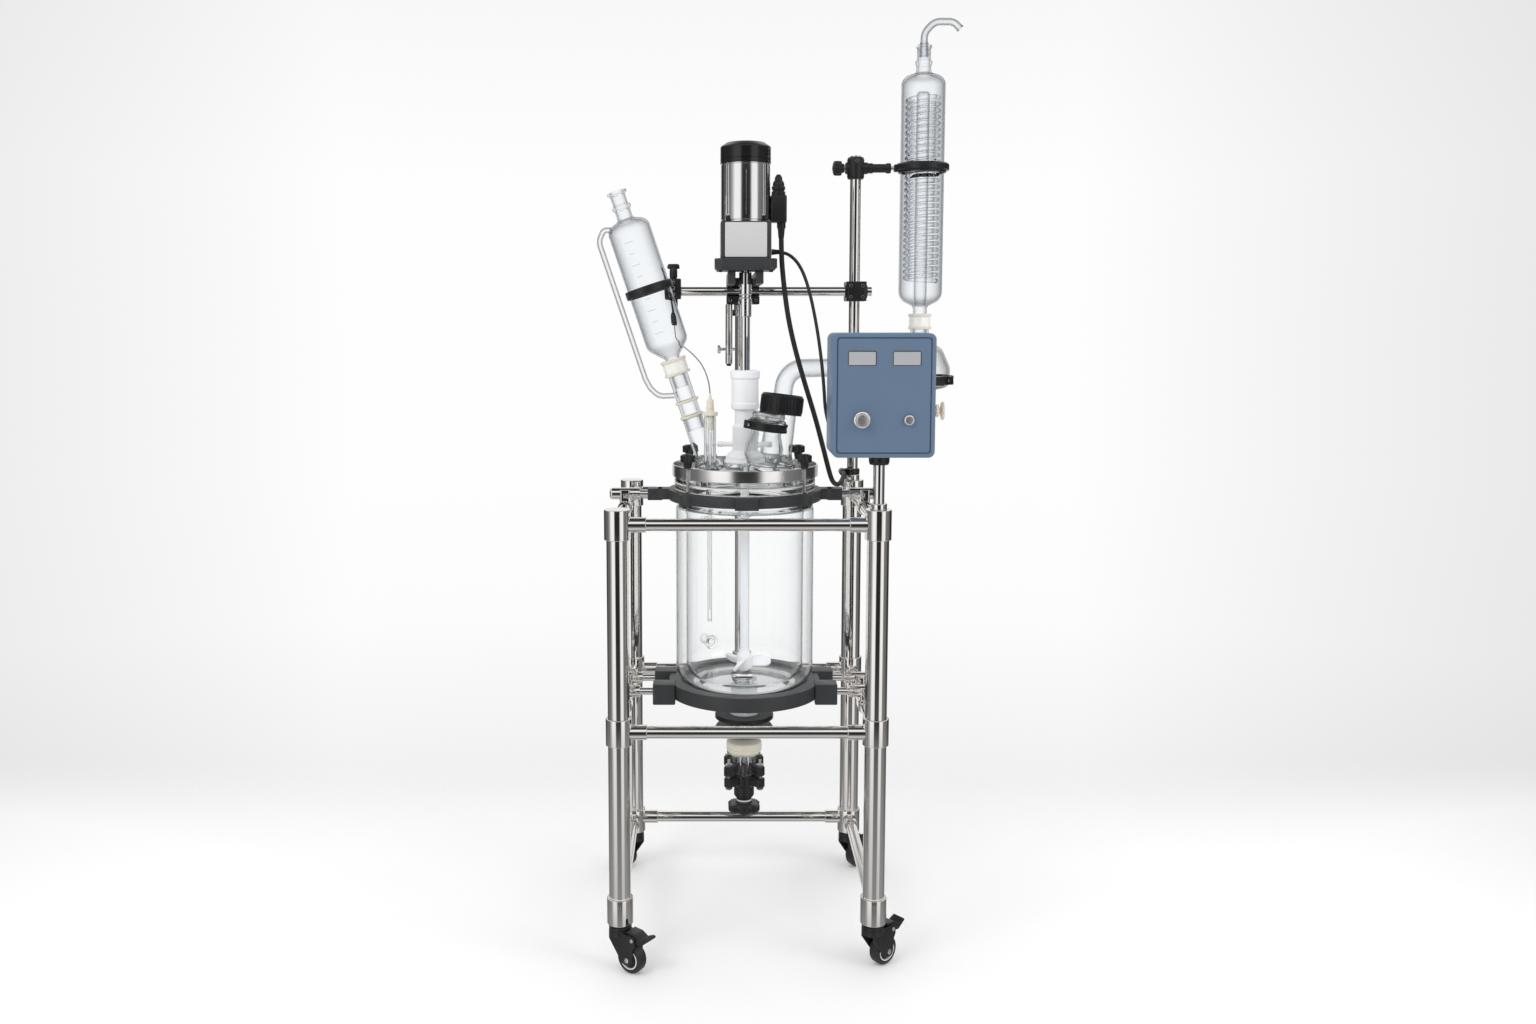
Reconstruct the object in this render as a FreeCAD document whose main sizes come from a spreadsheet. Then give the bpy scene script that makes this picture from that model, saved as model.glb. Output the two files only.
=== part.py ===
import FreeCAD, Part
import math
import os
import re

import Sketcher

# Jacketed glass reactor on a wheeled tube frame.
# The frame stands on the XY plane with the vessel's axis on Z. The control box faces -Y.
SIZES = {
    # Clearances
    "fit_gap": 0.05,
    "seat_gap": 0.1,
    "joint_gap": 0.3,
    # Tube frame
    "frame_width": 580,
    "frame_depth": 540,
    "leg_radius": 25,
    "leg_wall": 3,
    "leg_foot": 112,
    "collar_radius": 30,
    "foot_collar_height": 61,
    "mid_collar_height": 62,
    "top_collar_height": 68,
    "rail_radius": 14,
    "socket_radius": 17.25,
    "socket_reach": 64,
    "socket_depth": 22,
    "low_rail_rise": 37,
    "mid_rail_height": 556,
    "top_rail_height": 1030,
    # Castors
    "wheel_radius": 34,
    "wheel_width": 28,
    "wheel_rim": 23,
    "axle_radius": 4,
    "castor_trail": 34,
    "fork_radius": 26,
    "fork_roof": 103,
    "fork_floor": 82,
    "cheek_thick": 4,
    "cheek_gap": 2,
    "stem_radius": 7,
    "plug_height": 30,
    "pivot_radius": 3,
    "pedal_pivot_reach": 48,
    "pedal_pivot_height": 84,
    # Support rings and their cross clamps
    "ring_thick": 26,
    "lower_ring_thick": 35,
    "lower_ring_step": 19,
    "arm_width": 40,
    "lug_width": 46,
    "lug_offset": 60,
    "stub_radius": 9,
    "clamp_radius": 18,
    "clamp_length": 38,
    "clamp_socket_radius": 14.5,
    "clamp_socket_out": 23,
    "stub_rise": 34,
    "stub_depth": 18,
    "arm_thick": 28,
    "arm_drop": 2,
    "boss_width": 55,
    "boss_depth": 26,
    "stud_boss_radius": 20,
    "lug_drop": 11,
    "lug_height": 50,
    # Vessel
    "jacket_radius": 167.5,
    "jacket_corner": 47,
    "jacket_space": 24.5,
    "glass_wall": 4,
    "floor_space": 20,
    "flange_thick": 14,
    "gasket_thick": 3,
    "drain_neck_radius": 24,
    "drain_neck_bore": 18,
    "drain_flange_radius": 34,
    "drain_flange_thick": 9,
    "jacket_shoulder": 14,
    "floor_fall": 6,
    "inner_corner": 40,
    "nozzle_length": 44.5,
    "nozzle_turn": 30,
    "nozzle_radius": 13,
    "nozzle_root": 4.5,
    "nozzle_bore": 9,
    "drain_collar_radius": 33,
    "drain_collar_height": 20,
    "drain_neck_length": 99,
    # Lid
    "lid_flange_thick": 14,
    "dome_rise": 26,
    "lid_neck_radius": 42,
    "neck_root": 26,
    "clamp_ring_height": 28,
    "stud_angle": 40,
    "star_height": 34,
    "stud_radius": 4,
    "star_radius": 17,
    # Stirrer and bearing housing
    "shaft_radius": 11,
    "hub_radius": 19,
    "blade_width": 30,
    "blade_pitch": 38,
    "housing_flange_radius": 50,
    "housing_hub_radius": 30,
    "housing_neck_radius": 24,
    "housing_body_radius": 32.5,
    "coupling_length": 106,
    "coating_radius": 10.4,
    "housing_height": 223,
    "housing_seat": 4,
    "coupling_radius": 15,
    "hub_clearance": 32,
    "blade_reach": 66,
    # Drive
    "motor_radius": 59,
    "gearbox_height": 86,
    "motor_height": 136,
    "motor_cap_height": 50,
    "gearbox_width": 120,
    "sensor_gland_y": 20,
    "terminal_width": 38,
    "terminal_depth": 40,
    "terminal_height": 63,
    "bracket_thick": 28,
    "bracket_width": 147,
    "bracket_rise": 31,
    "bracket_depth": 130,
    # Column, bar, pole and post
    "column_radius": 20,
    "column_socket": 34,
    "cross_height": 60,
    "clamp_block_height": 66,
    "guide_radius": 9,
    "guide_length": 152,
    "guide_place": -36,
    "lock_radius": 4,
    "bar_radius": 12,
    "drive_rise": 420,
    "bar_offset": 38,
    "pole_radius": 14,
    "post_radius": 12.8,
    "boss_rise": 335,
    "knob_stem_radius": 5,
    "clamp_rod_radius": 5,
    "band_height": 24,
    "band_thick": 13,
    # Condenser
    "condenser_offset": 171,
    "condenser_radius": 56,
    "condenser_length": 562,
    "coil_radius": 46,
    "coil_core": 17,
    "coil_turns": 22,
    "neck_radius": 18,
    "condenser_wall": 3,
    "vent_radius": 9.5,
    "head_radius": 80,
    "head_rise": 194,
    "vapour_radius": 23,
    "vapour_bend": 85,
    "barrel_radius": 13,
    "barrel_reach": 46,
    "key_radius": 8,
    # Dropping funnel
    "funnel_tilt": -18.5,
    "funnel_foot_x": -90,
    "funnel_plane": 18,
    "funnel_radius": 51.5,
    "funnel_port_radius": 25,
    "funnel_port_reach": 118,
    "adapter_radius": 24,
    "adapter_length": 108,
    "funnel_stem_radius": 17,
    "funnel_length": 306,
    "funnel_neck_radius": 19,
    "funnel_arm_side": 78,
    "funnel_arm_radius": 7,
    "funnel_arm_rise": 6,
    # Ports
    "port_x": 36,
    "port_y": -92,
    "port_tilt": 8,
    "port_radius": 38,
    "port_flange": 44,
    "port_lip": 8,
    "port_reach": 108,
    "cap_port_x": 75,
    "cap_port_y": 56,
    "cap_port_radius": 40,
    "cap_port_reach": 158,
    "cap_tilt": 8,
    "cap_radius": 54,
    "cap_height": 50,
    "probe_x": -84,
    "probe_y": -96,
    "probe_radius": 5,
    "probe_clearance": 154,
    "probe_port_radius": 14,
    "probe_port_reach": 125,
    # Control box
    "box_width": 222,
    "box_depth": 140,
    "box_overhang": 70,
    "post_rise": 122,
    "box_height": 268,
    "box_corner": 14,
    "box_rim": 9,
    "panel_thick": 3,
    "screen_width": 62,
    "screen_height": 33,
    "screen_offset": 48,
    "screen_rise": 214,
    "speed_knob_radius": 18,
    "button_radius": 11,
    "button_travel": 3,
    "box_gland_length": 14,
    # Drain valve
    "plate_radius": 72,
    "plate_thick": 12,
    "plate_washer": 10,
    "valve_length": 95,
    "valve_radius": 25,
    "valve_lug_place": 40,
    "valve_bolt_length": 86,
    "stem_bore": 9,
    "outlet_radius": 22,
    "outlet_neck_radius": 24,
    "outlet_bell_radius": 44,
    "outlet_arm_radius": 18,
    "outlet_bore": 9,
    "outlet_throat_depth": 32,
    "outlet_arm_angle": 38,
    "outlet_arm_length": 84,
    "drain_knob_radius": 42,
    # Cables
    "clip_height": 1087,
    "clip_mouth": 236,
    "motor_cable_radius": 6,
    "sensor_cable_radius": 4,
    "lead_radius": 1.6,
}
# Places and levels that follow from the sizes
DERIVED = {
    # Frame
    "foot_collar_foot": "leg_foot - 3",
    "low_rail_height": "foot_collar_foot + low_rail_rise",
    "mid_collar_foot": "mid_rail_height - 28",
    "top_collar_foot": "top_rail_height - 33",
    "leg_head": "top_collar_foot + top_collar_height - 5",
    "column_plane": "frame_depth / 2",
    "bar_plane": "column_plane - bar_offset",
    "guide_plane": "column_plane - column_radius - guide_radius - 15",
    # Vessel
    "inner_radius": "jacket_radius - jacket_space",
    "flange_radius": "jacket_radius + 2.5",
    "ring_radius": "jacket_radius + 17.5",
    "upper_ring_bore": "inner_radius + 7",
    "lower_ring_recess": "jacket_radius - 12.5",
    "seat_radius": "jacket_radius - 41.5",
    "lower_ring_bore": "seat_radius - 18",
    "lid_shoulder": "inner_radius + 1",
    "clamp_ring_radius": "flange_radius + 6",
    "stud_circle": "ring_radius - 7",
    "nozzle_reach": "jacket_radius + nozzle_length",
    "arm_reach": "frame_width / 2 - 55",
    "lug_reach": "frame_width / 2 - 68",
    "upper_ring_foot": "top_rail_height + 22",
    "lower_ring_foot": "mid_rail_height + 17",
    "flange_foot": "upper_ring_foot + ring_thick + 1",
    "flange_head": "flange_foot + flange_thick",
    "jacket_head": "flange_foot - 39",
    "jacket_floor": "lower_ring_foot + lower_ring_step + 4",
    "inner_floor": "jacket_floor + floor_space",
    "jacket_inlet_height": "jacket_floor + 64",
    "jacket_outlet_height": "jacket_head - 55",
    "drain_neck_foot": "jacket_floor - drain_neck_length",
    "drain_collar_foot": "jacket_floor - 34",
    # Lid and shaft
    "lid_foot": "flange_head + gasket_thick",
    "lid_crown": "lid_foot + lid_flange_thick + dome_rise",
    "star_foot": "lid_foot + lid_flange_thick + clamp_ring_height + joint_gap",
    "housing_foot": "lid_crown + housing_seat",
    "housing_top": "housing_foot + housing_height",
    "hub_height": "inner_floor + hub_clearance",
    "coating_head": "lid_crown - 16",
    "shaft_head": "bracket_foot - 3",
    "probe_foot": "inner_floor + probe_clearance",
    "probe_cap_foot": "lid_crown + probe_port_reach + seat_gap",
    # Drive
    "bar_height": "lid_crown + drive_rise",
    "lock_height": "bar_height - 148",
    "column_head": "bar_height + 36",
    "bracket_foot": "bar_height + bar_radius + bracket_rise",
    "gearbox_foot": "bracket_foot + bracket_thick",
    "motor_foot": "gearbox_foot + gearbox_height",
    "motor_head": "motor_foot + motor_height",
    "cap_head": "motor_head + motor_cap_height",
    "terminal_foot": "motor_foot",
    "sensor_gland_z": "gearbox_foot + 18",
    "bar_left": "funnel_boss_x - 18",
    # Condenser and head
    "condenser_place": "frame_width / 2 + condenser_offset",
    "head_joint": "lid_crown + head_rise",
    "vapour_foot": "lid_crown + cap_port_reach - 32",
    "vapour_height": "head_joint + 34",
    "stopcock_height": "head_joint - 84",
    "head_neck_head": "head_joint + 129",
    "neck_foot": "head_neck_head - 23",
    "condenser_foot": "neck_foot + 100",
    "condenser_head": "condenser_foot + condenser_length",
    "neck_head": "condenser_head + 74",
    "coil_foot": "condenser_foot + 48",
    "coil_head": "condenser_head - 50",
    "boss_height": "condenser_foot + boss_rise",
    "pole_head": "boss_height + 31",
    # Funnel
    "funnel_adapter_top": "funnel_port_reach + adapter_length",
    "funnel_stem_along": "funnel_adapter_top - 30",
    "funnel_collar_along": "funnel_adapter_top + 1",
    "funnel_body_along": "funnel_adapter_top + 74",
    "funnel_shoulder_along": "funnel_body_along + funnel_length",
    "funnel_rim_along": "funnel_shoulder_along + 81",
    "funnel_clamp_along": "drive_rise / cos(funnel_tilt) - 10.9",
    "funnel_boss_x": "funnel_foot_x + drive_rise * tan(funnel_tilt) + funnel_radius + 1.03",
    # Control box
    "box_front": "-frame_depth / 2 - box_overhang",
    "box_foot": "top_collar_foot + top_collar_height + post_rise",
    "speed_knob_x": "frame_width / 2 - 47",
    "speed_knob_z": "box_foot + 82",
    "button_x": "frame_width / 2 + 54",
    "box_gland_x": "frame_width / 2 - 81",
    "box_gland_z": "box_foot + 25",
    # Drain
    "plate_foot": "drain_neck_foot + drain_flange_thick + seat_gap",
    "outlet_bell_head": "drain_neck_foot - 32",
    "outlet_bell_foot": "outlet_bell_head - 36",
    "outlet_arm_root": "outlet_bell_foot + 11",
    "valve_head": "outlet_bell_foot - 25",
    "valve_foot": "valve_head - valve_length",
    "stem_top": "inner_floor - 28",
}

doc = FreeCAD.newDocument("GlassReactor")
sheet = doc.addObject("Spreadsheet::Sheet", "Sizes")
for row, (alias, value) in enumerate(SIZES.items(), 1):
    sheet.set(f"A{row}", alias)
    sheet.set(f"B{row}", str(value))
    sheet.setAlias(f"B{row}", alias)
doc.recompute()

TURNS = {
    "z": ((0, 0, 1), 0),
    "x": ((0, 1, 0), 90),
    "-x": ((0, 1, 0), -90),
    "y": ((1, 0, 0), -90),
    "-y": ((1, 0, 0), 90),
    "-z": ((1, 0, 0), 180),
}
nodes = []


def formula(text):
    """A formula with its levels written out and the sheet's name before each alias."""
    return re.sub(r"[a-z]\w*", lambda word: with_sheet(word.group()), str(text))


def with_sheet(word):
    if word in DERIVED:
        return "(" + formula(DERIVED[word]) + ")"
    return "Sizes." + word if word in SIZES else word


def number(text):
    """The value of a formula."""
    return float(sheet.evalExpression(formula(text)))


def bind(item, **sizes):
    for name, text in sizes.items():
        item.setExpression(name, formula(text))


def place(item, x=0, y=0, z=0, axis=(0, 0, 1), angle=0):
    """Put a piece at a point, turned about an axis through that point."""
    turn = FreeCAD.Rotation(FreeCAD.Vector(*axis), number(angle))
    item.Placement = FreeCAD.Placement(FreeCAD.Vector(), turn)
    if str(angle) != "0":
        item.setExpression("Placement.Rotation.Angle", formula(angle))
    for letter, text in zip("xyz", (x, y, z)):
        item.setExpression("Placement.Base." + letter, formula(text))
    return item


def rod(radius, length, x=0, y=0, z=0, along="z"):
    item = doc.addObject("Part::Cylinder", "Rod")
    bind(item, Radius=radius, Height=length)
    return place(item, x, y, z, *TURNS[along])


def cone(low_radius, high_radius, height, x=0, y=0, z=0, along="z"):
    item = doc.addObject("Part::Cone", "Cone")
    bind(item, Radius1=low_radius, Radius2=high_radius, Height=height)
    return place(item, x, y, z, *TURNS[along])


def block(width, depth, height, x=0, y=0, z=0):
    """A box centred on x and y that stands on z."""
    item = doc.addObject("Part::Box", "Block")
    bind(item, Length=width, Width=depth, Height=height)
    return place(item, f"({x}) - ({width}) / 2", f"({y}) - ({depth}) / 2", z)


def ball(radius, x=0, y=0, z=0):
    item = doc.addObject("Part::Sphere", "Ball")
    bind(item, Radius=radius)
    return place(item, x, y, z)


def fuse(*items):
    item = doc.addObject("Part::MultiFuse", "Fuse")
    item.Shapes = list(items)
    item.Refine = True
    return item


def cut(base, *tools):
    item = doc.addObject("Part::Cut", "Cut")
    item.Base = base
    item.Tool = tools[0] if len(tools) == 1 else fuse(*tools)
    return item


def group(items):
    """Separate solids that share one node."""
    item = doc.addObject("Part::Compound", "Group")
    item.Links = list(items)
    return item


def moved(item, x=0, y=0, z=0, axis=(0, 0, 1), angle=0):
    """A group's copy of a piece, moved and turned as one."""
    return place(group([item]), x, y, z, axis, angle)


def node(name, item):
    item.Label = name
    nodes.append(item)
    return item


def origin_plane(body, role):
    return next(part for part in body.Origin.OriginFeatures if part.Role == role)


def corner(point):
    return FreeCAD.Vector(number(point[0]), number(point[1]), 0)


def outline(body, role, points):
    """A closed sketch through points, with an arc where a point has a third value, its radius."""
    sketch = body.newObject("Sketcher::SketchObject", "Outline")
    sketch.AttachmentSupport = [(origin_plane(body, role), "")]
    sketch.MapMode = "FlatFace"
    corners = [corner(point) for point in points]
    count = len(points)
    starts, ends, arcs = list(corners), list(corners), {}
    for index, point in enumerate(points):
        if len(point) < 3:
            continue
        radius = number(point[2])
        here = corners[index]
        before = (corners[index - 1] - here).normalize()
        after = (corners[(index + 1) % count] - here).normalize()
        half = before.getAngle(after) / 2
        ends[index] = here + before * (radius / math.tan(half))
        starts[index] = here + after * (radius / math.tan(half))
        centre = here + (before + after).normalize() * (radius / math.sin(half))
        middle = centre + (here - centre).normalize() * radius
        arcs[index] = Part.Arc(ends[index], middle, starts[index])
    lines = [
        sketch.addGeometry(Part.LineSegment(starts[index], ends[(index + 1) % count]))
        for index in range(count)
    ]
    rules = []
    for index, point in enumerate(points):
        before, after = lines[index - 1], lines[index]
        mark = sketch.addGeometry(Part.Point(corners[index]), True)
        if index in arcs:
            arc = sketch.addGeometry(arcs[index])
            first, last = arc_ends(corners[index - 1], corners[index], corners[(index + 1) % count])
            rules.append(Sketcher.Constraint("Tangent", before, 2, arc, first))
            rules.append(Sketcher.Constraint("Tangent", after, 1, arc, last))
            rules.append(Sketcher.Constraint("PointOnObject", mark, 1, before))
            rules.append(Sketcher.Constraint("PointOnObject", mark, 1, after))
            rules.append((Sketcher.Constraint("Radius", arc, number(point[2])), point[2]))
        else:
            rules.append(Sketcher.Constraint("Coincident", before, 2, mark, 1))
            rules.append(Sketcher.Constraint("Coincident", after, 1, mark, 1))
        for kind, value, text in zip(("DistanceX", "DistanceY"), corners[index], point):
            rule = Sketcher.Constraint(kind, -1, 1, mark, 1, value)
            rules.append((rule, text))
    sketch.addConstraint([rule[0] if isinstance(rule, tuple) else rule for rule in rules])
    for index, rule in enumerate(rules):
        if isinstance(rule, tuple) and re.search("[a-z]", str(rule[1])):
            sketch.setExpression(f"Constraints[{index}]", formula(rule[1]))
    return sketch


def arc_ends(before, here, after):
    """Which ends of a corner's arc meet the lines before and after it: arcs run anticlockwise."""
    turns_left = (here - before).cross(after - here).z > 0
    return (1, 2) if turns_left else (2, 1)


def turned(points, x=0, y=0, z=0, axis=(0, 0, 1), angle=0):
    """A body turned on its own Z axis from (radius, height) points."""
    body = doc.addObject("PartDesign::Body", "Turned")
    sketch = outline(body, "XZ_Plane", points)
    turn = body.newObject("PartDesign::Revolution", "Turn")
    turn.Profile = sketch
    turn.ReferenceAxis = (sketch, ["V_Axis"])
    turn.Angle = 360
    sketch.Visibility = False
    return place(body, x, y, z, axis, angle)


def padded(points, thick, x=0, y=0, z=0, axis=(0, 0, 1), angle=0, role="XY_Plane"):
    """A body padded from an outline, symmetric about its sketch plane."""
    body = doc.addObject("PartDesign::Body", "Padded")
    sketch = outline(body, role, points)
    pad = body.newObject("PartDesign::Pad", "Pad")
    pad.Profile = sketch
    pad.Midplane = True
    pad.setExpression("Length", formula(thick))
    sketch.Visibility = False
    return place(body, x, y, z, axis, angle)


SIDES = (-1, 1)
LEVELS = {
    "foot": ("foot_collar_foot", "foot_collar_height", "low_rail_height"),
    "mid": ("mid_collar_foot", "mid_collar_height", "mid_rail_height"),
    "top": ("top_collar_foot", "top_collar_height", "top_rail_height"),
}


def leg_place(side, end):
    return f"{side} * frame_width / 2", f"{end} * frame_depth / 2"


def frame_legs():
    legs = []
    for side in SIDES:
        for end in SIDES:
            x, y = leg_place(side, end)
            outside = rod("leg_radius", "leg_head - leg_foot", x, y, "leg_foot")
            inside = rod("leg_radius - leg_wall", "leg_head - leg_foot", x, y, "leg_foot")
            legs.append(cut(outside, inside))
    return group(legs)


def tee(side, end, level):
    """A collar on a leg with sockets for the rails that meet there."""
    foot, height, rail_height = LEVELS[level]
    x, y = leg_place(side, end)
    bore_length = f"leg_head - ({foot})" if level == "top" else height
    solids = [rod("collar_radius", height, x, y, foot)]
    bores = [rod("leg_radius + fit_gap", bore_length, x, y, foot)]
    to_side = "x" if side < 0 else "-x"
    to_end = "y" if end < 0 else "-y"
    mouth = "(socket_reach - socket_depth)"
    if level != "foot" or end > 0:
        solids.append(rod("socket_radius", "socket_reach", x, y, rail_height, to_side))
        start = f"{x} - ({side}) * {mouth}"
        bores.append(rod("rail_radius + fit_gap", "socket_depth", start, y, rail_height, to_side))
    solids.append(rod("socket_radius", "socket_reach", x, y, rail_height, to_end))
    start = f"{y} - ({end}) * {mouth}"
    bores.append(rod("rail_radius + fit_gap", "socket_depth", x, start, rail_height, to_end))
    return cut(fuse(*solids), *bores)


def column_foot():
    """The fitting on the rear middle rail in which the column stands."""
    rail = "mid_rail_height"
    body = fuse(
        rod("socket_radius", "2 * socket_radius + 16", "-socket_radius - 8", "column_plane", rail, "x"),
        rod("column_radius + 6", "rail_radius + column_socket", 0, "column_plane", rail),
    )
    rail_bore = rod("rail_radius + fit_gap", "2 * socket_radius + 20", "-socket_radius - 10", "column_plane", rail, "x")
    socket = rod("column_radius + fit_gap", "column_socket + 2", 0, "column_plane", f"{rail} + rail_radius + seat_gap")
    return cut(body, rail_bore, socket)


def column_cross():
    """The fitting that joins the two halves of the rear top rail to the column."""
    rail = "top_rail_height"
    body = fuse(
        rod("column_radius + 6", "cross_height", 0, "column_plane", f"{rail} - cross_height / 2"),
        rod("socket_radius", "2 * socket_reach", "-socket_reach", "column_plane", rail, "x"),
    )
    bores = [
        rod("rail_radius + fit_gap", "socket_depth", f"{side} * (socket_reach - socket_depth)", "column_plane",
            rail, "x" if side > 0 else "-x")
        for side in SIDES
    ]
    through = rod("column_radius + fit_gap", "cross_height", 0, "column_plane", f"{rail} - cross_height / 2")
    return cut(body, through, *bores)


def frame_tees():
    """The collars on the legs and the two fittings that hold the column on the rear rails."""
    tees = [tee(side, end, level) for side in SIDES for end in SIDES for level in LEVELS]
    return group(tees + [column_foot(), column_cross()])


def frame_rails():
    rails = []
    cut_back = "2 * (socket_reach - socket_depth + seat_gap)"
    for level, (foot, height, rail_height) in LEVELS.items():
        for end in SIDES:
            if level == "foot" and end < 0:
                continue
            start = "-frame_width / 2 + " + cut_back + " / 2"
            length = "frame_width - " + cut_back
            if level == "top" and end > 0:
                half = f"frame_width / 2 - {cut_back}"
                start_right = f"{cut_back} / 2"
                rails.append(rod("rail_radius", half, start_right, "column_plane", rail_height, "x"))
                rails.append(rod("rail_radius", half, f"-1 * {start_right}", "column_plane", rail_height, "-x"))
                continue
            rails.append(rod("rail_radius", length, start, f"{end} * frame_depth / 2", rail_height, "x"))
        for side in SIDES:
            start = "-frame_depth / 2 + " + cut_back + " / 2"
            length = "frame_depth - " + cut_back
            rails.append(rod("rail_radius", length, f"{side} * frame_width / 2", start, rail_height, "y"))
    return group(rails)


def ring_clamp(side, y, rail_height, stub_reach):
    """A cross clamp on a side rail whose stub holds one arm of a ring."""
    x = f"{side} * frame_width / 2"
    top = f"{rail_height} + stub_rise"
    inward = "x" if side < 0 else "-x"
    outer = f"{side} * (frame_width / 2 + clamp_socket_out)"
    saddle = rod("clamp_radius", "clamp_length", x, f"{y} - clamp_length / 2", rail_height, "y")
    web = block("2 * clamp_socket_radius", "clamp_length * 0.8", "stub_rise", x, y, rail_height)
    socket = rod("clamp_socket_radius", "2 * clamp_socket_out + 14", outer, y, top, inward)
    dome = ball("clamp_socket_radius", outer, y, top)
    stub_length = f"frame_width / 2 + clamp_socket_out - ({stub_reach})"
    stub = rod("stub_radius", stub_length, outer, y, top, inward)
    bore = rod("rail_radius + fit_gap", "clamp_length + 2", x, f"{y} - clamp_length / 2 - 1", rail_height, "y")
    return cut(fuse(saddle, web, socket, dome, stub), bore)


def ring_clamps():
    clamps = []
    for side in SIDES:
        clamps.append(ring_clamp(side, 0, "top_rail_height", "arm_reach - stub_depth + seat_gap"))
        for end in SIDES:
            reach = "lug_reach - stub_depth + seat_gap"
            clamps.append(ring_clamp(side, f"{end} * lug_offset", "mid_rail_height", reach))
    return group(clamps)


def stud_places():
    """The four studs round the lid, by name."""
    east, north = "stud_circle * cos(stud_angle)", "stud_circle * sin(stud_angle)"
    return {
        "front_left": (f"-1 * {east}", f"-1 * {north}"),
        "front_right": (east, f"-1 * {north}"),
        "rear_left": (f"-1 * {east}", north),
        "rear_right": (east, north),
    }


def upper_support_ring():
    foot, thick = "upper_ring_foot", "ring_thick"
    solids = [rod("ring_radius", thick, z=foot)]
    bores = [rod("upper_ring_bore", thick, z=foot)]
    for side in SIDES:
        arm_length = "arm_reach - upper_ring_bore"
        middle = f"{side} * (arm_reach + upper_ring_bore) / 2"
        solids.append(block(arm_length, "arm_width", "arm_thick", middle, 0, f"{foot} - arm_drop"))
        start = f"{side} * (arm_reach - stub_depth)"
        along = "-x" if side < 0 else "x"
        height = "top_rail_height + stub_rise"
        bores.append(rod("stub_radius + fit_gap", "stub_depth", start, 0, height, along))
    solids.append(block("boss_width", "boss_depth", thick, 0, "-ring_radius", f"{foot} - arm_drop"))
    for x, y in stud_places().values():
        solids.append(rod("stud_boss_radius", thick, x, y, foot))
        bores.append(rod("stud_radius + fit_gap", thick, x, y, foot))
    return cut(fuse(*solids), *bores)


def lower_support_ring():
    ring = turned([
        ("lower_ring_bore", "lower_ring_foot"),
        ("ring_radius", "lower_ring_foot"),
        ("ring_radius", "lower_ring_foot + lower_ring_thick"),
        ("lower_ring_recess", "lower_ring_foot + lower_ring_thick"),
        ("lower_ring_recess", "lower_ring_foot + lower_ring_step"),
        ("lower_ring_bore", "lower_ring_foot + lower_ring_step"),
    ])
    solids, bores = [ring], []
    for side in SIDES:
        for end in SIDES:
            y = f"{end} * lug_offset"
            middle = f"{side} * (lug_reach + lower_ring_recess) / 2"
            length = "lug_reach - lower_ring_recess"
            lug_foot = "lower_ring_foot - lug_drop"
            solids.append(block(length, "lug_width", "lug_height", middle, y, lug_foot))
            start = f"{side} * (lug_reach - stub_depth)"
            along = "-x" if side < 0 else "x"
            height = "mid_rail_height + stub_rise"
            bores.append(rod("stub_radius + fit_gap", "stub_depth", start, y, height, along))
    clear = rod("lower_ring_recess", "lug_height + lug_drop", z="lower_ring_foot + lower_ring_step")
    return cut(fuse(*solids), clear, *bores)


def jacketed_vessel():
    """The inner vessel and its jacket, blown as one piece, with the drain neck below."""
    shoulder = "inner_radius"
    outside = turned([
        (0, "drain_neck_foot"),
        ("drain_flange_radius", "drain_neck_foot"),
        ("drain_flange_radius", "drain_neck_foot + drain_flange_thick"),
        ("drain_neck_radius", "drain_neck_foot + drain_flange_thick"),
        ("drain_neck_radius", "jacket_floor", 6),
        ("jacket_radius", "jacket_floor", "jacket_corner"),
        ("jacket_radius", "jacket_head", "jacket_shoulder"),
        (shoulder, "jacket_head"),
        (shoulder, "flange_foot", 5),
        ("flange_radius", "flange_foot"),
        ("flange_radius", "flange_head"),
        (0, "flange_head"),
    ])
    bore = "inner_radius - glass_wall"
    inside = turned([
        (0, "drain_neck_foot"),
        ("drain_neck_bore", "drain_neck_foot"),
        ("drain_neck_bore", "inner_floor - floor_fall", 6),
        (bore, "inner_floor", "inner_corner"),
        (bore, "flange_head"),
        (0, "flange_head"),
    ])
    wall = "jacket_radius - glass_wall"
    space = turned([
        ("drain_neck_radius + glass_wall", "jacket_floor + glass_wall"),
        (wall, "jacket_floor + glass_wall", "jacket_corner - glass_wall"),
        (wall, "jacket_head - glass_wall", "jacket_shoulder - glass_wall"),
        (shoulder, "jacket_head - glass_wall"),
        (shoulder, "inner_floor - glass_wall", "inner_corner + glass_wall"),
        ("drain_neck_radius + glass_wall", "inner_floor - floor_fall - glass_wall"),
    ])
    tubes, bores = [], []
    for height in ("jacket_inlet_height", "jacket_outlet_height"):
        start = "jacket_radius - glass_wall - 1"
        flare = cone("nozzle_radius + 3", "nozzle_radius", f"jacket_radius + nozzle_root - ({start})", 0, start, height, "y")
        tube = fuse(rod("nozzle_radius", f"nozzle_reach - ({start})", 0, start, height, "y"), flare)
        bore = rod("nozzle_bore", "nozzle_reach - inner_radius - 2", 0, "inner_radius + 2", height, "y")
        tubes.append(moved(tube, angle="nozzle_turn"))
        bores.append(moved(bore, angle="nozzle_turn"))
    return cut(fuse(outside, *tubes), inside, space, *bores)


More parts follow.
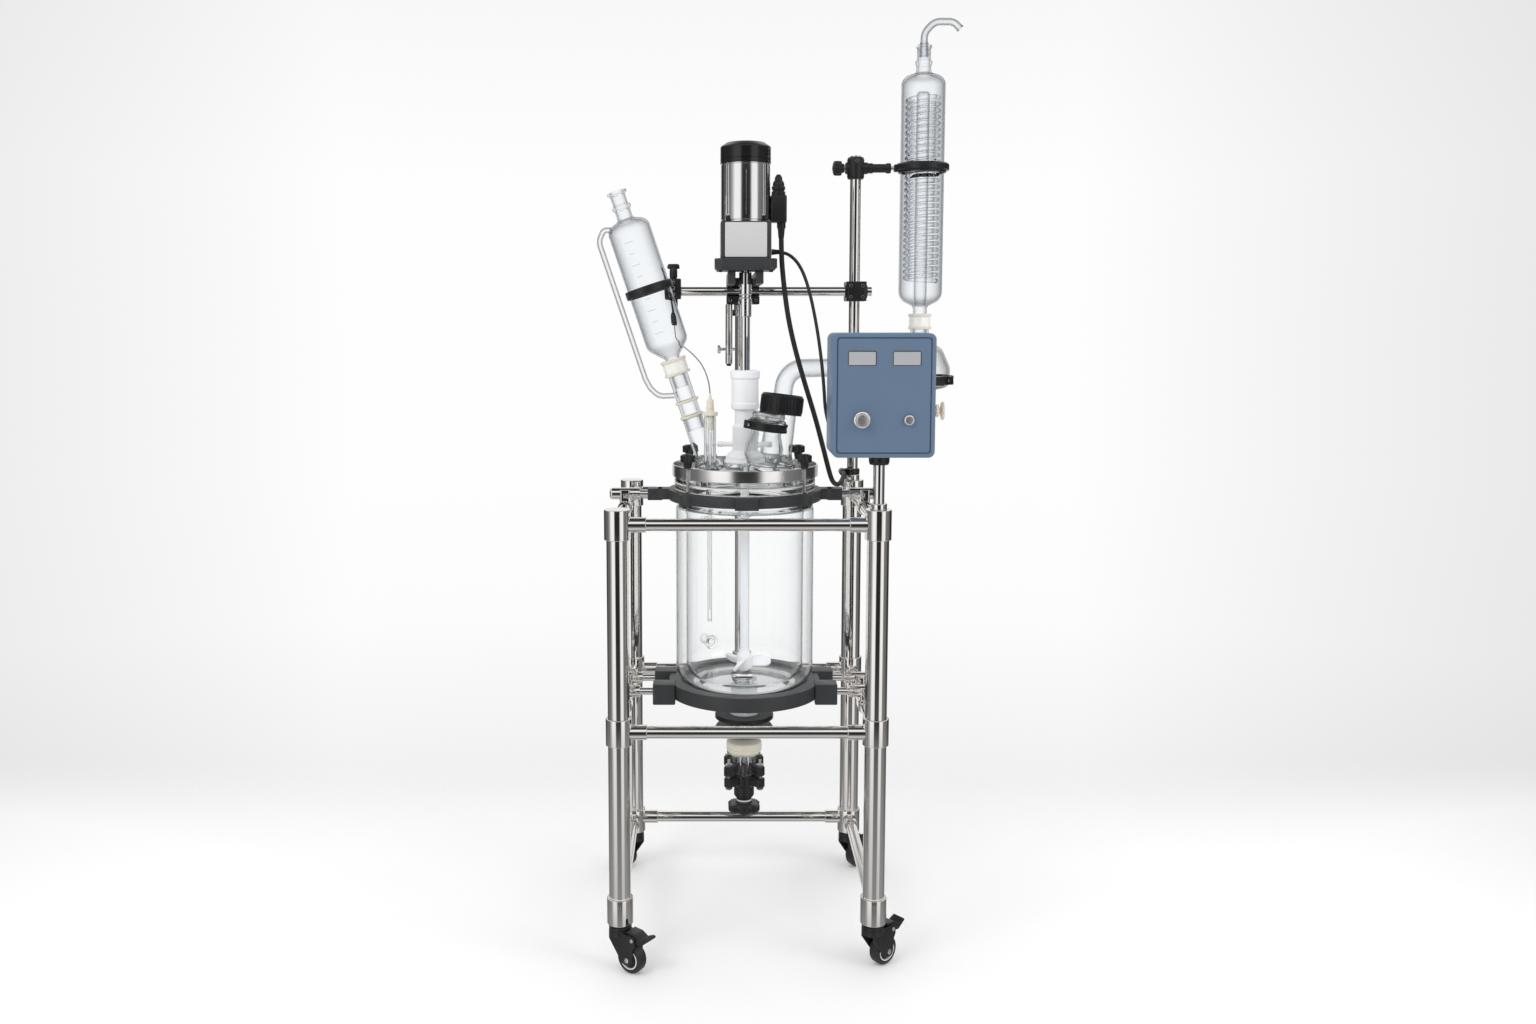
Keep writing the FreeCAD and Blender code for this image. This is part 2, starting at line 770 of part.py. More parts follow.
def vessel_seals():
    """The seat under the vessel, the collar round the drain neck and the gasket under the lid."""
    seat_foot = "lower_ring_foot + lower_ring_step"
    seat = cut(
        rod("seat_radius", "jacket_floor - seat_gap - lower_ring_foot - lower_ring_step", z=seat_foot),
        rod("lower_ring_bore + 3", "jacket_floor", z=seat_foot),
    )
    collar = cut(
        rod("drain_collar_radius", "drain_collar_height", z="drain_collar_foot"),
        rod("drain_neck_radius + fit_gap", "drain_collar_height", z="drain_collar_foot"),
    )
    gasket = cut(
        rod("flange_radius", "gasket_thick", z="flange_head"),
        rod("inner_radius", "gasket_thick", z="flange_head"),
    )
    rest = cut(
        rod("flange_radius", "flange_foot - upper_ring_foot - ring_thick", z="upper_ring_foot + ring_thick"),
        rod("upper_ring_bore", "ring_thick", z="upper_ring_foot + ring_thick"),
    )
    return group([seat, collar, gasket, rest])


def port_tube(radius, foot, head):
    return rod(radius, f"({head}) - ({foot})", z=foot)


def vessel_lid():
    """The domed glass lid with its necks."""
    foot = "flange_head + gasket_thick"
    step = f"{foot} + lid_flange_thick"
    dome = turned([
        (0, foot),
        ("flange_radius", foot),
        ("flange_radius", step),
        ("lid_shoulder", step, 3),
        ("lid_shoulder * 0.86", "lid_crown - 7", 18),
        (0, "lid_crown"),
    ])
    hollow = turned([
        (0, foot),
        ("inner_radius - 2", foot),
        ("lid_shoulder * 0.84", "lid_crown - 12", 18),
        (0, "lid_crown - 6"),
    ])
    tubes, bores = [], []
    for (x, y, axis, angle), radius, reach in lid_necks().values():
        tubes.append(moved(port_tube(radius, "-neck_root", reach), x, y, "lid_crown", axis, angle))
        bore = port_tube(f"{radius} - glass_wall", "-neck_root - 30", f"{reach} + 1")
        bores.append(moved(bore, x, y, "lid_crown", axis, angle))
    under = rod("inner_radius - 2", "100", z=f"{foot} - 100")
    lip = rod("port_flange", "port_lip", z="port_reach - port_lip")
    tubes.append(moved(lip, "port_x", "port_y", "lid_crown", (0, 1, 0), "port_tilt"))
    return cut(fuse(dome, *tubes), hollow, under, *bores)


def lid_necks():
    """Each neck of the lid: its place and tilt, its radius and how far it rises."""
    return {
        "centre": ((0, 0, (0, 0, 1), 0), "lid_neck_radius", "housing_foot - lid_crown"),
        "funnel": (("funnel_foot_x", "funnel_plane", (0, 1, 0), "funnel_tilt"),
                   "funnel_port_radius", "funnel_port_reach"),
        "solids": (("port_x", "port_y", (0, 1, 0), "port_tilt"), "port_radius", "port_reach"),
        "capped": (("cap_port_x", "cap_port_y", cap_axis(), "cap_tilt"), "cap_port_radius", "cap_port_reach"),
        "probe": (("probe_x", "probe_y", (0, 0, 1), 0), "probe_port_radius", "probe_port_reach"),
    }


def lid_clamp_ring():
    """The steel ring that the star knobs press down on the lid's flange."""
    foot = "flange_head + gasket_thick + lid_flange_thick"
    ring = turned([
        ("lid_shoulder + 4", foot),
        ("clamp_ring_radius", foot),
        ("clamp_ring_radius", f"{foot} + clamp_ring_height", 2),
        ("lid_shoulder + 4", f"{foot} + clamp_ring_height"),
    ])
    slots = [rod("stud_radius + 1", "clamp_ring_height + 4", x, y, f"{foot} - 2") for x, y in stud_places().values()]
    return cut(ring, *slots)


def threaded_studs():
    """The studs of the lid, and the stems that plug the castors into the legs."""
    studs = []
    for x, y in stud_places().values():
        studs.append(rod("stud_radius", "star_foot + star_height - 6 - upper_ring_foot", x, y, "upper_ring_foot"))
    for side in SIDES:
        for end in SIDES:
            x, y = leg_place(side, end)
            stem = rod("stem_radius", "leg_foot - fork_floor - 2", x, y, "fork_floor + 2")
            plug = rod("leg_radius - leg_wall - fit_gap", "plug_height", x, y, "leg_foot")
            washer = rod("leg_radius - 4", "leg_foot - fork_roof - joint_gap", x, y, "fork_roof + joint_gap")
            studs.append(fuse(stem, plug, washer))
    return group(studs)


def star_knob(x, y):
    """A five-armed knob with a hub, screwed on a stud."""
    star = rod("star_radius - 4", "star_height - 6", x, y, "star_foot + 6")
    arms = []
    for turn in range(5):
        arm = rod("5.5", "star_height - 8", "star_radius - 5.5", 0, 0)
        arms.append(moved(arm, x, y, "star_foot + 7", (0, 0, 1), f"{72 * turn} + 18"))
    hub = cone("8", "10", "7", x, y, "star_foot")
    bore = rod("stud_radius + fit_gap", "star_height - 5", x, y, "star_foot - 1")
    return cut(fuse(star, hub, *arms), bore)


def bearing_housing():
    """The PTFE housing that seals the shaft, screwed together from stepped turnings."""
    foot, head = "housing_foot", "housing_top"
    body = turned([
        ("shaft_radius + fit_gap + 2", foot),
        ("housing_flange_radius", foot, 2),
        ("housing_flange_radius", f"{foot} + 23", 3),
        ("housing_hub_radius", f"{foot} + 29"),
        ("housing_hub_radius", f"{foot} + 88", 3),
        ("housing_neck_radius", f"{foot} + 92"),
        ("housing_neck_radius", f"{head} - 95"),
        ("housing_body_radius + 1.5", f"{head} - 91", 2),
        ("housing_body_radius + 1.5", f"{head} - 79"),
        ("housing_body_radius", f"{head} - 77"),
        ("housing_body_radius", f"{head} - 20"),
        ("housing_body_radius + 3.5", f"{head} - 17", 2),
        ("housing_body_radius + 3.5", head, 2),
        ("shaft_radius + fit_gap", head),
        ("shaft_radius + fit_gap", f"{head} - 40"),
        ("shaft_radius + fit_gap + 2", f"{head} - 44"),
    ])
    return body


def stirrer():
    """The shaft: chromed above, coated below, with its hub and swept blades."""
    shaft = turned([
        (0, "hub_height - 20"),
        ("hub_radius", "hub_height - 20", 4),
        ("hub_radius", "hub_height + 16", 6),
        ("coating_radius", "hub_height + 24"),
        ("coating_radius", "coating_head"),
        ("shaft_radius", "coating_head"),
        ("shaft_radius", "shaft_head - 70"),
        (0, "shaft_head - 70"),
    ])
    blades = []
    for turn in range(3):
        blade = padded([
            (6, -3.5), ("blade_reach - 4", -3.5, 3), ("blade_reach", 3.5, 3), (6, 3.5),
        ], "blade_width", role="XZ_Plane")
        pitched = moved(blade, axis=(1, 0, 0), angle="blade_pitch")
        blades.append(moved(pitched, z="hub_height", angle=f"{120 * turn} + 10"))
    return fuse(shaft, *blades)


def shaft_coupling():
    """The chromed sleeve between the gearbox and the shaft, with its clamp screws."""
    sleeve = rod("coupling_radius", "coupling_length", z="shaft_head - coupling_length")
    socket = rod("shaft_radius + fit_gap", "coupling_length - 70", z="shaft_head - coupling_length")
    spigot = rod("9", "bracket_foot + 20 - shaft_head", z="shaft_head")
    screws = [
        rod("4", "coupling_radius + 2", 0, 0, f"shaft_head - coupling_length + {rise}", along)
        for rise, along in ((12, "-y"), (34, "x"), (34, "-x"))
    ]
    clear = rod("shaft_radius + fit_gap", "coupling_length - 70", z="shaft_head - coupling_length")
    return cut(fuse(cut(sleeve, socket), spigot, *screws), clear)


def motor():
    """The motor's ribbed body and its cap."""
    body = turned([
        (0, "motor_foot"),
        ("motor_radius", "motor_foot"),
        ("motor_radius", "motor_head"),
        (0, "motor_head"),
    ])
    lugs = [
        moved(block(16, 12, 14, "motor_radius - 5", 0, 0), z="motor_foot", angle=45 + 90 * turn)
        for turn in range(4)
    ]
    cap = turned([
        (0, "motor_head + seat_gap"),
        ("motor_radius + 1", "motor_head + seat_gap"),
        ("motor_radius + 1", "cap_head", 5),
        (0, "cap_head"),
    ])
    return group([fuse(body, *lugs), cap])


def gearbox():
    half = "gearbox_width / 2"
    body = padded([
        (f"-1 * {half}", f"-1 * {half}", 4), (half, f"-1 * {half}", 4),
        (half, half, 4), (f"-1 * {half}", half, 4),
    ], "motor_foot - gearbox_foot - 2 * seat_gap", z="(motor_foot + gearbox_foot) / 2")
    gland = rod("sensor_cable_radius + 3", "8", half, "sensor_gland_y", "sensor_gland_z", "x")
    return fuse(body, gland)


def motor_bracket():
    """The flange under the gearbox, its two arms and the clamp on the column and the bar."""
    half, depth = "bracket_width / 2", "bracket_depth / 2"
    flange = padded([
        (f"-1 * {half}", f"-1 * {depth} + 16"), (f"-1 * {half} + 16", f"-1 * {depth}"),
        (f"{half} - 16", f"-1 * {depth}"), (half, f"-1 * {depth} + 16"),
        (half, depth), (f"-1 * {half}", depth),
    ], "gearbox_foot - bracket_foot", z="(gearbox_foot + bracket_foot) / 2")
    back = "column_plane + column_radius + 14"
    arms = [
        block(18, f"{back} + 50", "bracket_foot - bar_height - bar_radius", f"{side} * 33",
              f"({back} - 50) / 2", "bar_height + bar_radius")
        for side in SIDES
    ]
    front = "bar_plane - bar_radius - 10"
    clamp_depth = f"({back}) - ({front})"
    clamp = block("88", clamp_depth, "clamp_block_height", 0, f"({back} + {front}) / 2",
                  "bar_height - clamp_block_height / 2")
    bores = [
        rod("column_radius + fit_gap", "200", 0, "column_plane", "bar_height - 100"),
        rod("bar_radius + fit_gap", "200", -100, "bar_plane", "bar_height", "x"),
        rod("coupling_radius + 3", "bracket_foot", 0, 0, "gearbox_foot - 60"),
    ]
    bolts = [rod("5", "6", f"{side} * (bracket_width / 2 - 14)", f"-1 * {depth} + 20", "bracket_foot - 5") for side in SIDES]
    return cut(fuse(flange, clamp, *arms, *bolts), *bores)


def terminal_box():
    """The box on the motor's side with its ribbed gland."""
    x = "motor_radius + terminal_width / 2 + seat_gap"
    box = block("terminal_width", "terminal_depth", "terminal_height", x, 0, "terminal_foot")
    gland = turned([
        (0, 0), (17, 0), (17, 8), (14, 8), (14, 12), (16, 12), (16, 18), (13, 22),
        (15, 24), (15, 30), (9, 36), (9, 44), (4, 50), (0, 50),
    ], x, 0, "terminal_foot + terminal_height")
    outlet = rod("motor_cable_radius + 4", "12", f"{x} + terminal_width / 2 - 12", 0, "terminal_foot - 12")
    return fuse(box, gland, outlet)


def support_column():
    """The column on the rear rail, its collar below the clamp, and the guide tube beside it."""
    foot = "mid_rail_height + rail_radius + 2 * seat_gap"
    column = rod("column_radius", f"column_head - ({foot})", 0, "column_plane", foot)
    top = "bar_height - clamp_block_height / 2 - seat_gap"
    collar = rod("column_radius + 3", "24", 0, "column_plane", f"{top} - 24")
    guide = rod("guide_radius", "guide_length", "guide_place", "guide_plane", f"{top} - guide_length")
    web = block("8", "column_plane - guide_plane", "16", "guide_place / 2", "(column_plane + guide_plane) / 2", f"{top} - 30")
    bridge = block("-1 * guide_place", "10", "16", "guide_place / 2", "guide_plane", f"{top} - 30")
    hole = rod("lock_radius + fit_gap", "60", "guide_place - 30", "guide_plane", "lock_height", "x")
    return cut(fuse(column, collar, guide, web, bridge), hole)


def column_lock():
    """The screw with a disc handle that locks the guide tube."""
    shank = rod("lock_radius", "guide_radius * 2 + 20", "guide_place + guide_radius + 6", "guide_plane", "lock_height", "-x")
    handle = rod("11", "9", "guide_place - guide_radius - 12", "guide_plane", "lock_height", "-x")
    return fuse(shank, handle)


def support_rods():
    """The cross bar, the condenser's pole and the control box's post."""
    bar = rod("bar_radius", "frame_width / 2 + 40 - bar_left", "bar_left", "bar_plane", "bar_height", "x")
    stand = "top_collar_foot + top_collar_height + seat_gap"
    x, y = leg_place(1, 1)
    pole = rod("pole_radius", f"pole_head - ({stand})", x, y, stand)
    post = rod("post_radius", f"box_foot - seat_gap - ({stand})", x, f"-1 * ({y})", stand)
    feet = [
        cut(rod("pole_radius + 5", 14, x, f"{end} * ({y})", stand),
            rod(f"{radius} + fit_gap", 14, x, f"{end} * ({y})", stand))
        for end, radius in ((1, "pole_radius"), (-1, "post_radius"))
    ]
    collar = cut(
        rod("23", "22", x, f"-1 * ({y})", "box_foot - 22 - seat_gap"),
        rod("post_radius + fit_gap", "22", x, f"-1 * ({y})", "box_foot - 22 - seat_gap"),
    )
    return group([bar, pole, post, collar] + feet)


def pole_clamps():
    """The cross clamp that holds the bar on the pole, and the boss head at the pole's top."""
    x, y = leg_place(1, 1)
    low = "bar_height - 25"
    middle = f"({y} + bar_plane) / 2"
    depth = f"({y}) - bar_plane + 2 * pole_radius + 14"
    body = block("52", depth, "50", x, middle, low)
    screws = [rod("4.5", "5", x, f"bar_plane - pole_radius - 6", f"bar_height + {rise}", "-y") for rise in (-17, 17)]
    cross = cut(
        fuse(body, *screws),
        rod("pole_radius + fit_gap", "60", x, y, f"{low} - 5"),
        rod("bar_radius + fit_gap", "120", f"{x} - 60", "bar_plane", "bar_height", "x"),
    )
    head = turned([
        (0, -28), (20, -28, 3), (22, -20), (22, 20), (20, 28, 3), (0, 28),
    ], x, y, "boss_height")
    ears = rod("15", "60", f"{x} - 27", y, "boss_height", "x")
    boss = cut(
        fuse(head, ears),
        rod("pole_radius + fit_gap", "pole_head - boss_height + 28", x, y, "boss_height - 28"),
        rod("knob_stem_radius + fit_gap", "30", f"{x} - pole_radius - 1", y, "boss_height", "-x"),
        rod("clamp_rod_radius + fit_gap", "30", f"{x} + pole_radius + 1", y, "boss_height", "x"),
    )
    return group([cross, boss, cable_clip()])


def round_knob(x, y, z, along):
    """A round knob on a short stem. The stem starts at the point given."""
    stem = rod("knob_stem_radius", "18", 0, 0, 0)
    grip = turned([
        (0, 14), (12, 14, 2), (12, 20), (19, 22, 2), (19, 46, 6), (0, 46),
    ])
    return moved(fuse(stem, grip), x, y, z, *TURNS[along])


def pole_knob():
    x, y = leg_place(1, 1)
    return round_knob(f"{x} - pole_radius - 1", y, "boss_height", "-x")


def condenser_clamp():
    """The ring that holds the condenser, its split lugs, its rod and the threaded sleeve."""
    x, y = leg_place(1, 1)
    foot = "boss_height - band_height / 2"
    ring = rod("condenser_radius + band_thick", "band_height", "condenser_place", y, foot)
    sleeve = turned([
        ("clamp_rod_radius + fit_gap", 0), (13, 0), (13, 10), (11, 12), (11, 44), (13, 46), (13, 58, 3),
        ("clamp_rod_radius + fit_gap", 58),
    ], f"{x} + 33", y, "boss_height", (0, 1, 0), 90)
    start = f"({x}) + pole_radius + 1"
    shank = rod("clamp_rod_radius", f"condenser_place - condenser_radius - 4 - ({start})", start, y, "boss_height", "x")
    bore = rod("condenser_radius + joint_gap", "band_height", "condenser_place", y, foot)
    return group([cut(fuse(ring, shank), bore), sleeve])


def at_condenser(points):
    return turned(points, "condenser_place", "frame_depth / 2", 0)


def condenser():
    """The condenser's shell with its necks, and the cooling coil blown inside it."""
    wall = "condenser_wall"
    shell = at_condenser([
        ("neck_radius - condenser_wall", "neck_foot"),
        ("neck_radius", "neck_foot"),
        ("neck_radius", "condenser_foot - 18", 8),
        ("condenser_radius", "condenser_foot", 30),
        ("condenser_radius", "condenser_head", 30),
        ("neck_radius", "condenser_head + 14", 8),
        ("neck_radius", "neck_head"),
        (f"neck_radius - {wall}", "neck_head"),
        (f"neck_radius - {wall}", f"condenser_head + 14 - {wall}", 8),
        (f"condenser_radius - {wall}", f"condenser_head - {wall}", 27),
        (f"condenser_radius - {wall}", f"condenser_foot + {wall}", 27),
        (f"neck_radius - {wall}", f"condenser_foot - 18 + {wall}", 8),
    ])
    turns = round(number("coil_turns"))
    pitch = "(coil_head - coil_foot) / coil_turns"
    waves = [(0, "condenser_foot - 14"), ("coil_core", "condenser_foot - 14")]
    for turn in range(turns):
        middle = f"coil_foot + {pitch} * {turn + 0.5}"
        waves.append(("coil_core + 10", f"{middle} - {pitch} * 0.5"))
        waves.append(("coil_radius", f"{middle}"))
    waves.append(("coil_core + 10", "coil_head"))
    waves.append(("coil_core", "coil_head + 14"))
    waves.append((0, "coil_head + 14"))
    return group([shell, at_condenser(waves)])


def path_wire(points):
    """Straight runs joined by tangent arcs, each as large as its two runs allow."""
    marks = [FreeCAD.Vector(*point) for point in points]
    edges, start, radii = [], marks[0], []
    for before, here, after in zip(marks, marks[1:], marks[2:]):
        back, on = before - here, after - here
        shorter = min(back.Length, on.Length)
        half = back.getAngle(on) / 2
        reach = 0.45 * shorter
        radii.append(reach * math.tan(half))
        back.normalize()
        on.normalize()
        first, last = here + back * reach, here + on * reach
        centre = here + (back + on).normalize() * (reach / math.cos(half))
        middle = centre + (here - centre).normalize() * radii[-1]
        edges.append(Part.LineSegment(start, first).toShape())
        edges.append(Part.Arc(first, middle, last).toShape())
        start = last
    edges.append(Part.LineSegment(start, marks[-1]).toShape())
    return Part.Wire(edges), radii


def tube_along(wire, radius):
    """A round solid swept along a wire."""
    first = wire.Edges[0]
    start, ahead = first.valueAt(first.FirstParameter), first.tangentAt(first.FirstParameter)
    ring = Part.Wire(Part.makeCircle(radius, start, ahead))
    return wire.makePipe(Part.Face(ring))


def pipe(points, radius, bore=None):
    """A pipe along a route of numbers, as an object of the document."""
    wire, radii = path_wire(points)
    shape = tube_along(wire, number(radius))
    if bore:
        shape = shape.cut(tube_along(wire, number(bore)))
    item = doc.addObject("Part::Feature", "Pipe")
    item.Shape = shape
    return item


def in_plane(points, x, y, turn):
    """Points (reach, height) of an upright plane through x, y, turned about Z by a number of degrees."""
    angle = math.radians(turn)
    return [
        (x + reach * math.cos(angle), y + reach * math.sin(angle), height)
        for reach, height in points
    ]


def vent_tube():
    """The bent vent on top of the condenser, with its ground cone and collar."""
    x, y = number("condenser_place"), number("frame_depth / 2")
    head = number("neck_head")
    route = in_plane([(0, head - 22), (0, head + 38), (26, head + 66), (74, head + 66), (96, head + 44)], x, y, 0)
    bend = pipe(route, "vent_radius", "vent_radius - 2")
    cone_radius = "neck_radius - condenser_wall - fit_gap"
    joint = at_condenser([
        ("vent_radius - 1", "neck_head - 22"), (cone_radius, "neck_head - 22"), (cone_radius, "neck_head + seat_gap"),
        ("neck_radius + 3", "neck_head + seat_gap", 2), ("neck_radius + 3", "neck_head + 7", 2),
        ("vent_radius - 1", "neck_head + 7"),
    ])
    return fuse(bend, joint)


def joint_collar(radius, bore, height, x, y, z, axis=(0, 0, 1), angle=0):
    """A PTFE collar with a ridge at each end that covers a ground joint."""
    ring = turned([
        (bore, 0), (f"{radius} - 1", 0), (radius, 2), (radius, 6), (f"{radius} - 3", 8),
        (f"{radius} - 3", f"{height} - 8"), (radius, f"{height} - 6"), (radius, f"{height} - 2"),
        (f"{radius} - 1", height), (bore, height),
    ], x, y, z, axis, angle)
    return ring


def funnel_point(along):
    """The x and z of a point on the funnel's axis, that far from the lid's crown."""
    return (
        f"funnel_foot_x + ({along}) * sin(funnel_tilt)",
        f"lid_crown + ({along}) * cos(funnel_tilt)",
    )


def on_funnel(points, along=0):
    """A turned body on the funnel's axis."""
    x, z = funnel_point(along)
    return turned(points, x, "funnel_plane", z, (0, 1, 0), "funnel_tilt")


def joint_collars():
    """The PTFE collars on the condenser's foot, the funnel's stem and its two ground joints."""
    collars = [
        joint_collar("30", "neck_radius + fit_gap", "40", "condenser_place", "frame_depth / 2", "head_neck_head + seat_gap"),
    ]
    x, z = funnel_point("funnel_collar_along")
    collars.append(joint_collar("32", "funnel_stem_radius + fit_gap", "40", x, "funnel_plane", z, (0, 1, 0), "funnel_tilt"))
    for along in ("funnel_port_reach + 1", "funnel_port_reach + 38"):
        collars.append(on_funnel([
            ("adapter_radius + fit_gap", 0), ("adapter_radius + 5", 0, 2), ("adapter_radius + 5", 7, 2),
            ("adapter_radius + fit_gap", 7),
        ], along))
    return group(collars)


def reflux_head():
    """The domed head under the condenser, the bowl below it and the vapour arm from the lid."""
    radius, joint = "head_radius", "head_joint"
    dome = at_condenser([
        ("neck_radius + fit_gap", "head_neck_head"),
        ("neck_radius + 6", "head_neck_head"),
        ("neck_radius + 6", f"{joint} + 96", 8),
        (f"{radius} - 22", f"{joint} + 80", 24),
        (radius, f"{joint} + 30", 34),
        (radius, f"{joint} + 8"),
        (f"{radius} + 5", f"{joint} + 8"),
        (f"{radius} + 5", joint),
        (f"{radius} - 5", joint),
        (f"{radius} - 5", f"{joint} + 28", 30),
        (f"{radius} - 26", f"{joint} + 75", 20),
        ("neck_radius + fit_gap", f"{joint} + 90", 6),
    ])
    bowl = at_condenser([
        (f"{radius} - 5", f"{joint} - seat_gap"),
        (f"{radius} + 5", f"{joint} - seat_gap"),
        (f"{radius} + 5", f"{joint} - 9"),
        (f"{radius} - 10", f"{joint} - 22", 12),
        (20, f"{joint} - 34", 8),
        (20, "stopcock_height - 26"),
        (16, "stopcock_height - 26"),
        (16, f"{joint} - 29", 6),
        (f"{radius} - 14", f"{joint} - 17", 8),
    ])
    barrel = rod("barrel_radius", "barrel_reach", "condenser_place", "frame_depth / 2", "stopcock_height", "x")
    socket = rod("key_radius + fit_gap", "barrel_reach", "condenser_place", "frame_depth / 2", "stopcock_height", "x")
    x, y, turn, span = vapour_plane()
    tilt = math.radians(number("cap_tilt"))
    low, high = number("vapour_foot"), number("vapour_height")
    crown = number("lid_crown")
    start, knee = (low - crown) * math.tan(tilt), (high - crown) * math.tan(tilt)
    route = in_plane([(start, low), (knee, high), (span - number("head_radius") + 12, high)], x, y, turn)
    arm = pipe_corner(route, "vapour_radius", "vapour_radius - condenser_wall", "vapour_bend")
    inside = at_condenser([
        (0, f"{joint} + 2"), (f"{radius} - 5", f"{joint} + 2"), (f"{radius} - 5", f"{joint} + 28", 30),
        (f"{radius} - 26", f"{joint} + 75", 20), (0, f"{joint} + 86"),
    ])
    return group([cut(fuse(dome, arm), inside), cut(fuse(bowl, barrel), socket)])


def vapour_plane():
    """The upright plane of the vapour arm: its start, its turn about Z and its length to the head."""
    x, y = number("cap_port_x"), number("cap_port_y")
    east, north = number("condenser_place") - x, number("frame_depth / 2") - y
    return x, y, math.degrees(math.atan2(north, east)), math.hypot(east, north)


def pipe_corner(route, radius, bore, bend):
    """A pipe of two straight runs with one arc of a given radius between them."""
    start, knee, end = (FreeCAD.Vector(*point) for point in route)
    back, on = (start - knee).normalize(), (end - knee).normalize()
    half = back.getAngle(on) / 2
    size = number(bend)
    first, last = knee + back * (size / math.tan(half)), knee + on * (size / math.tan(half))
    centre = knee + (back + on).normalize() * (size / math.sin(half))
    middle = centre + (knee - centre).normalize() * size
    wire = Part.Wire([
        Part.LineSegment(start, first).toShape(),
        Part.Arc(first, middle, last).toShape(),
        Part.LineSegment(last, end).toShape(),
    ])
    item = doc.addObject("Part::Feature", "Arm")
    item.Shape = tube_along(wire, number(radius)).cut(tube_along(wire, number(bore)))
    return item


def clamp_band(radius, bore, height, x, y, z, axis=(0, 0, 1), angle=0):
    """A black clamp band with the two lugs of its screw."""
    ring = cut(rod(radius, height), rod(bore, f"{height} + 2", z=-1))
    lug = cut(block("12", "16", height, f"-1 * ({radius}) - 3"), rod(bore, f"{height} + 2", z=-1))
    return moved(fuse(ring, lug), x, y, z, axis, angle)


def port_local(along):
    """The x and z of a point on the tilted front port's axis."""
    return f"port_x + ({along}) * sin(port_tilt)", f"lid_crown + ({along}) * cos(port_tilt)"


def joint_clamps():
    """The clamp bands round the head's joint and the front port's joint."""
    head = clamp_band("head_radius + 10", "head_radius + 5 + joint_gap", "22",
                      "condenser_place", "frame_depth / 2", "head_joint - 13", angle=140)
    x, z = port_local("port_reach - 18")
    port = clamp_band("port_flange + 4", "port_flange + joint_gap", "20", x, "port_y", z, (0, 1, 0), "port_tilt")
    return group([head, port])


def head_stopcock():
    """The tapered key of the stopcock with its disc grip."""
    key = rod("key_radius", "barrel_reach - 22", "condenser_place + 24", "frame_depth / 2", "stopcock_height", "x")
    collar = rod("17", "7", "condenser_place + barrel_reach + joint_gap", "frame_depth / 2", "stopcock_height", "x")
    disc = turned([
        (0, 0), (8, 0), (8, 6), (24, 8), (24, 14, 3), (0, 14),
    ], "condenser_place + barrel_reach + joint_gap + 7", "frame_depth / 2", "stopcock_height", (0, 1, 0), 90)
    return fuse(key, collar, disc)


def dropping_funnel():
    """The graduated funnel: necks, long body, tapered foot, and the pressure-equalising arm."""
    wall = "condenser_wall"
    body, stem, top = "funnel_radius", "funnel_stem_radius", "funnel_neck_radius"
    glass = on_funnel([
        (f"{stem} - {wall}", "funnel_stem_along"),
        (stem, "funnel_stem_along"),
        (stem, "funnel_body_along - 30", 8),
        (body, "funnel_body_along + 4", 26),
        (body, "funnel_shoulder_along", 34),
        (top, "funnel_shoulder_along + 12", 6),
        (top, "funnel_rim_along - 44"),
        (f"{top} + 4", "funnel_rim_along - 42"),
        (f"{top} + 4", "funnel_rim_along - 36"),
        (top, "funnel_rim_along - 34"),
        (top, "funnel_rim_along - 8"),
        (f"{top} + 5", "funnel_rim_along - 6", 2),
        (f"{top} + 5", "funnel_rim_along", 2),
        (f"{top} - {wall}", "funnel_rim_along"),
        (f"{top} - {wall}", f"funnel_shoulder_along + 12 - {wall}", 6),
        (f"{body} - {wall}", f"funnel_shoulder_along - {wall}", 31),
        (f"{body} - {wall}", f"funnel_body_along + 4 + {wall}", 23),
        (f"{stem} - {wall}", f"funnel_body_along - 30 + {wall}", 8),
    ])
    side = number("funnel_arm_side")
    low, high = number("funnel_adapter_top - 44"), number("funnel_shoulder_along + 2")
    route = [(-34, 0, high - 6), (-52, 0, high + 6), (-side, 0, high - 14), (-side, 0, low + 110),
             (-side + 4, 0, low + 62), (-62, 0, low + 24), (-number("adapter_radius - 4"), 0, low)]
    arm = pipe(route, "funnel_arm_radius")
    sleeve = rod("adapter_radius + seat_gap", "funnel_adapter_top - funnel_port_reach", z="funnel_port_reach")
    arm = cut(arm, sleeve)
    x, z = funnel_point(0)
    arm = moved(arm, x, "funnel_plane", z, (0, 1, 0), "funnel_tilt")
    hollow = on_funnel([
        (0, f"funnel_body_along + 20"), (f"{body} - {wall} - 6", "funnel_body_along + 20"),
        (f"{body} - {wall}", "funnel_body_along + 40"),
        (f"{body} - {wall}", "funnel_shoulder_along - 40"), (0, "funnel_shoulder_along + 4"),
    ])
    return cut(fuse(glass, arm), hollow)


def funnel_adapter():
    """The glass stem piece between the funnel and the lid's port."""
    wall = "condenser_wall"
    radius = "adapter_radius"
    return on_funnel([
        ("funnel_port_radius - glass_wall - 4", "funnel_port_reach - 30"),
        ("funnel_port_radius - glass_wall - fit_gap", "funnel_port_reach - 30"),
        ("funnel_port_radius - glass_wall - fit_gap", "funnel_port_reach + seat_gap"),
        (radius, "funnel_port_reach + seat_gap"),
        (radius, "funnel_adapter_top"),
        ("funnel_stem_radius + fit_gap", "funnel_adapter_top"),
        ("funnel_stem_radius + fit_gap", "funnel_stem_along - seat_gap"),
        ("funnel_port_radius - glass_wall - 4", "funnel_stem_along - 4"),
    ])


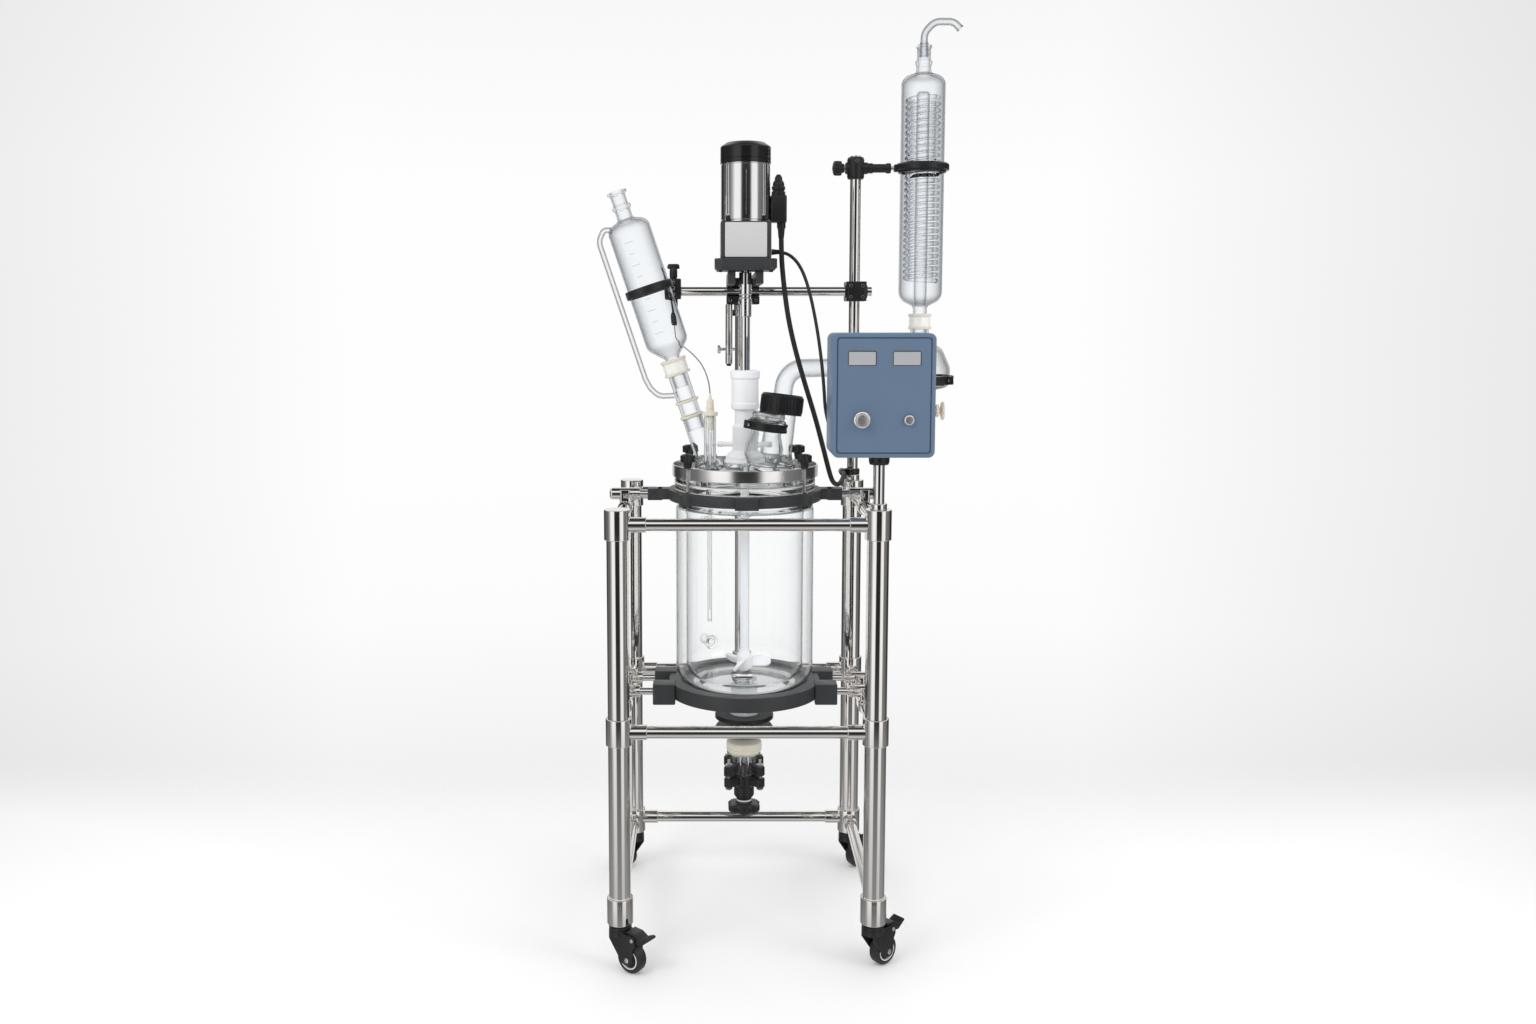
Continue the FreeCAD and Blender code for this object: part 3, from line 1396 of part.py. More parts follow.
def funnel_clamp():
    """The band round the funnel, its arm and the boss on the bar's end."""
    x, z = funnel_point("funnel_clamp_along")
    ring = cut(
        rod("funnel_radius + 7", "20"),
        rod("funnel_radius + joint_gap", "24", z=-2),
    )
    band = moved(ring, x, "funnel_plane", z, (0, 1, 0), "funnel_tilt")
    start = "funnel_plane + 26"
    boss_depth = "46"
    arm = rod("6", f"bar_plane - 20 - ({start})", "funnel_boss_x", start, "bar_height + funnel_arm_rise", "y")
    boss = block("38", boss_depth, "52", "funnel_boss_x", "bar_plane - 3", "bar_height - 20")
    bores = [
        rod("bar_radius + fit_gap", "120", "funnel_boss_x - 60", "bar_plane", "bar_height", "x"),
        rod("knob_stem_radius + fit_gap", "30", "funnel_boss_x", "bar_plane - 12", "bar_height + 15"),
    ]
    tail = block("10", "8", "70", "funnel_boss_x + 6", "bar_plane - 22", "bar_height - 86")
    return group([cut(fuse(band, arm, boss, tail), *bores)])


def funnel_clamp_knob():
    """The wing knob on top of the funnel's boss."""
    top = "bar_height + 32 + joint_gap"
    stem = rod("knob_stem_radius", "34", "funnel_boss_x", "bar_plane - 12", "bar_height + 15")
    grip = rod("10", "28", "funnel_boss_x", "bar_plane - 12", top)
    wing = block("34", "9", "13", "funnel_boss_x", "bar_plane - 12", f"{top} + 24")
    return fuse(stem, grip, wing)


def temperature_probe():
    """The thermowell with its PTFE cap and the small hose stub beside it."""
    well = turned([
        (0, "probe_foot"), ("probe_radius", "probe_foot", 4), ("probe_radius", "probe_cap_foot"),
        ("probe_port_radius + 4", "probe_cap_foot", 1), ("probe_port_radius + 4", "probe_cap_foot + 8", 1),
        ("probe_radius + 3", "probe_cap_foot + 10"), ("probe_radius + 3", "probe_cap_foot + 40", 3),
        (0, "probe_cap_foot + 40"),
    ], "probe_x", "probe_y", 0)
    return well


def port_cover():
    """The flat glass cover of the front port, with its ground rim."""
    x, z = port_local("port_reach + joint_gap")
    return turned([
        (0, 0), ("port_flange - 1", 0), ("port_flange - 1", 7, 1), ("port_flange - 6", 9),
        ("port_flange - 6", 24, 6), (0, 24),
    ], x, "port_y", z, (0, 1, 0), "port_tilt")


def cap_axis():
    """The axis about which the capped port leans towards the condenser, as numbers."""
    turn = math.radians(vapour_plane()[2])
    return -math.sin(turn), math.cos(turn), 0


def port_screw_cap():
    """The ribbed screw cap that holds the vapour arm in its port."""
    ribs = 16
    height, radius = "cap_height", "cap_radius"
    shell = rod(radius, height)
    grooves = []
    for rib in range(ribs):
        groove = rod("2.4", height, f"{radius} + 0.6", 0, 6)
        grooves.append(moved(groove, angle=f"{rib * 360 / ribs}"))
    thread = rod("cap_port_radius + joint_gap", f"{height} - 8", z=-1)
    hole = rod("vapour_radius + joint_gap", height, z=2)
    recess = rod(f"{radius} - 12", "10", z=f"{height} - 6")
    cap = cut(shell, thread, hole, recess, *grooves)
    reach = "cap_port_reach + 9 + joint_gap - cap_height"
    return moved(cap, *leaning("cap_port_x", "cap_port_y", reach))


def leaning(x, y, along):
    """The place and turn of a piece on the capped port's axis, that far from the lid's crown."""
    turn = math.radians(vapour_plane()[2])
    east, north = math.cos(turn), math.sin(turn)
    return (
        f"{x} + ({along}) * sin(cap_tilt) * {east}",
        f"{y} + ({along}) * sin(cap_tilt) * {north}",
        f"lid_crown + ({along}) * cos(cap_tilt)",
        cap_axis(),
        "cap_tilt",
    )


def rounded_plate(width, height, corner_radius, thick, x, front, z):
    """An upright rounded plate whose front face is at front, centred on x and z."""
    half_width, half_height = f"({width}) / 2", f"({height}) / 2"
    points = [
        (f"-1 * {half_width}", f"-1 * {half_height}", corner_radius),
        (half_width, f"-1 * {half_height}", corner_radius),
        (half_width, half_height, corner_radius),
        (f"-1 * {half_width}", half_height, corner_radius),
    ]
    return padded(points, thick, x, f"({front}) + ({thick}) / 2", z, role="XZ_Plane")


def control_box():
    """The casing with its rim, and the panel that lies inside the rim."""
    x, front = "frame_width / 2", "box_front"
    middle = "box_foot + box_height / 2"
    casing = rounded_plate("box_width", "box_height", "box_corner", "box_depth", x, front, middle)
    recess = rounded_plate("box_width - 2 * box_rim", "box_height - 2 * box_rim", "box_corner - 5", "panel_thick + 1", x, f"{front} - 1", middle)
    screen_z = "box_foot + screen_rise"
    panel = rounded_plate("box_width - 2 * box_rim - 5", "box_height - 2 * box_rim - 5", "box_corner - 6", "panel_thick", x, f"{front}", middle)
    pockets = [
        rounded_plate("screen_width", "screen_height", 2, "2", f"{x} + ({shift})", f"{front} - 1", screen_z)
        for shift in ("-screen_offset", "screen_offset")
    ]
    knob_bore = rod("4 + fit_gap", "20", "speed_knob_x", f"{front} - 1", "speed_knob_z", "y")
    button_bore = rod("button_radius - 3 + fit_gap", "20", "button_x", f"{front} - 1", "speed_knob_z", "y")
    gland = rod("sensor_cable_radius + 5", "box_gland_length", "box_gland_x", f"{front} + box_depth", "box_gland_z", "y")
    shell = cut(fuse(casing, gland), recess, knob_bore, button_bore)
    return group([shell, cut(panel, *pockets, knob_bore, button_bore)])


def speed_knob():
    """The turned speed knob with its stepped grip, on its spindle."""
    return turned([
        (0, -14), (4, -14), (4, 0), ("speed_knob_radius", 0), ("speed_knob_radius", 5, 1),
        ("speed_knob_radius - 3", 6), ("speed_knob_radius - 4", 19, 3), (0, 19),
    ], "speed_knob_x", "box_front - joint_gap", "speed_knob_z", (1, 0, 0), 90)


def power_button():
    """The push button in its guide."""
    return turned([
        (0, -12), ("button_radius - 3", -12), ("button_radius - 3", "button_travel + 1"),
        ("button_radius", "button_travel + 1"), ("button_radius", "button_travel + 5", 1.5), (0, "button_travel + 5"),
    ], "button_x", "box_front", "speed_knob_z", (1, 0, 0), 90)


def drain_valve():
    """The plates under the ring, the valve's flanged body and the bolts that draw them together."""
    plate = "plate_radius"
    neck = "drain_neck_radius + fit_gap"
    upper = cut(rod(plate, "plate_thick", z="plate_foot"), rod(neck, "plate_thick", z="plate_foot"))
    lower_head = "drain_neck_foot - seat_gap - drain_flange_thick"
    lower = cut(
        turned([(0, f"{lower_head} - 12"), (f"{plate} - 4", f"{lower_head} - 12"), (plate, f"{lower_head} - 6"),
                (f"{plate} - 4", lower_head), (0, lower_head)]),
        rod("outlet_neck_radius + fit_gap", "14", z=f"{lower_head} - 13"),
    )
    washer = cut(rod("drain_neck_radius + 12", "plate_washer", z="plate_foot + plate_thick"),
                 rod(neck, "plate_washer", z="plate_foot + plate_thick"))
    body = turned([
        ("outlet_radius + fit_gap", "valve_head - 38"), ("outlet_radius + 6", "valve_head - 38"),
        ("outlet_radius + 6", "valve_head - 68"), ("valve_radius", "valve_head - 70"),
        ("valve_radius", "valve_foot", 2), ("stem_bore", "valve_foot"),
        ("stem_bore", "valve_head - 72"), ("outlet_radius + fit_gap", "valve_head - 72"),
    ])
    collar = cut(rod("outlet_radius + 8", "26", z="valve_head - 34"), rod("outlet_radius + fit_gap", "26", z="valve_head - 34"))
    solids, bolts = [], []
    for turn in (0, 90, 180, 270):
        for foot in ("valve_head - 34", "valve_head - 68"):
            lug = block("22", "18", "26", "valve_lug_place", 0, foot)
            bore = rod("4.05", "30", "valve_lug_place + 3", 0, f"{foot} - 2")
            solids.append(moved(cut(lug, bore), angle=turn + 45))
        bolt = rod("4", "valve_bolt_length", "valve_lug_place + 3", 0, "valve_head - 66")
        bolts.append(moved(bolt, angle=turn + 45))
    tongue = outlet_arm("outlet_arm_radius + joint_gap", "90")
    clear = rod("outlet_radius + fit_gap", "80", z="valve_head - 72")
    valve = cut(fuse(body, collar, *solids), tongue, clear)
    ring = cut(rod("valve_radius - 3", "5", z="valve_foot - 5 - seat_gap"), rod("stem_bore", "5", z="valve_foot - 5 - seat_gap"))
    return group([upper, lower, washer, valve, ring] + bolts)


def outlet_arm(radius, length):
    """A cylinder along the outlet's slanted arm."""
    return rod_at(radius, length, 0, 0, "outlet_arm_root", (1, 0, 0), "180 - outlet_arm_angle")


def rod_at(radius, length, x, y, z, axis, angle):
    item = doc.addObject("Part::Cylinder", "Rod")
    bind(item, Radius=radius, Height=length)
    return place(item, x, y, z, axis, angle)


def drain_outlet():
    """The glass valve seat with its flared collar and the slanted outlet arm."""
    head = "drain_neck_foot - seat_gap"
    seat = turned([
        ("outlet_radius - 6", "valve_head - 70"), ("outlet_radius", "valve_head - 70"),
        ("outlet_radius", "outlet_bell_foot"), ("outlet_bell_radius", "outlet_bell_foot", 3),
        ("outlet_bell_radius", "outlet_bell_head - 16", 6), ("outlet_neck_radius", "outlet_bell_head", 3),
        ("outlet_neck_radius", f"{head} - drain_flange_thick + 0.01"),
        ("drain_flange_radius", f"{head} - drain_flange_thick + 0.01"), ("drain_flange_radius", head),
        ("drain_neck_bore", head), ("drain_neck_bore", "outlet_bell_foot"),
        ("outlet_radius - 6", "outlet_bell_foot - 16"),
    ])
    arm = outlet_arm("outlet_arm_radius", "outlet_arm_length")
    bore = outlet_arm("outlet_bore", "outlet_arm_length + 2")
    widened = outlet_arm("outlet_bore + 0.6", "outlet_throat_depth")
    channel = rod("outlet_radius - 6", "outlet_bell_foot - valve_head + 70", z="valve_head - 70")
    throat = rod("drain_neck_bore", f"{head} - outlet_bell_foot", z="outlet_bell_foot")
    return cut(fuse(seat, arm), bore, widened, channel, throat)


def drain_knob():
    """The lobed knob under the valve with its stem up to the seat."""
    head = "valve_foot - 5 - 3 * seat_gap"
    grip = turned([
        (0, f"{head} - 36"), ("drain_knob_radius - 12", f"{head} - 36", 3),
        ("drain_knob_radius", f"{head} - 31", 3), ("drain_knob_radius", f"{head} - 15", 3),
        (18, f"{head} - 10"), (18, head), (0, head),
    ])
    scallops = []
    for turn in range(6):
        bite = rod("14", "60", "drain_knob_radius + 9", 0, f"{head} - 50")
        scallops.append(moved(bite, angle=60 * turn))
    stem = rod("stem_bore - fit_gap", f"stem_top - ({head})", z=head)
    return fuse(cut(grip, *scallops), stem)


CASTOR_TURNS = {
    "front_left": (-1, -1, -35),
    "front_right": (1, -1, 40),
    "rear_left": (-1, 1, 140),
    "rear_right": (1, 1, 38),
}


def on_castor(item, name):
    side, end, turn = CASTOR_TURNS[name]
    x, y = leg_place(side, end)
    return moved(item, x, y, 0, (0, 0, 1), turn)


def castor_fork(name):
    """A swivel housing with two cheeks and the axle's bolt between them."""
    housing = turned([
        ("stem_radius + fit_gap", "fork_floor"), ("fork_radius", "fork_floor"),
        ("fork_radius", "fork_roof - 9"), ("fork_radius - 2", "fork_roof - 8"),
        ("fork_radius - 2", "fork_roof - 5"), ("fork_radius", "fork_roof - 4"),
        ("fork_radius", "fork_roof", 1), ("stem_radius + fit_gap", "fork_roof"),
    ])
    place_out = "wheel_width / 2 + cheek_gap + cheek_thick / 2"
    cheeks = []
    for side in SIDES:
        cheeks.append(padded([
            ("-1 * fork_radius + 8", "fork_roof - 4"), ("-1 * fork_radius + 8", "fork_floor - 8", 6),
            ("castor_trail - 12", "wheel_radius - 12", 10), ("castor_trail + 12", "wheel_radius - 12", 10),
            ("pedal_pivot_reach + 8", "pedal_pivot_height - 12", 8),
            ("pedal_pivot_reach + 8", "pedal_pivot_height + 8", 8), (16, "fork_roof - 10"), (16, "fork_roof - 4"),
        ], "cheek_thick", 0, f"{side} * ({place_out})", 0, role="XZ_Plane"))
    span = "wheel_width + 2 * cheek_gap + 2 * cheek_thick + 6"
    axle = rod("axle_radius", span, "castor_trail", f"-1 * ({span}) / 2", "wheel_radius", "y")
    heads = [
        rod("6.5", "3", "castor_trail", f"-1 * ({span}) / 2", "wheel_radius", "y"),
        rod("6.5", "3", "castor_trail", f"({span}) / 2", "wheel_radius", "-y"),
    ]
    pivot = rod("pivot_radius", span, "pedal_pivot_reach", f"-1 * ({span}) / 2", "pedal_pivot_height", "y")
    return on_castor(fuse(housing, *cheeks, axle, *heads, pivot), name)


def castor_wheel(name):
    """A wheel: hub, web, raised rim and crowned tyre in one turning."""
    half = "wheel_width / 2"
    wheel = turned([
        ("axle_radius + fit_gap", f"-1 * {half}"), ("wheel_rim - 9", f"-1 * {half}"),
        ("wheel_rim - 8", f"-1 * {half} + 4"), ("wheel_rim - 3", f"-1 * {half} + 4"),
        ("wheel_rim - 2", f"-1 * {half}"), ("wheel_rim + 1", f"-1 * {half}"),
        ("wheel_radius", f"-1 * {half} + 2", 5), ("wheel_radius", f"{half} - 2", 5),
        ("wheel_rim + 1", half), ("wheel_rim - 2", half),
        ("wheel_rim - 3", f"{half} - 4"), ("wheel_rim - 8", f"{half} - 4"),
        ("wheel_rim - 9", half), ("axle_radius + fit_gap", half),
    ], "castor_trail", 0, "wheel_radius", (1, 0, 0), 90)
    return on_castor(wheel, name)


def castor_brake(name):
    """The brake pedal on its pivot between the cheeks, with its bent toe plate."""
    width = "wheel_width + 2 * cheek_gap - 2 * joint_gap"
    reach, height = "pedal_pivot_reach", "pedal_pivot_height"
    pedal = padded([
        (f"{reach} - 7", f"{height} - 7", 4), (f"{reach} + 7", f"{height} - 7", 4),
        (f"{reach} + 22", f"{height} - 9", 4), (f"{reach} + 44", f"{height} + 8", 3),
        (f"{reach} + 40", f"{height} + 13", 3), (f"{reach} + 22", f"{height} + 6", 4),
        (f"{reach} + 6", f"{height} + 16", 3), (f"{reach} - 18", f"{height} + 17", 3),
        (f"{reach} - 18", f"{height} + 12", 2), (f"{reach} - 7", f"{height} + 8", 4),
    ], width, 0, 0, 0, role="XZ_Plane")
    bore = rod("pivot_radius + fit_gap", f"{width} + 2", reach, f"-1 * ({width}) / 2 - 1", height, "y")
    return on_castor(cut(pedal, bore), name)


def cable_clip():
    """The clip on the pole that the motor's cable runs into."""
    x, y = leg_place(1, 1)
    foot = "clip_height - 7"
    ring = rod("pole_radius + 5", "14", x, y, foot)
    barrel = rod("motor_cable_radius + 3", f"{y} - clip_mouth", f"{x} - 28", "clip_mouth", "clip_height", "y")
    web = block("22", "14", "14", f"{x} - 19", y, foot)
    return cut(fuse(ring, barrel, web), rod("pole_radius + fit_gap", "16", x, y, f"{foot} - 1"))


def motor_cable():
    """From the terminal box down past the ring's arm to the clip on the pole."""
    top = ("motor_radius + seat_gap + terminal_width - 12", 0, "terminal_foot - 12")
    end = ("frame_width / 2 - 28", "clip_mouth", "clip_height")
    return cable(top, MOTOR_CABLE, end, "motor_cable_radius")


MOTOR_CABLE = [
    (85.1, 0, 1640), (92, 5, 1568), (103, 9, 1488), (122, 15, 1408), (146, 23, 1328), (172, 35, 1248),
    (194, 52, 1170), (209, 72, 1116), (220, 96, 1084), (232, 122, 1070), (245, 150, 1068),
    (256, 180, 1078), (262, 208, 1087),
]
SENSOR_CABLE = [
    (92, 20, 1645), (114, 16, 1633), (132, 8, 1610), (146, -8, 1574), (158, -28, 1524),
    (170, -54, 1452), (178, -82, 1378), (182, -98, 1320), (184, -108, 1274), (194, -120, 1232),
    (209, -148, 1212),
]
PROBE_LEAD = [
    (-84, -96, 1320), (-90, -84, 1350), (-102, -54, 1376), (-116, -14, 1392), (-130, 32, 1404),
    (-142, 80, 1412), (-152, 126, 1418), (-161, 168, 1424), (-170, 200, 1436), (-172, 210, 1456),
]


def sensor_cable():
    """From the gearbox round behind the control box to its gland."""
    start = ("gearbox_width / 2 + 8", "sensor_gland_y", "sensor_gland_z")
    end = ("box_gland_x", "box_front + box_depth + box_gland_length", "box_gland_z")
    return cable(start, SENSOR_CABLE, end, "sensor_cable_radius")


def probe_lead():
    """From the probe's cap up to the tail of the funnel's boss."""
    start = ("probe_x", "probe_y", "probe_cap_foot + 40")
    end = ("funnel_boss_x + 6", "bar_plane - 22", "bar_height - 86")
    return cable(start, PROBE_LEAD, end, "lead_radius")


def cable(start, middle, end, radius):
    """A cable between two glands along points chosen by hand."""
    ends = [tuple(number(value) for value in point) for point in (start, end)]
    route = [ends[0], *middle, ends[1]]
    wire, radii = path_wire(route)
    item = pipe(route, radius)
    ratio = item.Shape.Volume / (math.pi * number(radius) ** 2 * wire.Length)
    print("cable radii", [round(value) for value in radii], "volume ratio", round(ratio, 4))
    return item


def build():
    """Every sub-part, each under its own name."""
    makers = [
        frame_legs, frame_tees, frame_rails, ring_clamps, upper_support_ring, lower_support_ring,
        jacketed_vessel, vessel_seals, vessel_lid, lid_clamp_ring, threaded_studs,
        bearing_housing, shaft_coupling, stirrer, motor, gearbox, motor_bracket, terminal_box,
        support_column, column_lock, support_rods, pole_clamps, pole_knob, condenser_clamp,
        condenser, vent_tube, joint_collars, reflux_head, joint_clamps, head_stopcock,
        dropping_funnel, funnel_adapter, funnel_clamp, funnel_clamp_knob, temperature_probe,
        port_cover, port_screw_cap, control_box, speed_knob, power_button,
        drain_valve, drain_outlet, drain_knob, motor_cable, sensor_cable, probe_lead,
    ]
    for maker in makers:
        node(maker.__name__, maker())
    for name, (x, y) in stud_places().items():
        node("star_knob_" + name, star_knob(x, y))
    for name in CASTOR_TURNS:
        node("castor_fork_" + name, castor_fork(name))
        node("castor_wheel_" + name, castor_wheel(name))
    for name in ("front_left", "front_right"):
        node("castor_brake_" + name, castor_brake(name))


def check_and_export():
    doc.recompute()
    faults = [
        f"{item.Label} ({item.TypeId}): {item.getStatusString()}"
        for item in doc.Objects
        if "Invalid" in item.State or "Error" in item.State
    ]
    for item in nodes:
        if item.Shape.isNull() or not item.Shape.isValid():
            faults.append(f"{item.Label} has no valid shape")
    if faults:
        raise RuntimeError("\n".join(faults))
    os.makedirs("parts", exist_ok=True)
    for item in nodes:
        item.Shape.exportStep(f"parts/{item.Label}.step")
    print(len(nodes), "sub-parts")


build()
check_and_export()
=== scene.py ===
import bpy, math
import numpy as np
from mathutils import Matrix, Vector


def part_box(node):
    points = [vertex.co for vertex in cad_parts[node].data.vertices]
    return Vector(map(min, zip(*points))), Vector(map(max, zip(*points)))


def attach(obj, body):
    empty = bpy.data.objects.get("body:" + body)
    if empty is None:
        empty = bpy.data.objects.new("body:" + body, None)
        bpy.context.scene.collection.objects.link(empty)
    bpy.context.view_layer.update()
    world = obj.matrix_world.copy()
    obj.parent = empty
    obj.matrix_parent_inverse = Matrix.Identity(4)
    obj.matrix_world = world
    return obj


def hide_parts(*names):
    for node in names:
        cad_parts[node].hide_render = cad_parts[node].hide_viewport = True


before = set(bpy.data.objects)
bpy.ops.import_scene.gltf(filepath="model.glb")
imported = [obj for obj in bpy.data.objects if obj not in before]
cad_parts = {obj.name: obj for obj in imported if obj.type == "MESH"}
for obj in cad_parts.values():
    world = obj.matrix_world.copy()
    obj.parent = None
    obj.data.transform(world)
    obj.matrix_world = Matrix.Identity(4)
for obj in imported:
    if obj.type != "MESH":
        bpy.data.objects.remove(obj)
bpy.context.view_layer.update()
mm = 0.001
print("frame loaded:", len(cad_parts), "nodes")


# A node's lowest and highest corner in millimetres.
def boxOf(node):
    low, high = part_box(node)
    return np.array(low) / mm, np.array(high) / mm


# Materials

# Adds a shader node with its settings; a socket's name that isn't a setting is a value of its input.
def addNode(tree, kind, **settings):
    node = tree.nodes.new("ShaderNode" + kind)
    for label, value in settings.items():
        if hasattr(node, label):
            setattr(node, label, value)
        else:
            node.inputs[label.replace("_", " ")].default_value = value
    return node


def newGroup(name, inputs, outputs):
    group = bpy.data.node_groups.new(name, "ShaderNodeTree")
    for label, kind, value in inputs:
        socket = group.interface.new_socket(label, in_out="INPUT", socket_type="NodeSocket" + kind)
        if value is not None:
            socket.default_value = value
    for label, kind in outputs:
        group.interface.new_socket(label, in_out="OUTPUT", socket_type="NodeSocket" + kind)
    return group, group.nodes.new("NodeGroupInput").outputs, group.nodes.new("NodeGroupOutput").inputs


# Fine scratches that run round a turned piece: noise squeezed along the surface map's length.
def makeBrushedGrain():
    group, given, out = newGroup("brushedGrain", [("Surface", "Vector", None), ("Round", "Float", 30.0),
        ("Along", "Float", 4000.0), ("Worn", "Float", 0.5)], [("Height", "Float"), ("Tone", "Float")])
    link = group.links.new
    scale = addNode(group, "CombineXYZ")
    link(given["Round"], scale.inputs["X"])
    link(given["Along"], scale.inputs["Y"])
    stretched = addNode(group, "VectorMath", operation="MULTIPLY")
    link(given["Surface"], stretched.inputs[0])
    link(scale.outputs[0], stretched.inputs[1])
    fine = addNode(group, "TexNoise", noise_dimensions="2D", Scale=1.0, Detail=3.0, Roughness=0.6)
    link(stretched.outputs[0], fine.inputs["Vector"])
    link(fine.outputs["Fac"], out["Height"])
    wide = addNode(group, "TexNoise", noise_dimensions="2D", Scale=24.0, Detail=4.0, Roughness=0.65)
    link(given["Surface"], wide.inputs["Vector"])
    blend = addNode(group, "Mix", data_type="FLOAT")
    link(given["Worn"], blend.inputs[0])
    link(fine.outputs["Fac"], blend.inputs[2])
    link(wide.outputs["Fac"], blend.inputs[3])
    link(blend.outputs[0], out["Tone"])
    return group


# The pebbled skin of moulded and powder-coated parts: cells for the height, slow noise for the tone.
def makeMouldedGrain():
    group, given, out = newGroup("mouldedGrain", [("Place", "Vector", None), ("Size", "Float", 900.0),
        ("Cloud", "Float", 14.0)], [("Height", "Float"), ("Tone", "Float")])
    link = group.links.new
    cells = addNode(group, "TexVoronoi", feature="SMOOTH_F1", Smoothness=0.6)
    link(given["Place"], cells.inputs["Vector"])
    link(given["Size"], cells.inputs["Scale"])
    link(cells.outputs["Distance"], out["Height"])
    cloud = addNode(group, "TexNoise", Detail=5.0, Roughness=0.6)
    link(given["Place"], cloud.inputs["Vector"])
    link(given["Cloud"], cloud.inputs["Scale"])
    link(cloud.outputs["Fac"], out["Tone"])
    return group


# A thin film of dust where the surface faces up, broken by noise.
def makeDust():
    group, given, out = newGroup("dust", [("Place", "Vector", None), ("Amount", "Float", 0.1)], [("Mask", "Float")])
    link = group.links.new
    facing = addNode(group, "NewGeometry")
    split = addNode(group, "SeparateXYZ")
    link(facing.outputs["Normal"], split.inputs[0])
    up = addNode(group, "MapRange", From_Min=0.35, From_Max=1.0)
    link(split.outputs["Z"], up.inputs["Value"])
    specks = addNode(group, "TexNoise", Scale=55.0, Detail=6.0, Roughness=0.7)
    link(given["Place"], specks.inputs["Vector"])
    both = addNode(group, "Math", operation="MULTIPLY")
    link(up.outputs[0], both.inputs[0])
    link(specks.outputs["Fac"], both.inputs[1])
    amount = addNode(group, "Math", operation="MULTIPLY")
    link(both.outputs[0], amount.inputs[0])
    link(given["Amount"], amount.inputs[1])
    link(amount.outputs[0], out["Mask"])
    return group


brushedGrain, mouldedGrain, dust = makeBrushedGrain(), makeMouldedGrain(), makeDust()


def newMaterial(name, colour, **sockets):
    material = bpy.data.materials.new(name)
    material.use_nodes = True
    tree = material.node_tree
    shader = tree.nodes["Principled BSDF"]
    shader.inputs["Base Color"].default_value = (*colour, 1)
    for label, value in sockets.items():
        shader.inputs[label.replace("_", " ")].default_value = value
    return material, tree, shader


def placed(tree, group, vector, **values):
    node = tree.nodes.new("ShaderNodeGroup")
    node.node_tree = group
    tree.links.new(vector, node.inputs[0])
    for label, value in values.items():
        node.inputs[label].default_value = value
    return node


# Colour, roughness and bump that vary with a grain group's tone and height.
def dress(tree, shader, grain, colour, shade, rough, bump):
    link = tree.links.new
    tint = addNode(tree, "Mix", data_type="RGBA")
    tint.inputs[6].default_value = (*[value * (1 - shade) for value in colour], 1)
    tint.inputs[7].default_value = (*[min(1, value * (1 + shade)) for value in colour], 1)
    link(grain.outputs["Tone"], tint.inputs[0])
    polish = addNode(tree, "MapRange", To_Min=rough[0], To_Max=rough[1])
    link(grain.outputs["Tone"], polish.inputs["Value"])
    link(polish.outputs[0], shader.inputs["Roughness"])
    relief = addNode(tree, "Bump", Strength=bump[0], Distance=bump[1])
    link(grain.outputs["Height"], relief.inputs["Height"])
    link(relief.outputs[0], shader.inputs["Normal"])
    return tint


def withDust(tree, shader, tint, amount, dustColour=(0.55, 0.54, 0.52)):
    place = addNode(tree, "TexCoord").outputs["Object"]
    film = placed(tree, dust, place, Amount=amount)
    cover = addNode(tree, "Mix", data_type="RGBA")
    tree.links.new(film.outputs[0], cover.inputs[0])
    tree.links.new(tint.outputs[2], cover.inputs[6])
    cover.inputs[7].default_value = (*dustColour, 1)
    tree.links.new(cover.outputs[2], shader.inputs["Base Color"])


def metal(name, colour, rough, bump=(0.12, 0.00003), shade=0.06, along=4000.0, around=30.0, worn=0.5):
    material, tree, shader = newMaterial(name, colour, Metallic=1.0)
    surface = addNode(tree, "UVMap", uv_map="surface").outputs[0]
    grain = placed(tree, brushedGrain, surface, Round=around, Along=along, Worn=worn)
    tint = dress(tree, shader, grain, colour, shade, rough, bump)
    tree.links.new(tint.outputs[2], shader.inputs["Base Color"])
    return material


def moulded(name, colour, rough, size=900.0, bump=(0.2, 0.00006), shade=0.12, film=0.05, **sockets):
    material, tree, shader = newMaterial(name, colour, **sockets)
    place = addNode(tree, "TexCoord").outputs["Object"]
    grain = placed(tree, mouldedGrain, place, Size=size)
    tint = dress(tree, shader, grain, colour, shade, rough, bump)
    withDust(tree, shader, tint, film)
    return material


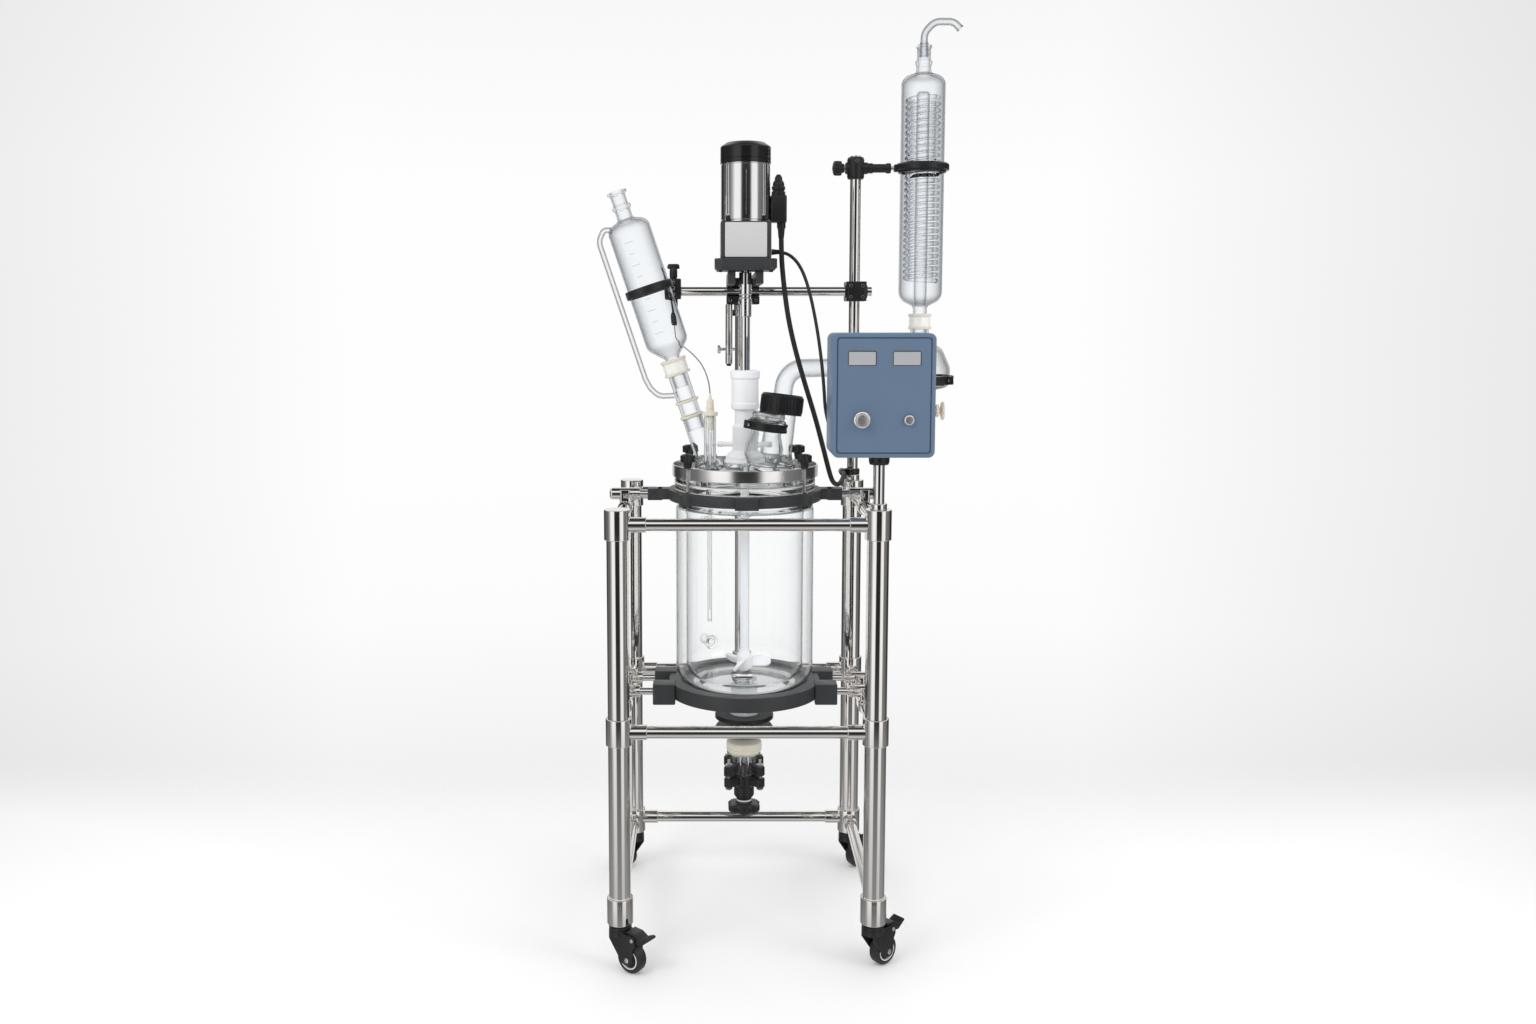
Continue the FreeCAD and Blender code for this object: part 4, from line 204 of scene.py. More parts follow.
# Clear glass: light passes it without a shadow, and its edges darken as the surface turns away; that edge colour is
# painted shade, standing in for the dark edges that refraction and reflection give.
def glass(name, paintedEdgeShade, middle=(0.997, 0.999, 1.0), ior=1.36, blend=0.5, sharp=5.0):
    material, tree, shader = newMaterial(name, middle, Metallic=0.0, Roughness=0.0, IOR=ior)
    shader.inputs["Transmission Weight"].default_value = 1.0
    link = tree.links.new
    place = addNode(tree, "TexCoord").outputs["Object"]
    drawn = placed(tree, mouldedGrain, place, Size=34.0, Cloud=7.0)
    relief = addNode(tree, "Bump", Strength=0.1, Distance=0.00003)
    link(drawn.outputs["Tone"], relief.inputs["Height"])
    link(relief.outputs[0], shader.inputs["Normal"])
    # Painted edge shade: the base colour turns from the middle tint to the edge colour as the surface turns from the
    # view.
    facing = addNode(tree, "LayerWeight", Blend=blend)
    steep = addNode(tree, "Math", operation="POWER")
    steep.inputs[1].default_value = sharp
    link(facing.outputs["Facing"], steep.inputs[0])
    tint = addNode(tree, "Mix", data_type="RGBA")
    tint.inputs[6].default_value = (*middle, 1)
    tint.inputs[7].default_value = (*paintedEdgeShade, 1)
    link(steep.outputs[0], tint.inputs[0])
    link(tint.outputs[2], shader.inputs["Base Color"])
    passing = addNode(tree, "BsdfTransparent")
    passing.inputs[0].default_value = (0.97, 0.98, 0.985, 1)
    ray = addNode(tree, "LightPath")
    either = addNode(tree, "MixShader")
    link(ray.outputs["Is Shadow Ray"], either.inputs[0])
    link(shader.outputs[0], either.inputs[1])
    link(passing.outputs[0], either.inputs[2])
    link(either.outputs[0], tree.nodes["Material Output"].inputs["Surface"])
    return material


finishes = {
    "steel": lambda: metal("steel", (0.88, 0.855, 0.83), (0.05, 0.09), bump=(0.04, 0.00001), shade=0.03),
    "brightSteel": lambda: metal("brightSteel", (0.90, 0.89, 0.88), (0.05, 0.10), bump=(0.04, 0.00001), shade=0.03),
    "satinSteel": lambda: metal("satinSteel", (0.74, 0.73, 0.72), (0.20, 0.32), bump=(0.15, 0.00002)),
    "chrome": lambda: metal("chrome", (0.90, 0.90, 0.90), (0.03, 0.06), bump=(0.03, 0.00001), shade=0.03),
    "motorAlloy": lambda: metal("motorAlloy", (0.86, 0.855, 0.85), (0.09, 0.17), bump=(0.15, 0.00002), around=600.0,
                                along=40.0),
    "gearPlate": lambda: moulded("gearPlate", (0.54, 0.54, 0.54), (0.4, 0.5), size=1200.0, shade=0.04, bump=(0.08, 0.00003)),
    "darkCoat": lambda: moulded("darkCoat", (0.034, 0.036, 0.038), (0.34, 0.5), size=1400.0),
    "gearPaint": lambda: moulded("gearPaint", (0.038, 0.039, 0.042), (0.32, 0.46), size=1200.0),
    "boxPaint": lambda: moulded("boxPaint", (0.106, 0.164, 0.250), (0.34, 0.46), size=1600.0, shade=0.04,
                                bump=(0.15, 0.00005), film=0.02),
    "screen": lambda: moulded("screen", (0.385, 0.39, 0.41), (0.16, 0.24), size=500.0, shade=0.03, bump=(0.02, 0.00002),
                              film=0.0),
    "blackPlastic": lambda: moulded("blackPlastic", (0.012, 0.012, 0.013), (0.28, 0.44)),
    "blackGloss": lambda: moulded("blackGloss", (0.009, 0.009, 0.010), (0.14, 0.26), bump=(0.08, 0.00004)),
    "rubber": lambda: moulded("rubber", (0.016, 0.016, 0.017), (0.42, 0.6), size=700.0),
    "tyre": lambda: moulded("tyre", (0.020, 0.020, 0.021), (0.45, 0.62), size=500.0, film=0.12),
    "paleRim": lambda: moulded("paleRim", (0.62, 0.63, 0.63), (0.3, 0.42), shade=0.04),
    "whitePtfe": lambda: moulded("whitePtfe", (0.90, 0.91, 0.92), (0.34, 0.48), size=300.0, shade=0.02,
                                 bump=(0.08, 0.00005), film=0.0),
    "creamPtfe": lambda: moulded("creamPtfe", (0.70, 0.66, 0.56), (0.3, 0.45), size=300.0, shade=0.06,
                                 Subsurface_Weight=0.25, Subsurface_Scale=0.004),
    "silicone": lambda: moulded("silicone", (0.83, 0.82, 0.78), (0.35, 0.5), size=200.0, shade=0.04,
                                Subsurface_Weight=0.2, Subsurface_Scale=0.004),
    # The first colour of each glass is its painted edge shade.
    "vesselGlass": lambda: glass("vesselGlass", (0.03, 0.09, 0.13), ior=1.25, sharp=4.0),
    "clearGlass": lambda: glass("clearGlass", (0.01, 0.04, 0.06), middle=(0.98, 0.988, 0.992), ior=1.3, sharp=1.6),
    "thinGlass": lambda: glass("thinGlass", (0.0, 0.02, 0.05), middle=(0.955, 0.966, 0.976), ior=1.16, sharp=1.5),
    "tubeGlass": lambda: glass("tubeGlass", (0.0, 0.01, 0.03), middle=(0.97, 0.978, 0.985), ior=1.16, sharp=0.8),
    "coilGlass": lambda: glass("coilGlass", (0.06, 0.09, 0.12), ior=1.08, sharp=1.3),
    "spunSteel": lambda: metal("spunSteel", (0.93, 0.92, 0.91), (0.30, 0.38), shade=0.04),
    "ringSteel": lambda: metal("ringSteel", (0.90, 0.89, 0.88), (0.15, 0.22), shade=0.03),
    "thread": lambda: metal("thread", (0.62, 0.61, 0.59), (0.2, 0.32), along=900.0),
    "mark": lambda: moulded("mark", (0.30, 0.32, 0.34), (0.5, 0.6), film=0.0),
    "lead": lambda: moulded("lead", (0.22, 0.205, 0.185), (0.3, 0.4), film=0.0),
}
made = {}


def finishOf(name):
    if name not in made:
        made[name] = finishes[name]()
    return made[name]


# Shapes: grids of points in millimetres

# A line through corners; a third value rounds a corner with the circle that touches both its sides.
def rounded(corners, closed=True, steps=8):
    spots = [np.array(corner[:2], float) for corner in corners]
    runs = []
    for i, corner in enumerate(corners):
        end = not closed and i in (0, len(spots) - 1)
        if len(corner) == 2 or end or corner[2] == 0:
            runs.append(spots[i][None])
            continue
        here = spots[i]
        back, ahead = spots[i - 1] - here, spots[(i + 1) % len(spots)] - here
        backLength, aheadLength = np.linalg.norm(back), np.linalg.norm(ahead)
        back, ahead = back / backLength, ahead / aheadLength
        half = math.acos(np.clip(back @ ahead, -0.99999, 0.99999)) / 2
        reach = min(corner[2] / math.tan(half), 0.49 * backLength, 0.49 * aheadLength)
        radius = reach * math.tan(half)
        centre = here + (back + ahead) / np.linalg.norm(back + ahead) * radius / math.sin(half)
        first, last = here + back * reach - centre, here + ahead * reach - centre
        sweep = math.pi - 2 * half
        across = (last - first * math.cos(sweep)) / math.sin(sweep)
        turn = np.linspace(0, sweep, max(3, math.ceil(steps * sweep / 1.57) + 1))[:, None]
        runs.append(centre + first * np.cos(turn) + across * np.sin(turn))
    return np.concatenate(runs)


# Joins the rows of a closed-round grid into faces. A row shrunk to a point is a pole; the map's u runs round
# the widest row and v along the rows, both in millimetres.
def skin(grid, finish, loop=True, caps=False, flip=False):
    rows, columns = grid.shape[:2]
    index = np.arange(rows * columns).reshape(rows, columns)
    pole = np.ptp(grid, axis=1).max(axis=1) < 1e-6
    index[pole] = index[pole][:, :1]
    below = np.arange(rows if loop else rows - 1)
    above = (below + 1) % rows
    keep = ~(pole[below] & pole[above])
    below, above = below[keep], above[keep]
    stepAlong = np.linalg.norm(np.roll(grid, -1, axis=0) - grid, axis=2).mean(axis=1)
    along = np.concatenate([[0], np.cumsum(stepAlong)])
    width = np.linalg.norm(np.roll(grid, -1, axis=1) - grid, axis=2).sum(axis=1).max() / columns
    column = np.arange(columns)
    nextColumn = (column + 1) % columns
    quads = np.stack([index[below][:, column], index[below][:, nextColumn],
                      index[above][:, nextColumn], index[above][:, column]], -1)
    u = np.broadcast_to(column * width, (len(below), columns))
    low = np.broadcast_to(along[below][:, None], u.shape)
    high = np.broadcast_to(along[below + 1][:, None], u.shape)
    maps = np.stack([np.stack([u, low], -1), np.stack([u + width, low], -1),
                     np.stack([u + width, high], -1), np.stack([u, high], -1)], 2)
    faces = []
    for chosen, corners in ((~(pole[below] | pole[above]), [0, 1, 2, 3]), (pole[below], [0, 2, 3]),
                            (pole[above], [0, 1, 2])):
        if chosen.any():
            order = corners[::-1] if flip else corners
            faces.append((quads[chosen][..., order].reshape(-1, len(order)),
                          maps[chosen][..., order, :].reshape(-1, len(order), 2)))
    if caps:
        for row, order in ((0, -1), (rows - 1, 1)):
            order = -order if flip else order
            faces.append((index[row][None, ::order], grid[row][None, ::order, :2]))
    return {"points": grid.reshape(-1, 3), "faces": faces, "finish": finish}


# The profile (radius, height) carried round Z: each point becomes (r cos a, r sin a, z). lobes scales r by angle.
def turned(profile, finish, around=72, cavity=False, steps=8, lobes=None):
    line = rounded(profile, steps=steps)
    following = np.roll(line, -1, axis=0)
    if (line[:, 0] * following[:, 1] - following[:, 0] * line[:, 1]).sum() < 0:
        line = line[::-1]
    angle = np.arange(around) * 2 * np.pi / around
    scale = np.ones(around) if lobes is None else lobes(angle)
    radius = line[:, :1] * scale
    height = np.broadcast_to(line[:, 1:], radius.shape)
    return skin(np.stack([radius * np.cos(angle), radius * np.sin(angle), height], -1), finish, flip=cavity)


def rod(radius, length, finish, ease=0.8, around=48, bore=0):
    ease = min(ease, radius * 0.4, length * 0.4)
    return turned([(bore, 0), (radius, 0, ease), (radius, length, ease), (bore, length)], finish, around, steps=4)


# A screw thread: radius less depth times a triangle wave of z / pitch - angle / turn, on a grid of z and angle.
def thread(radius, length, pitch, depth, finish, around=20, perTurn=6):
    z = np.linspace(0, length, int(length / pitch * perTurn) + 1)[:, None]
    angle = np.arange(around) * 2 * np.pi / around
    wave = np.abs(2 * np.mod(z / pitch - angle / (2 * np.pi), 1) - 1)
    r = radius - depth * wave
    grid = np.stack([r * np.cos(angle), r * np.sin(angle), np.broadcast_to(z, r.shape)], -1)
    ends = [np.broadcast_to([0, 0, level], (1, around, 3)) for level in (0.0, length)]
    return skin(np.concatenate([ends[0], grid, ends[1]]), finish, loop=False)


# A circle carried along a route; it turns as little as the route allows, from a side that starts square to it.
def tube(route, radius, finish, bore=0, side=(0, 1, 0), around=24):
    route = np.asarray(route, float)
    ahead = np.gradient(route, axis=0)
    ahead /= np.linalg.norm(ahead, axis=1)[:, None]
    side = np.asarray(side, float)
    across = side - (ahead @ side)[:, None] * ahead
    across /= np.linalg.norm(across, axis=1)[:, None]
    up = np.cross(across, ahead)
    angle = np.arange(around) * 2 * np.pi / around
    ring = np.cos(angle)[None, :, None] * up[:, None] + np.sin(angle)[None, :, None] * across[:, None]
    size = np.broadcast_to(np.asarray(radius, float), len(route))[:, None, None]
    outside = route[:, None] + ring * size
    if bore:
        inside = route[:, None] + ring * np.broadcast_to(np.asarray(bore, float), len(route))[:, None, None]
        return skin(np.concatenate([outside, inside[::-1]]), finish)
    first, last = (np.broadcast_to(route[end], (1, around, 3)) for end in (0, -1))
    return skin(np.concatenate([first, outside, last]), finish, loop=False)


# A route in space with its corners rounded by arcs of one radius.
def bent(corners, radius, steps=9):
    marks = np.array(corners, float)
    runs = [marks[:1]]
    for before, here, after in zip(marks, marks[1:], marks[2:]):
        back, ahead = before - here, after - here
        backLength, aheadLength = np.linalg.norm(back), np.linalg.norm(ahead)
        back, ahead = back / backLength, ahead / aheadLength
        half = math.acos(np.clip(back @ ahead, -1, 1)) / 2
        if half > 1.55:
            continue
        reach = min(radius / math.tan(half), 0.46 * backLength, 0.46 * aheadLength)
        size = reach * math.tan(half)
        centre = here + (back + ahead) / np.linalg.norm(back + ahead) * size / math.sin(half)
        first, last = here + back * reach - centre, here + ahead * reach - centre
        sweep = math.pi - 2 * half
        across = (last - first * math.cos(sweep)) / math.sin(sweep)
        turn = np.linspace(0, sweep, max(3, math.ceil(steps * sweep / 1.57) + 1))[:, None]
        runs.append(centre + first * np.cos(turn) + across * np.sin(turn))
    return np.concatenate(runs + [marks[-1:]])


# An outline of (x, y) corners carried through rows of (inset, height), with a flat face at each end.
def stack(corners, rows, finish, steps=8):
    line = rounded(corners, steps=steps) if isinstance(corners, list) else corners
    following = np.roll(line, -1, axis=0)
    if (line[:, 0] * following[:, 1] - following[:, 0] * line[:, 1]).sum() < 0:
        line = line[::-1]
    before, after = line - np.roll(line, 1, axis=0), np.roll(line, -1, axis=0) - line
    before /= np.linalg.norm(before, axis=1)[:, None]
    after /= np.linalg.norm(after, axis=1)[:, None]
    outward = np.stack([before[:, 1] + after[:, 1], -before[:, 0] - after[:, 0]], -1)
    outward /= np.clip(1 + (before * after).sum(axis=1), 0.3, 2)[:, None]
    grid = np.stack([np.concatenate([line - outward * inset, np.full((len(line), 1), height)], 1)
                     for inset, height in rows])
    return skin(grid, finish, loop=False, caps=True)


def slab(corners, thick, finish, ease=1.0, steps=8):
    bend = np.linspace(0, np.pi / 2, 4)
    low = [(ease * (1 - math.sin(turn)), ease * (1 - math.cos(turn))) for turn in bend]
    high = [(inset, thick - height) for inset, height in reversed(low)]
    return stack(corners, low + high, finish, steps)


def rectangle(width, depth, corner):
    x, y = width / 2, depth / 2
    return [(-x, -y, corner), (x, -y, corner), (x, y, corner), (-x, y, corner)]


def block(width, depth, height, finish, corner=1.5, ease=1.0):
    return slab(rectangle(width, depth, corner), height, finish, ease)


# A plate whose outer and inner radius are functions of the angle, from low to high, with its outer rims eased.
def plate(outer, inner, low, high, finish, ease=1.5, around=720):
    angle = np.arange(around) * 2 * np.pi / around
    outside = np.broadcast_to(outer(angle) if callable(outer) else outer, around)
    inside = np.broadcast_to(inner(angle) if callable(inner) else inner, around)
    bend = np.linspace(0, np.pi / 2, 4)
    rows = [(inside + ease * 0.6, low)]
    rows += [(outside - ease * (1 - np.sin(turn)), low + ease * (1 - np.cos(turn))) for turn in bend]
    rows += [(outside - ease * (1 - np.sin(turn)), high - ease * (1 - np.cos(turn))) for turn in bend[::-1]]
    rows += [(inside + ease * 0.6, high), (inside, high - ease * 0.6), (inside, low + ease * 0.6)]
    grid = np.stack([np.stack([r * np.cos(angle), r * np.sin(angle), np.full(around, z)], -1) for r, z in rows])
    return skin(grid, finish)


# Turns a shape about an axis by degrees, then moves it.
def put(shape, x=0, y=0, z=0, axis=(0, 0, 1), turn=0):
    spin = np.array(Matrix.Rotation(math.radians(turn), 3, Vector(axis)))
    return dict(shape, points=shape["points"] @ spin.T + np.array([x, y, z], float))


ways = {"x": ((0, 1, 0), 90), "-x": ((0, 1, 0), -90), "y": ((1, 0, 0), -90), "-y": ((1, 0, 0), 90),
        "-z": ((1, 0, 0), 180), "z": ((0, 0, 1), 0)}


def aim(shape, x, y, z, way):
    return put(shape, x, y, z, *ways[way])


# A socket-head screw: a knurled head with a hexagonal recess, its seat at z = 0.
def capScrew(x, y, z, way="z", size=4.0, finish="chrome"):
    knurl = lambda angle: 1 + 0.015 * np.cos(angle * 24)
    hexagon = lambda angle: 0.52 / np.cos(np.mod(angle, np.pi / 3) - np.pi / 6)
    head = turned([(size * 0.5, 0), (size, 0), (size, size * 0.9, size * 0.15), (size * 0.56, size * 0.9)], finish, 48,
                  lobes=knurl)
    floor = turned([(0, 0), (size * 1.1, 0), (size * 1.1, size * 0.35), (0, size * 0.35)], "blackPlastic", 24,
                   lobes=hexagon)
    return [aim(head, x, y, z, way), aim(floor, x, y, z, way)]


# One mesh from several shapes: a material for each finish, and a map that follows the surface.
def meshOf(name, shapes):
    names = list(dict.fromkeys(shape["finish"] for shape in shapes))
    points, lists, maps, marks, base = [], [], [], [], 0
    for shape in shapes:
        points.append(shape["points"])
        for faces, flat in shape["faces"]:
            lists.append(faces + base)
            maps.append(flat.reshape(-1, 2))
            marks.append(np.full(len(faces), names.index(shape["finish"])))
        base += len(shape["points"])
    used, again = np.unique(np.concatenate([faces.ravel() for faces in lists]), return_inverse=True)
    cuts = np.cumsum([faces.size for faces in lists])[:-1]
    lists = [part.reshape(faces.shape).tolist() for part, faces in zip(np.split(again.ravel(), cuts), lists)]
    mesh = bpy.data.meshes.new(name)
    mesh.from_pydata((np.concatenate(points)[used] * mm).tolist(), [], sum(lists, []))
    for finish in names:
        mesh.materials.append(finishOf(finish))
    mesh.polygons.foreach_set("material_index", np.concatenate(marks).astype(np.int32))
    layer = mesh.uv_layers.new(name="surface")
    layer.data.foreach_set("uv", (np.concatenate(maps) * mm).ravel().astype(np.float32))
    smooth(mesh)
    return mesh


def smooth(mesh):
    mesh.polygons.foreach_set("use_smooth", np.ones(len(mesh.polygons), bool))
    mesh.set_sharp_from_angle(angle=math.radians(36))
    mesh.update()


def flat(shapes):
    return sum(([shape] if isinstance(shape, dict) else flat(shape) for shape in shapes), [])


def settle(thing, body, standsFor):
    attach(thing, body)
    if standsFor:
        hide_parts(*([standsFor] if isinstance(standsFor, str) else standsFor))
    return thing


def piece(name, body, shapes, standsFor=None):
    thing = bpy.data.objects.new(name, meshOf(name, flat(shapes)))
    bpy.context.scene.collection.objects.link(thing)
    return settle(thing, body, standsFor)


# The first shape with the added ones fused on and the cut ones taken away, as one skin.
def carved(name, base, added=(), cut=()):
    thing = bpy.data.objects.new(name, meshOf(name, [base]))
    bpy.context.scene.collection.objects.link(thing)
    tools = []
    for operation, shapes in (("UNION", flat(added)), ("DIFFERENCE", flat(cut))):
        for shape in shapes:
            tool = bpy.data.objects.new("tool", meshOf("tool", [shape]))
            bpy.context.scene.collection.objects.link(tool)
            tools.append(tool)
            step = thing.modifiers.new("step", "BOOLEAN")
            step.operation, step.solver, step.object = operation, "MANIFOLD", tool
    graph = bpy.context.evaluated_depsgraph_get()
    mesh = bpy.data.meshes.new_from_object(thing.evaluated_get(graph))
    thing.modifiers.clear()
    thing.data = mesh
    for tool in tools:
        bpy.data.objects.remove(tool)
    smooth(mesh)
    return thing


# The farthest reach of several outlines from the centre at each angle, with soft inner corners (a power mean).
def softUnion(angle, reaches, power=60):
    return (np.stack(reaches) ** power).sum(axis=0) ** (1 / power)


# How far a ray from the centre runs before it leaves a round boss, or the end or sides of a straight arm.
def bossReach(angle, place, away, radius):
    turn = angle - place
    inside = radius ** 2 - (away * np.sin(turn)) ** 2
    hits = (inside > 0) & (np.cos(turn) > 0)
    return np.where(hits, away * np.cos(turn) + np.sqrt(np.maximum(inside, 0)), 1.0)


def armReach(angle, place, length, halfWidth):
    turn = angle - place
    ahead = np.maximum(np.cos(turn), 1e-6)
    aside = np.maximum(np.abs(np.sin(turn)), 1e-6)
    return np.where(np.cos(turn) > 0, np.minimum(length / ahead, halfWidth / aside), 1.0)


# Frame, castors and rings

legLow, legHigh = boxOf("frame_legs")
tubes = {"leg": 25, "legWall": 3, "rail": 14, "collar": 30, "socket": 17.25, "socketReach": 64, "ease": 1.4}
legX, legY = legHigh[0] - tubes["leg"], legHigh[1] - tubes["leg"]
corners = [(side * legX, end * legY, side, end) for side in (-1, 1) for end in (-1, 1)]
levels = {"foot": (109, 61, 146), "mid": (528, 62, 556), "top": (997, 68, 1030)}


def legTubes():
    length = legHigh[2] - legLow[2]
    bore = tubes["leg"] - tubes["legWall"]
    return [put(rod(tubes["leg"], length, "steel", around=72, bore=bore), x, y, legLow[2])
            for x, y, side, end in corners]


def socketArm(x, y, z, way):
    mouth = tubes["socketReach"]
    inner = tubes["rail"] + 0.05
    arm = turned([(0, 18), (tubes["socket"], 18), (tubes["socket"], mouth, 1.5), (inner, mouth, 0.6), (inner, 42),
                  (0, 42)], "steel", 64)
    return aim(arm, x, y, z, way)


def teeCollars():
    shapes = []
    for x, y, side, end in corners:
        for level, (foot, height, rail) in levels.items():
            bore, head = tubes["leg"] + 0.05, foot + height
            profile = [(bore, foot), (tubes["collar"], foot, tubes["ease"]), (tubes["collar"], head, tubes["ease"])]
            profile += [(0, head), (0, legHigh[2]), (bore, legHigh[2])] if level == "top" else [(bore, head)]
            shapes.append(put(turned(profile, "steel", 80), x, y))
            if level != "foot" or end > 0:
                shapes.append(socketArm(x, y, rail, "x" if side < 0 else "-x"))
            shapes.append(socketArm(x, y, rail, "y" if end < 0 else "-y"))
            shapes += setScrew(x - side * 21.2, y - end * 21.2, head - 13, math.degrees(math.atan2(-end, -side)))
            if level == "foot":
                shapes += setScrew(x, y - tubes["collar"] * 1.0, head - 13, -90)
    return shapes + columnFittings()


# A grub screw set flush in a round wall: a dark hexagon in a small bright ring, facing a direction in the plane.
def setScrew(x, y, z, facing, size=3.4):
    hexagon = lambda angle: 1 / np.cos(np.mod(angle, np.pi / 3) - np.pi / 6)
    ring = rod(size, 2.4, "brightSteel", 0.4, 24)
    key = turned([(0, 2.2), (size * 0.46, 2.2), (size * 0.46, 2.6), (0, 2.6)], "blackPlastic", 24, lobes=hexagon)
    x, y = x - math.cos(math.radians(facing)) * 2, y - math.sin(math.radians(facing)) * 2
    return [put(put(shape, axis=(0, 1, 0), turn=90), x, y, z, turn=facing) for shape in (ring, key)]


columnPlace = {"y": 270, "radius": 20, "foot": 570.2, "cross": 1030, "crossHeight": 60}


def columnFittings():
    y, radius = columnPlace["y"], columnPlace["radius"] + 6
    foot = levels["mid"][2]
    cup = turned([(0, foot - 12), (radius, foot - 12, 3), (radius, foot + 48, 1.4), (20.05, foot + 48), (20.05, foot + 14),
                  (0, foot + 14)], "steel", 72)
    sleeve = rod(tubes["socket"], 50, "steel", 1.4, 64, bore=tubes["rail"] + 0.05)
    cross = turned([(20.05, 1000), (radius, 1000, 1.4), (radius, 1060, 1.4), (20.05, 1060)], "steel", 72)
    arms = [aim(turned([(0, 20), (17.25, 20), (17.25, 64, 1.5), (14.05, 64), (14.05, 42), (0, 42)], "steel", 64),
                0, y, 1030, way) for way in ("x", "-x")]
    return [put(cup, 0, y), aim(sleeve, -25, y, foot, "x"), put(cross, 0, y), *arms]


def rails():
    shapes = []
    back = tubes["socketReach"] - 21.9
    for level, (foot, height, z) in levels.items():
        for end in (-1, 1):
            if level == "foot" and end < 0:
                continue
            if level == "top" and end > 0:
                half = legX - 2 * back
                shapes += [aim(rod(tubes["rail"], half, "steel", 0.6, 56), back, legY, z, "x"),
                           aim(rod(tubes["rail"], half, "steel", 0.6, 56), -back, legY, z, "-x")]
                continue
            shapes.append(aim(rod(tubes["rail"], 2 * (legX - back), "steel", 0.6, 56), back - legX, end * legY, z, "x"))
        for side in (-1, 1):
            rail = rod(tubes["rail"], 2 * (legY - back), "steel", 0.6, 56)
            shapes.append(aim(rail, side * legX, back - legY, z, "y"))
    return shapes


clampSizes = {"saddle": 18, "length": 38, "socket": 14.5, "out": 23, "rise": 34, "stub": 9}


def ringClamps():
    size, shapes = clampSizes, []
    places = [(side, 0, levels["top"][2], 217.1) for side in (-1, 1)]
    places += [(side, end * 60, levels["mid"][2], 204.1) for side in (-1, 1) for end in (-1, 1)]
    for side, y, rail, reach in places:
        x, outer = side * legX, side * (legX + size["out"])
        inward = "x" if side < 0 else "-x"
        length = size["length"]
        saddle = rod(size["saddle"], length, "steel", 1.2, 64, bore=14.05)
        neck = block(2 * size["socket"] - 3, length * 0.8, size["rise"], "steel", 5, 1)
        cap = turned([(0, -size["socket"]), (size["socket"], -size["socket"], size["socket"] - 0.5),
                      (size["socket"], 60, 1.5), (0, 60)], "steel", 64, steps=12)
        bore = rod(size["stub"], legX + size["out"] - reach, "brightSteel", 0.6, 40)
        shapes += [aim(saddle, x, y - length / 2, rail, "y"), put(neck, x, y, rail + 10),
                   aim(cap, outer, y, rail + size["rise"], inward), aim(bore, outer, y, rail + size["rise"], inward)]
        shapes += setScrew(outer - side * 30, y - 13.2, rail + size["rise"], -90)
    return shapes


castorTurns = {"front_left": (-1, -1, -35), "front_right": (1, -1, 40), "rear_left": (-1, 1, 140),
               "rear_right": (1, 1, 38)}
castor = {"wheel": 34, "width": 28, "rim": 23, "trail": 34, "roof": 103, "floor": 82, "fork": 26, "cheek": 4,
          "gap": 2, "pivotReach": 48, "pivotHeight": 84}


def onCastor(shapes, corner):
    side, end, turn = castorTurns[corner]
    return [put(shape, side * legX, end * legY, 0, (0, 0, 1), turn) for shape in flat(shapes)]


def forkShapes():
    size = castor
    roof, floor, trail = size["roof"], size["floor"], size["trail"]
    housing = turned([(7.05, floor), (26, floor, 1.5), (26, roof - 9, 1), (24, roof - 8), (24, roof - 5), (26, roof - 4, 0.5),
                      (26, roof, 1.5), (7.05, roof)], "blackPlastic", 72)
    outline = [(-18, roof - 6, 3), (-18, floor - 8, 8), (trail - 13, size["wheel"] - 12, 11),
               (trail + 13, size["wheel"] - 12, 11), (trail + 17, 62, 12), (56, 72, 7), (56, 92, 7), (20, roof - 10, 5),
               (16, roof - 6, 2)]
    shapes = [housing]
    for side in (-1, 1):
        y = side * (size["width"] / 2 + size["gap"] + size["cheek"] / 2)
        cheek = slab(outline, size["cheek"], "blackPlastic", 1.1)
        shapes.append(put(cheek, 0, y + size["cheek"] / 2, 0, (1, 0, 0), 90))
        way = "y" if side > 0 else "-y"
        shapes.append(aim(capNut(), trail, y + side * 1.6, size["wheel"], way))
        shapes.append(aim(turned([(0, 0), (4.4, 0), (4.4, 2.2, 1.6), (0, 2.2)], "brightSteel", 28), size["pivotReach"],
                          y + side * 1.6, size["pivotHeight"], way))
    span = size["width"] + 12
    shapes.append(aim(rod(4, span, "brightSteel", 0.4, 28), trail, -span / 2, size["wheel"], "y"))
    shapes.append(aim(rod(3, span, "brightSteel", 0.4, 24), size["pivotReach"], -span / 2, size["pivotHeight"], "y"))
    return shapes


def capNut():
    hexagon = lambda angle: 1 / np.cos(np.mod(angle, np.pi / 3) - np.pi / 6)
    return turned([(0, 0), (5.6, 0), (5.6, 2.4, 0.6), (0, 3.2)], "brightSteel", 48, lobes=hexagon)


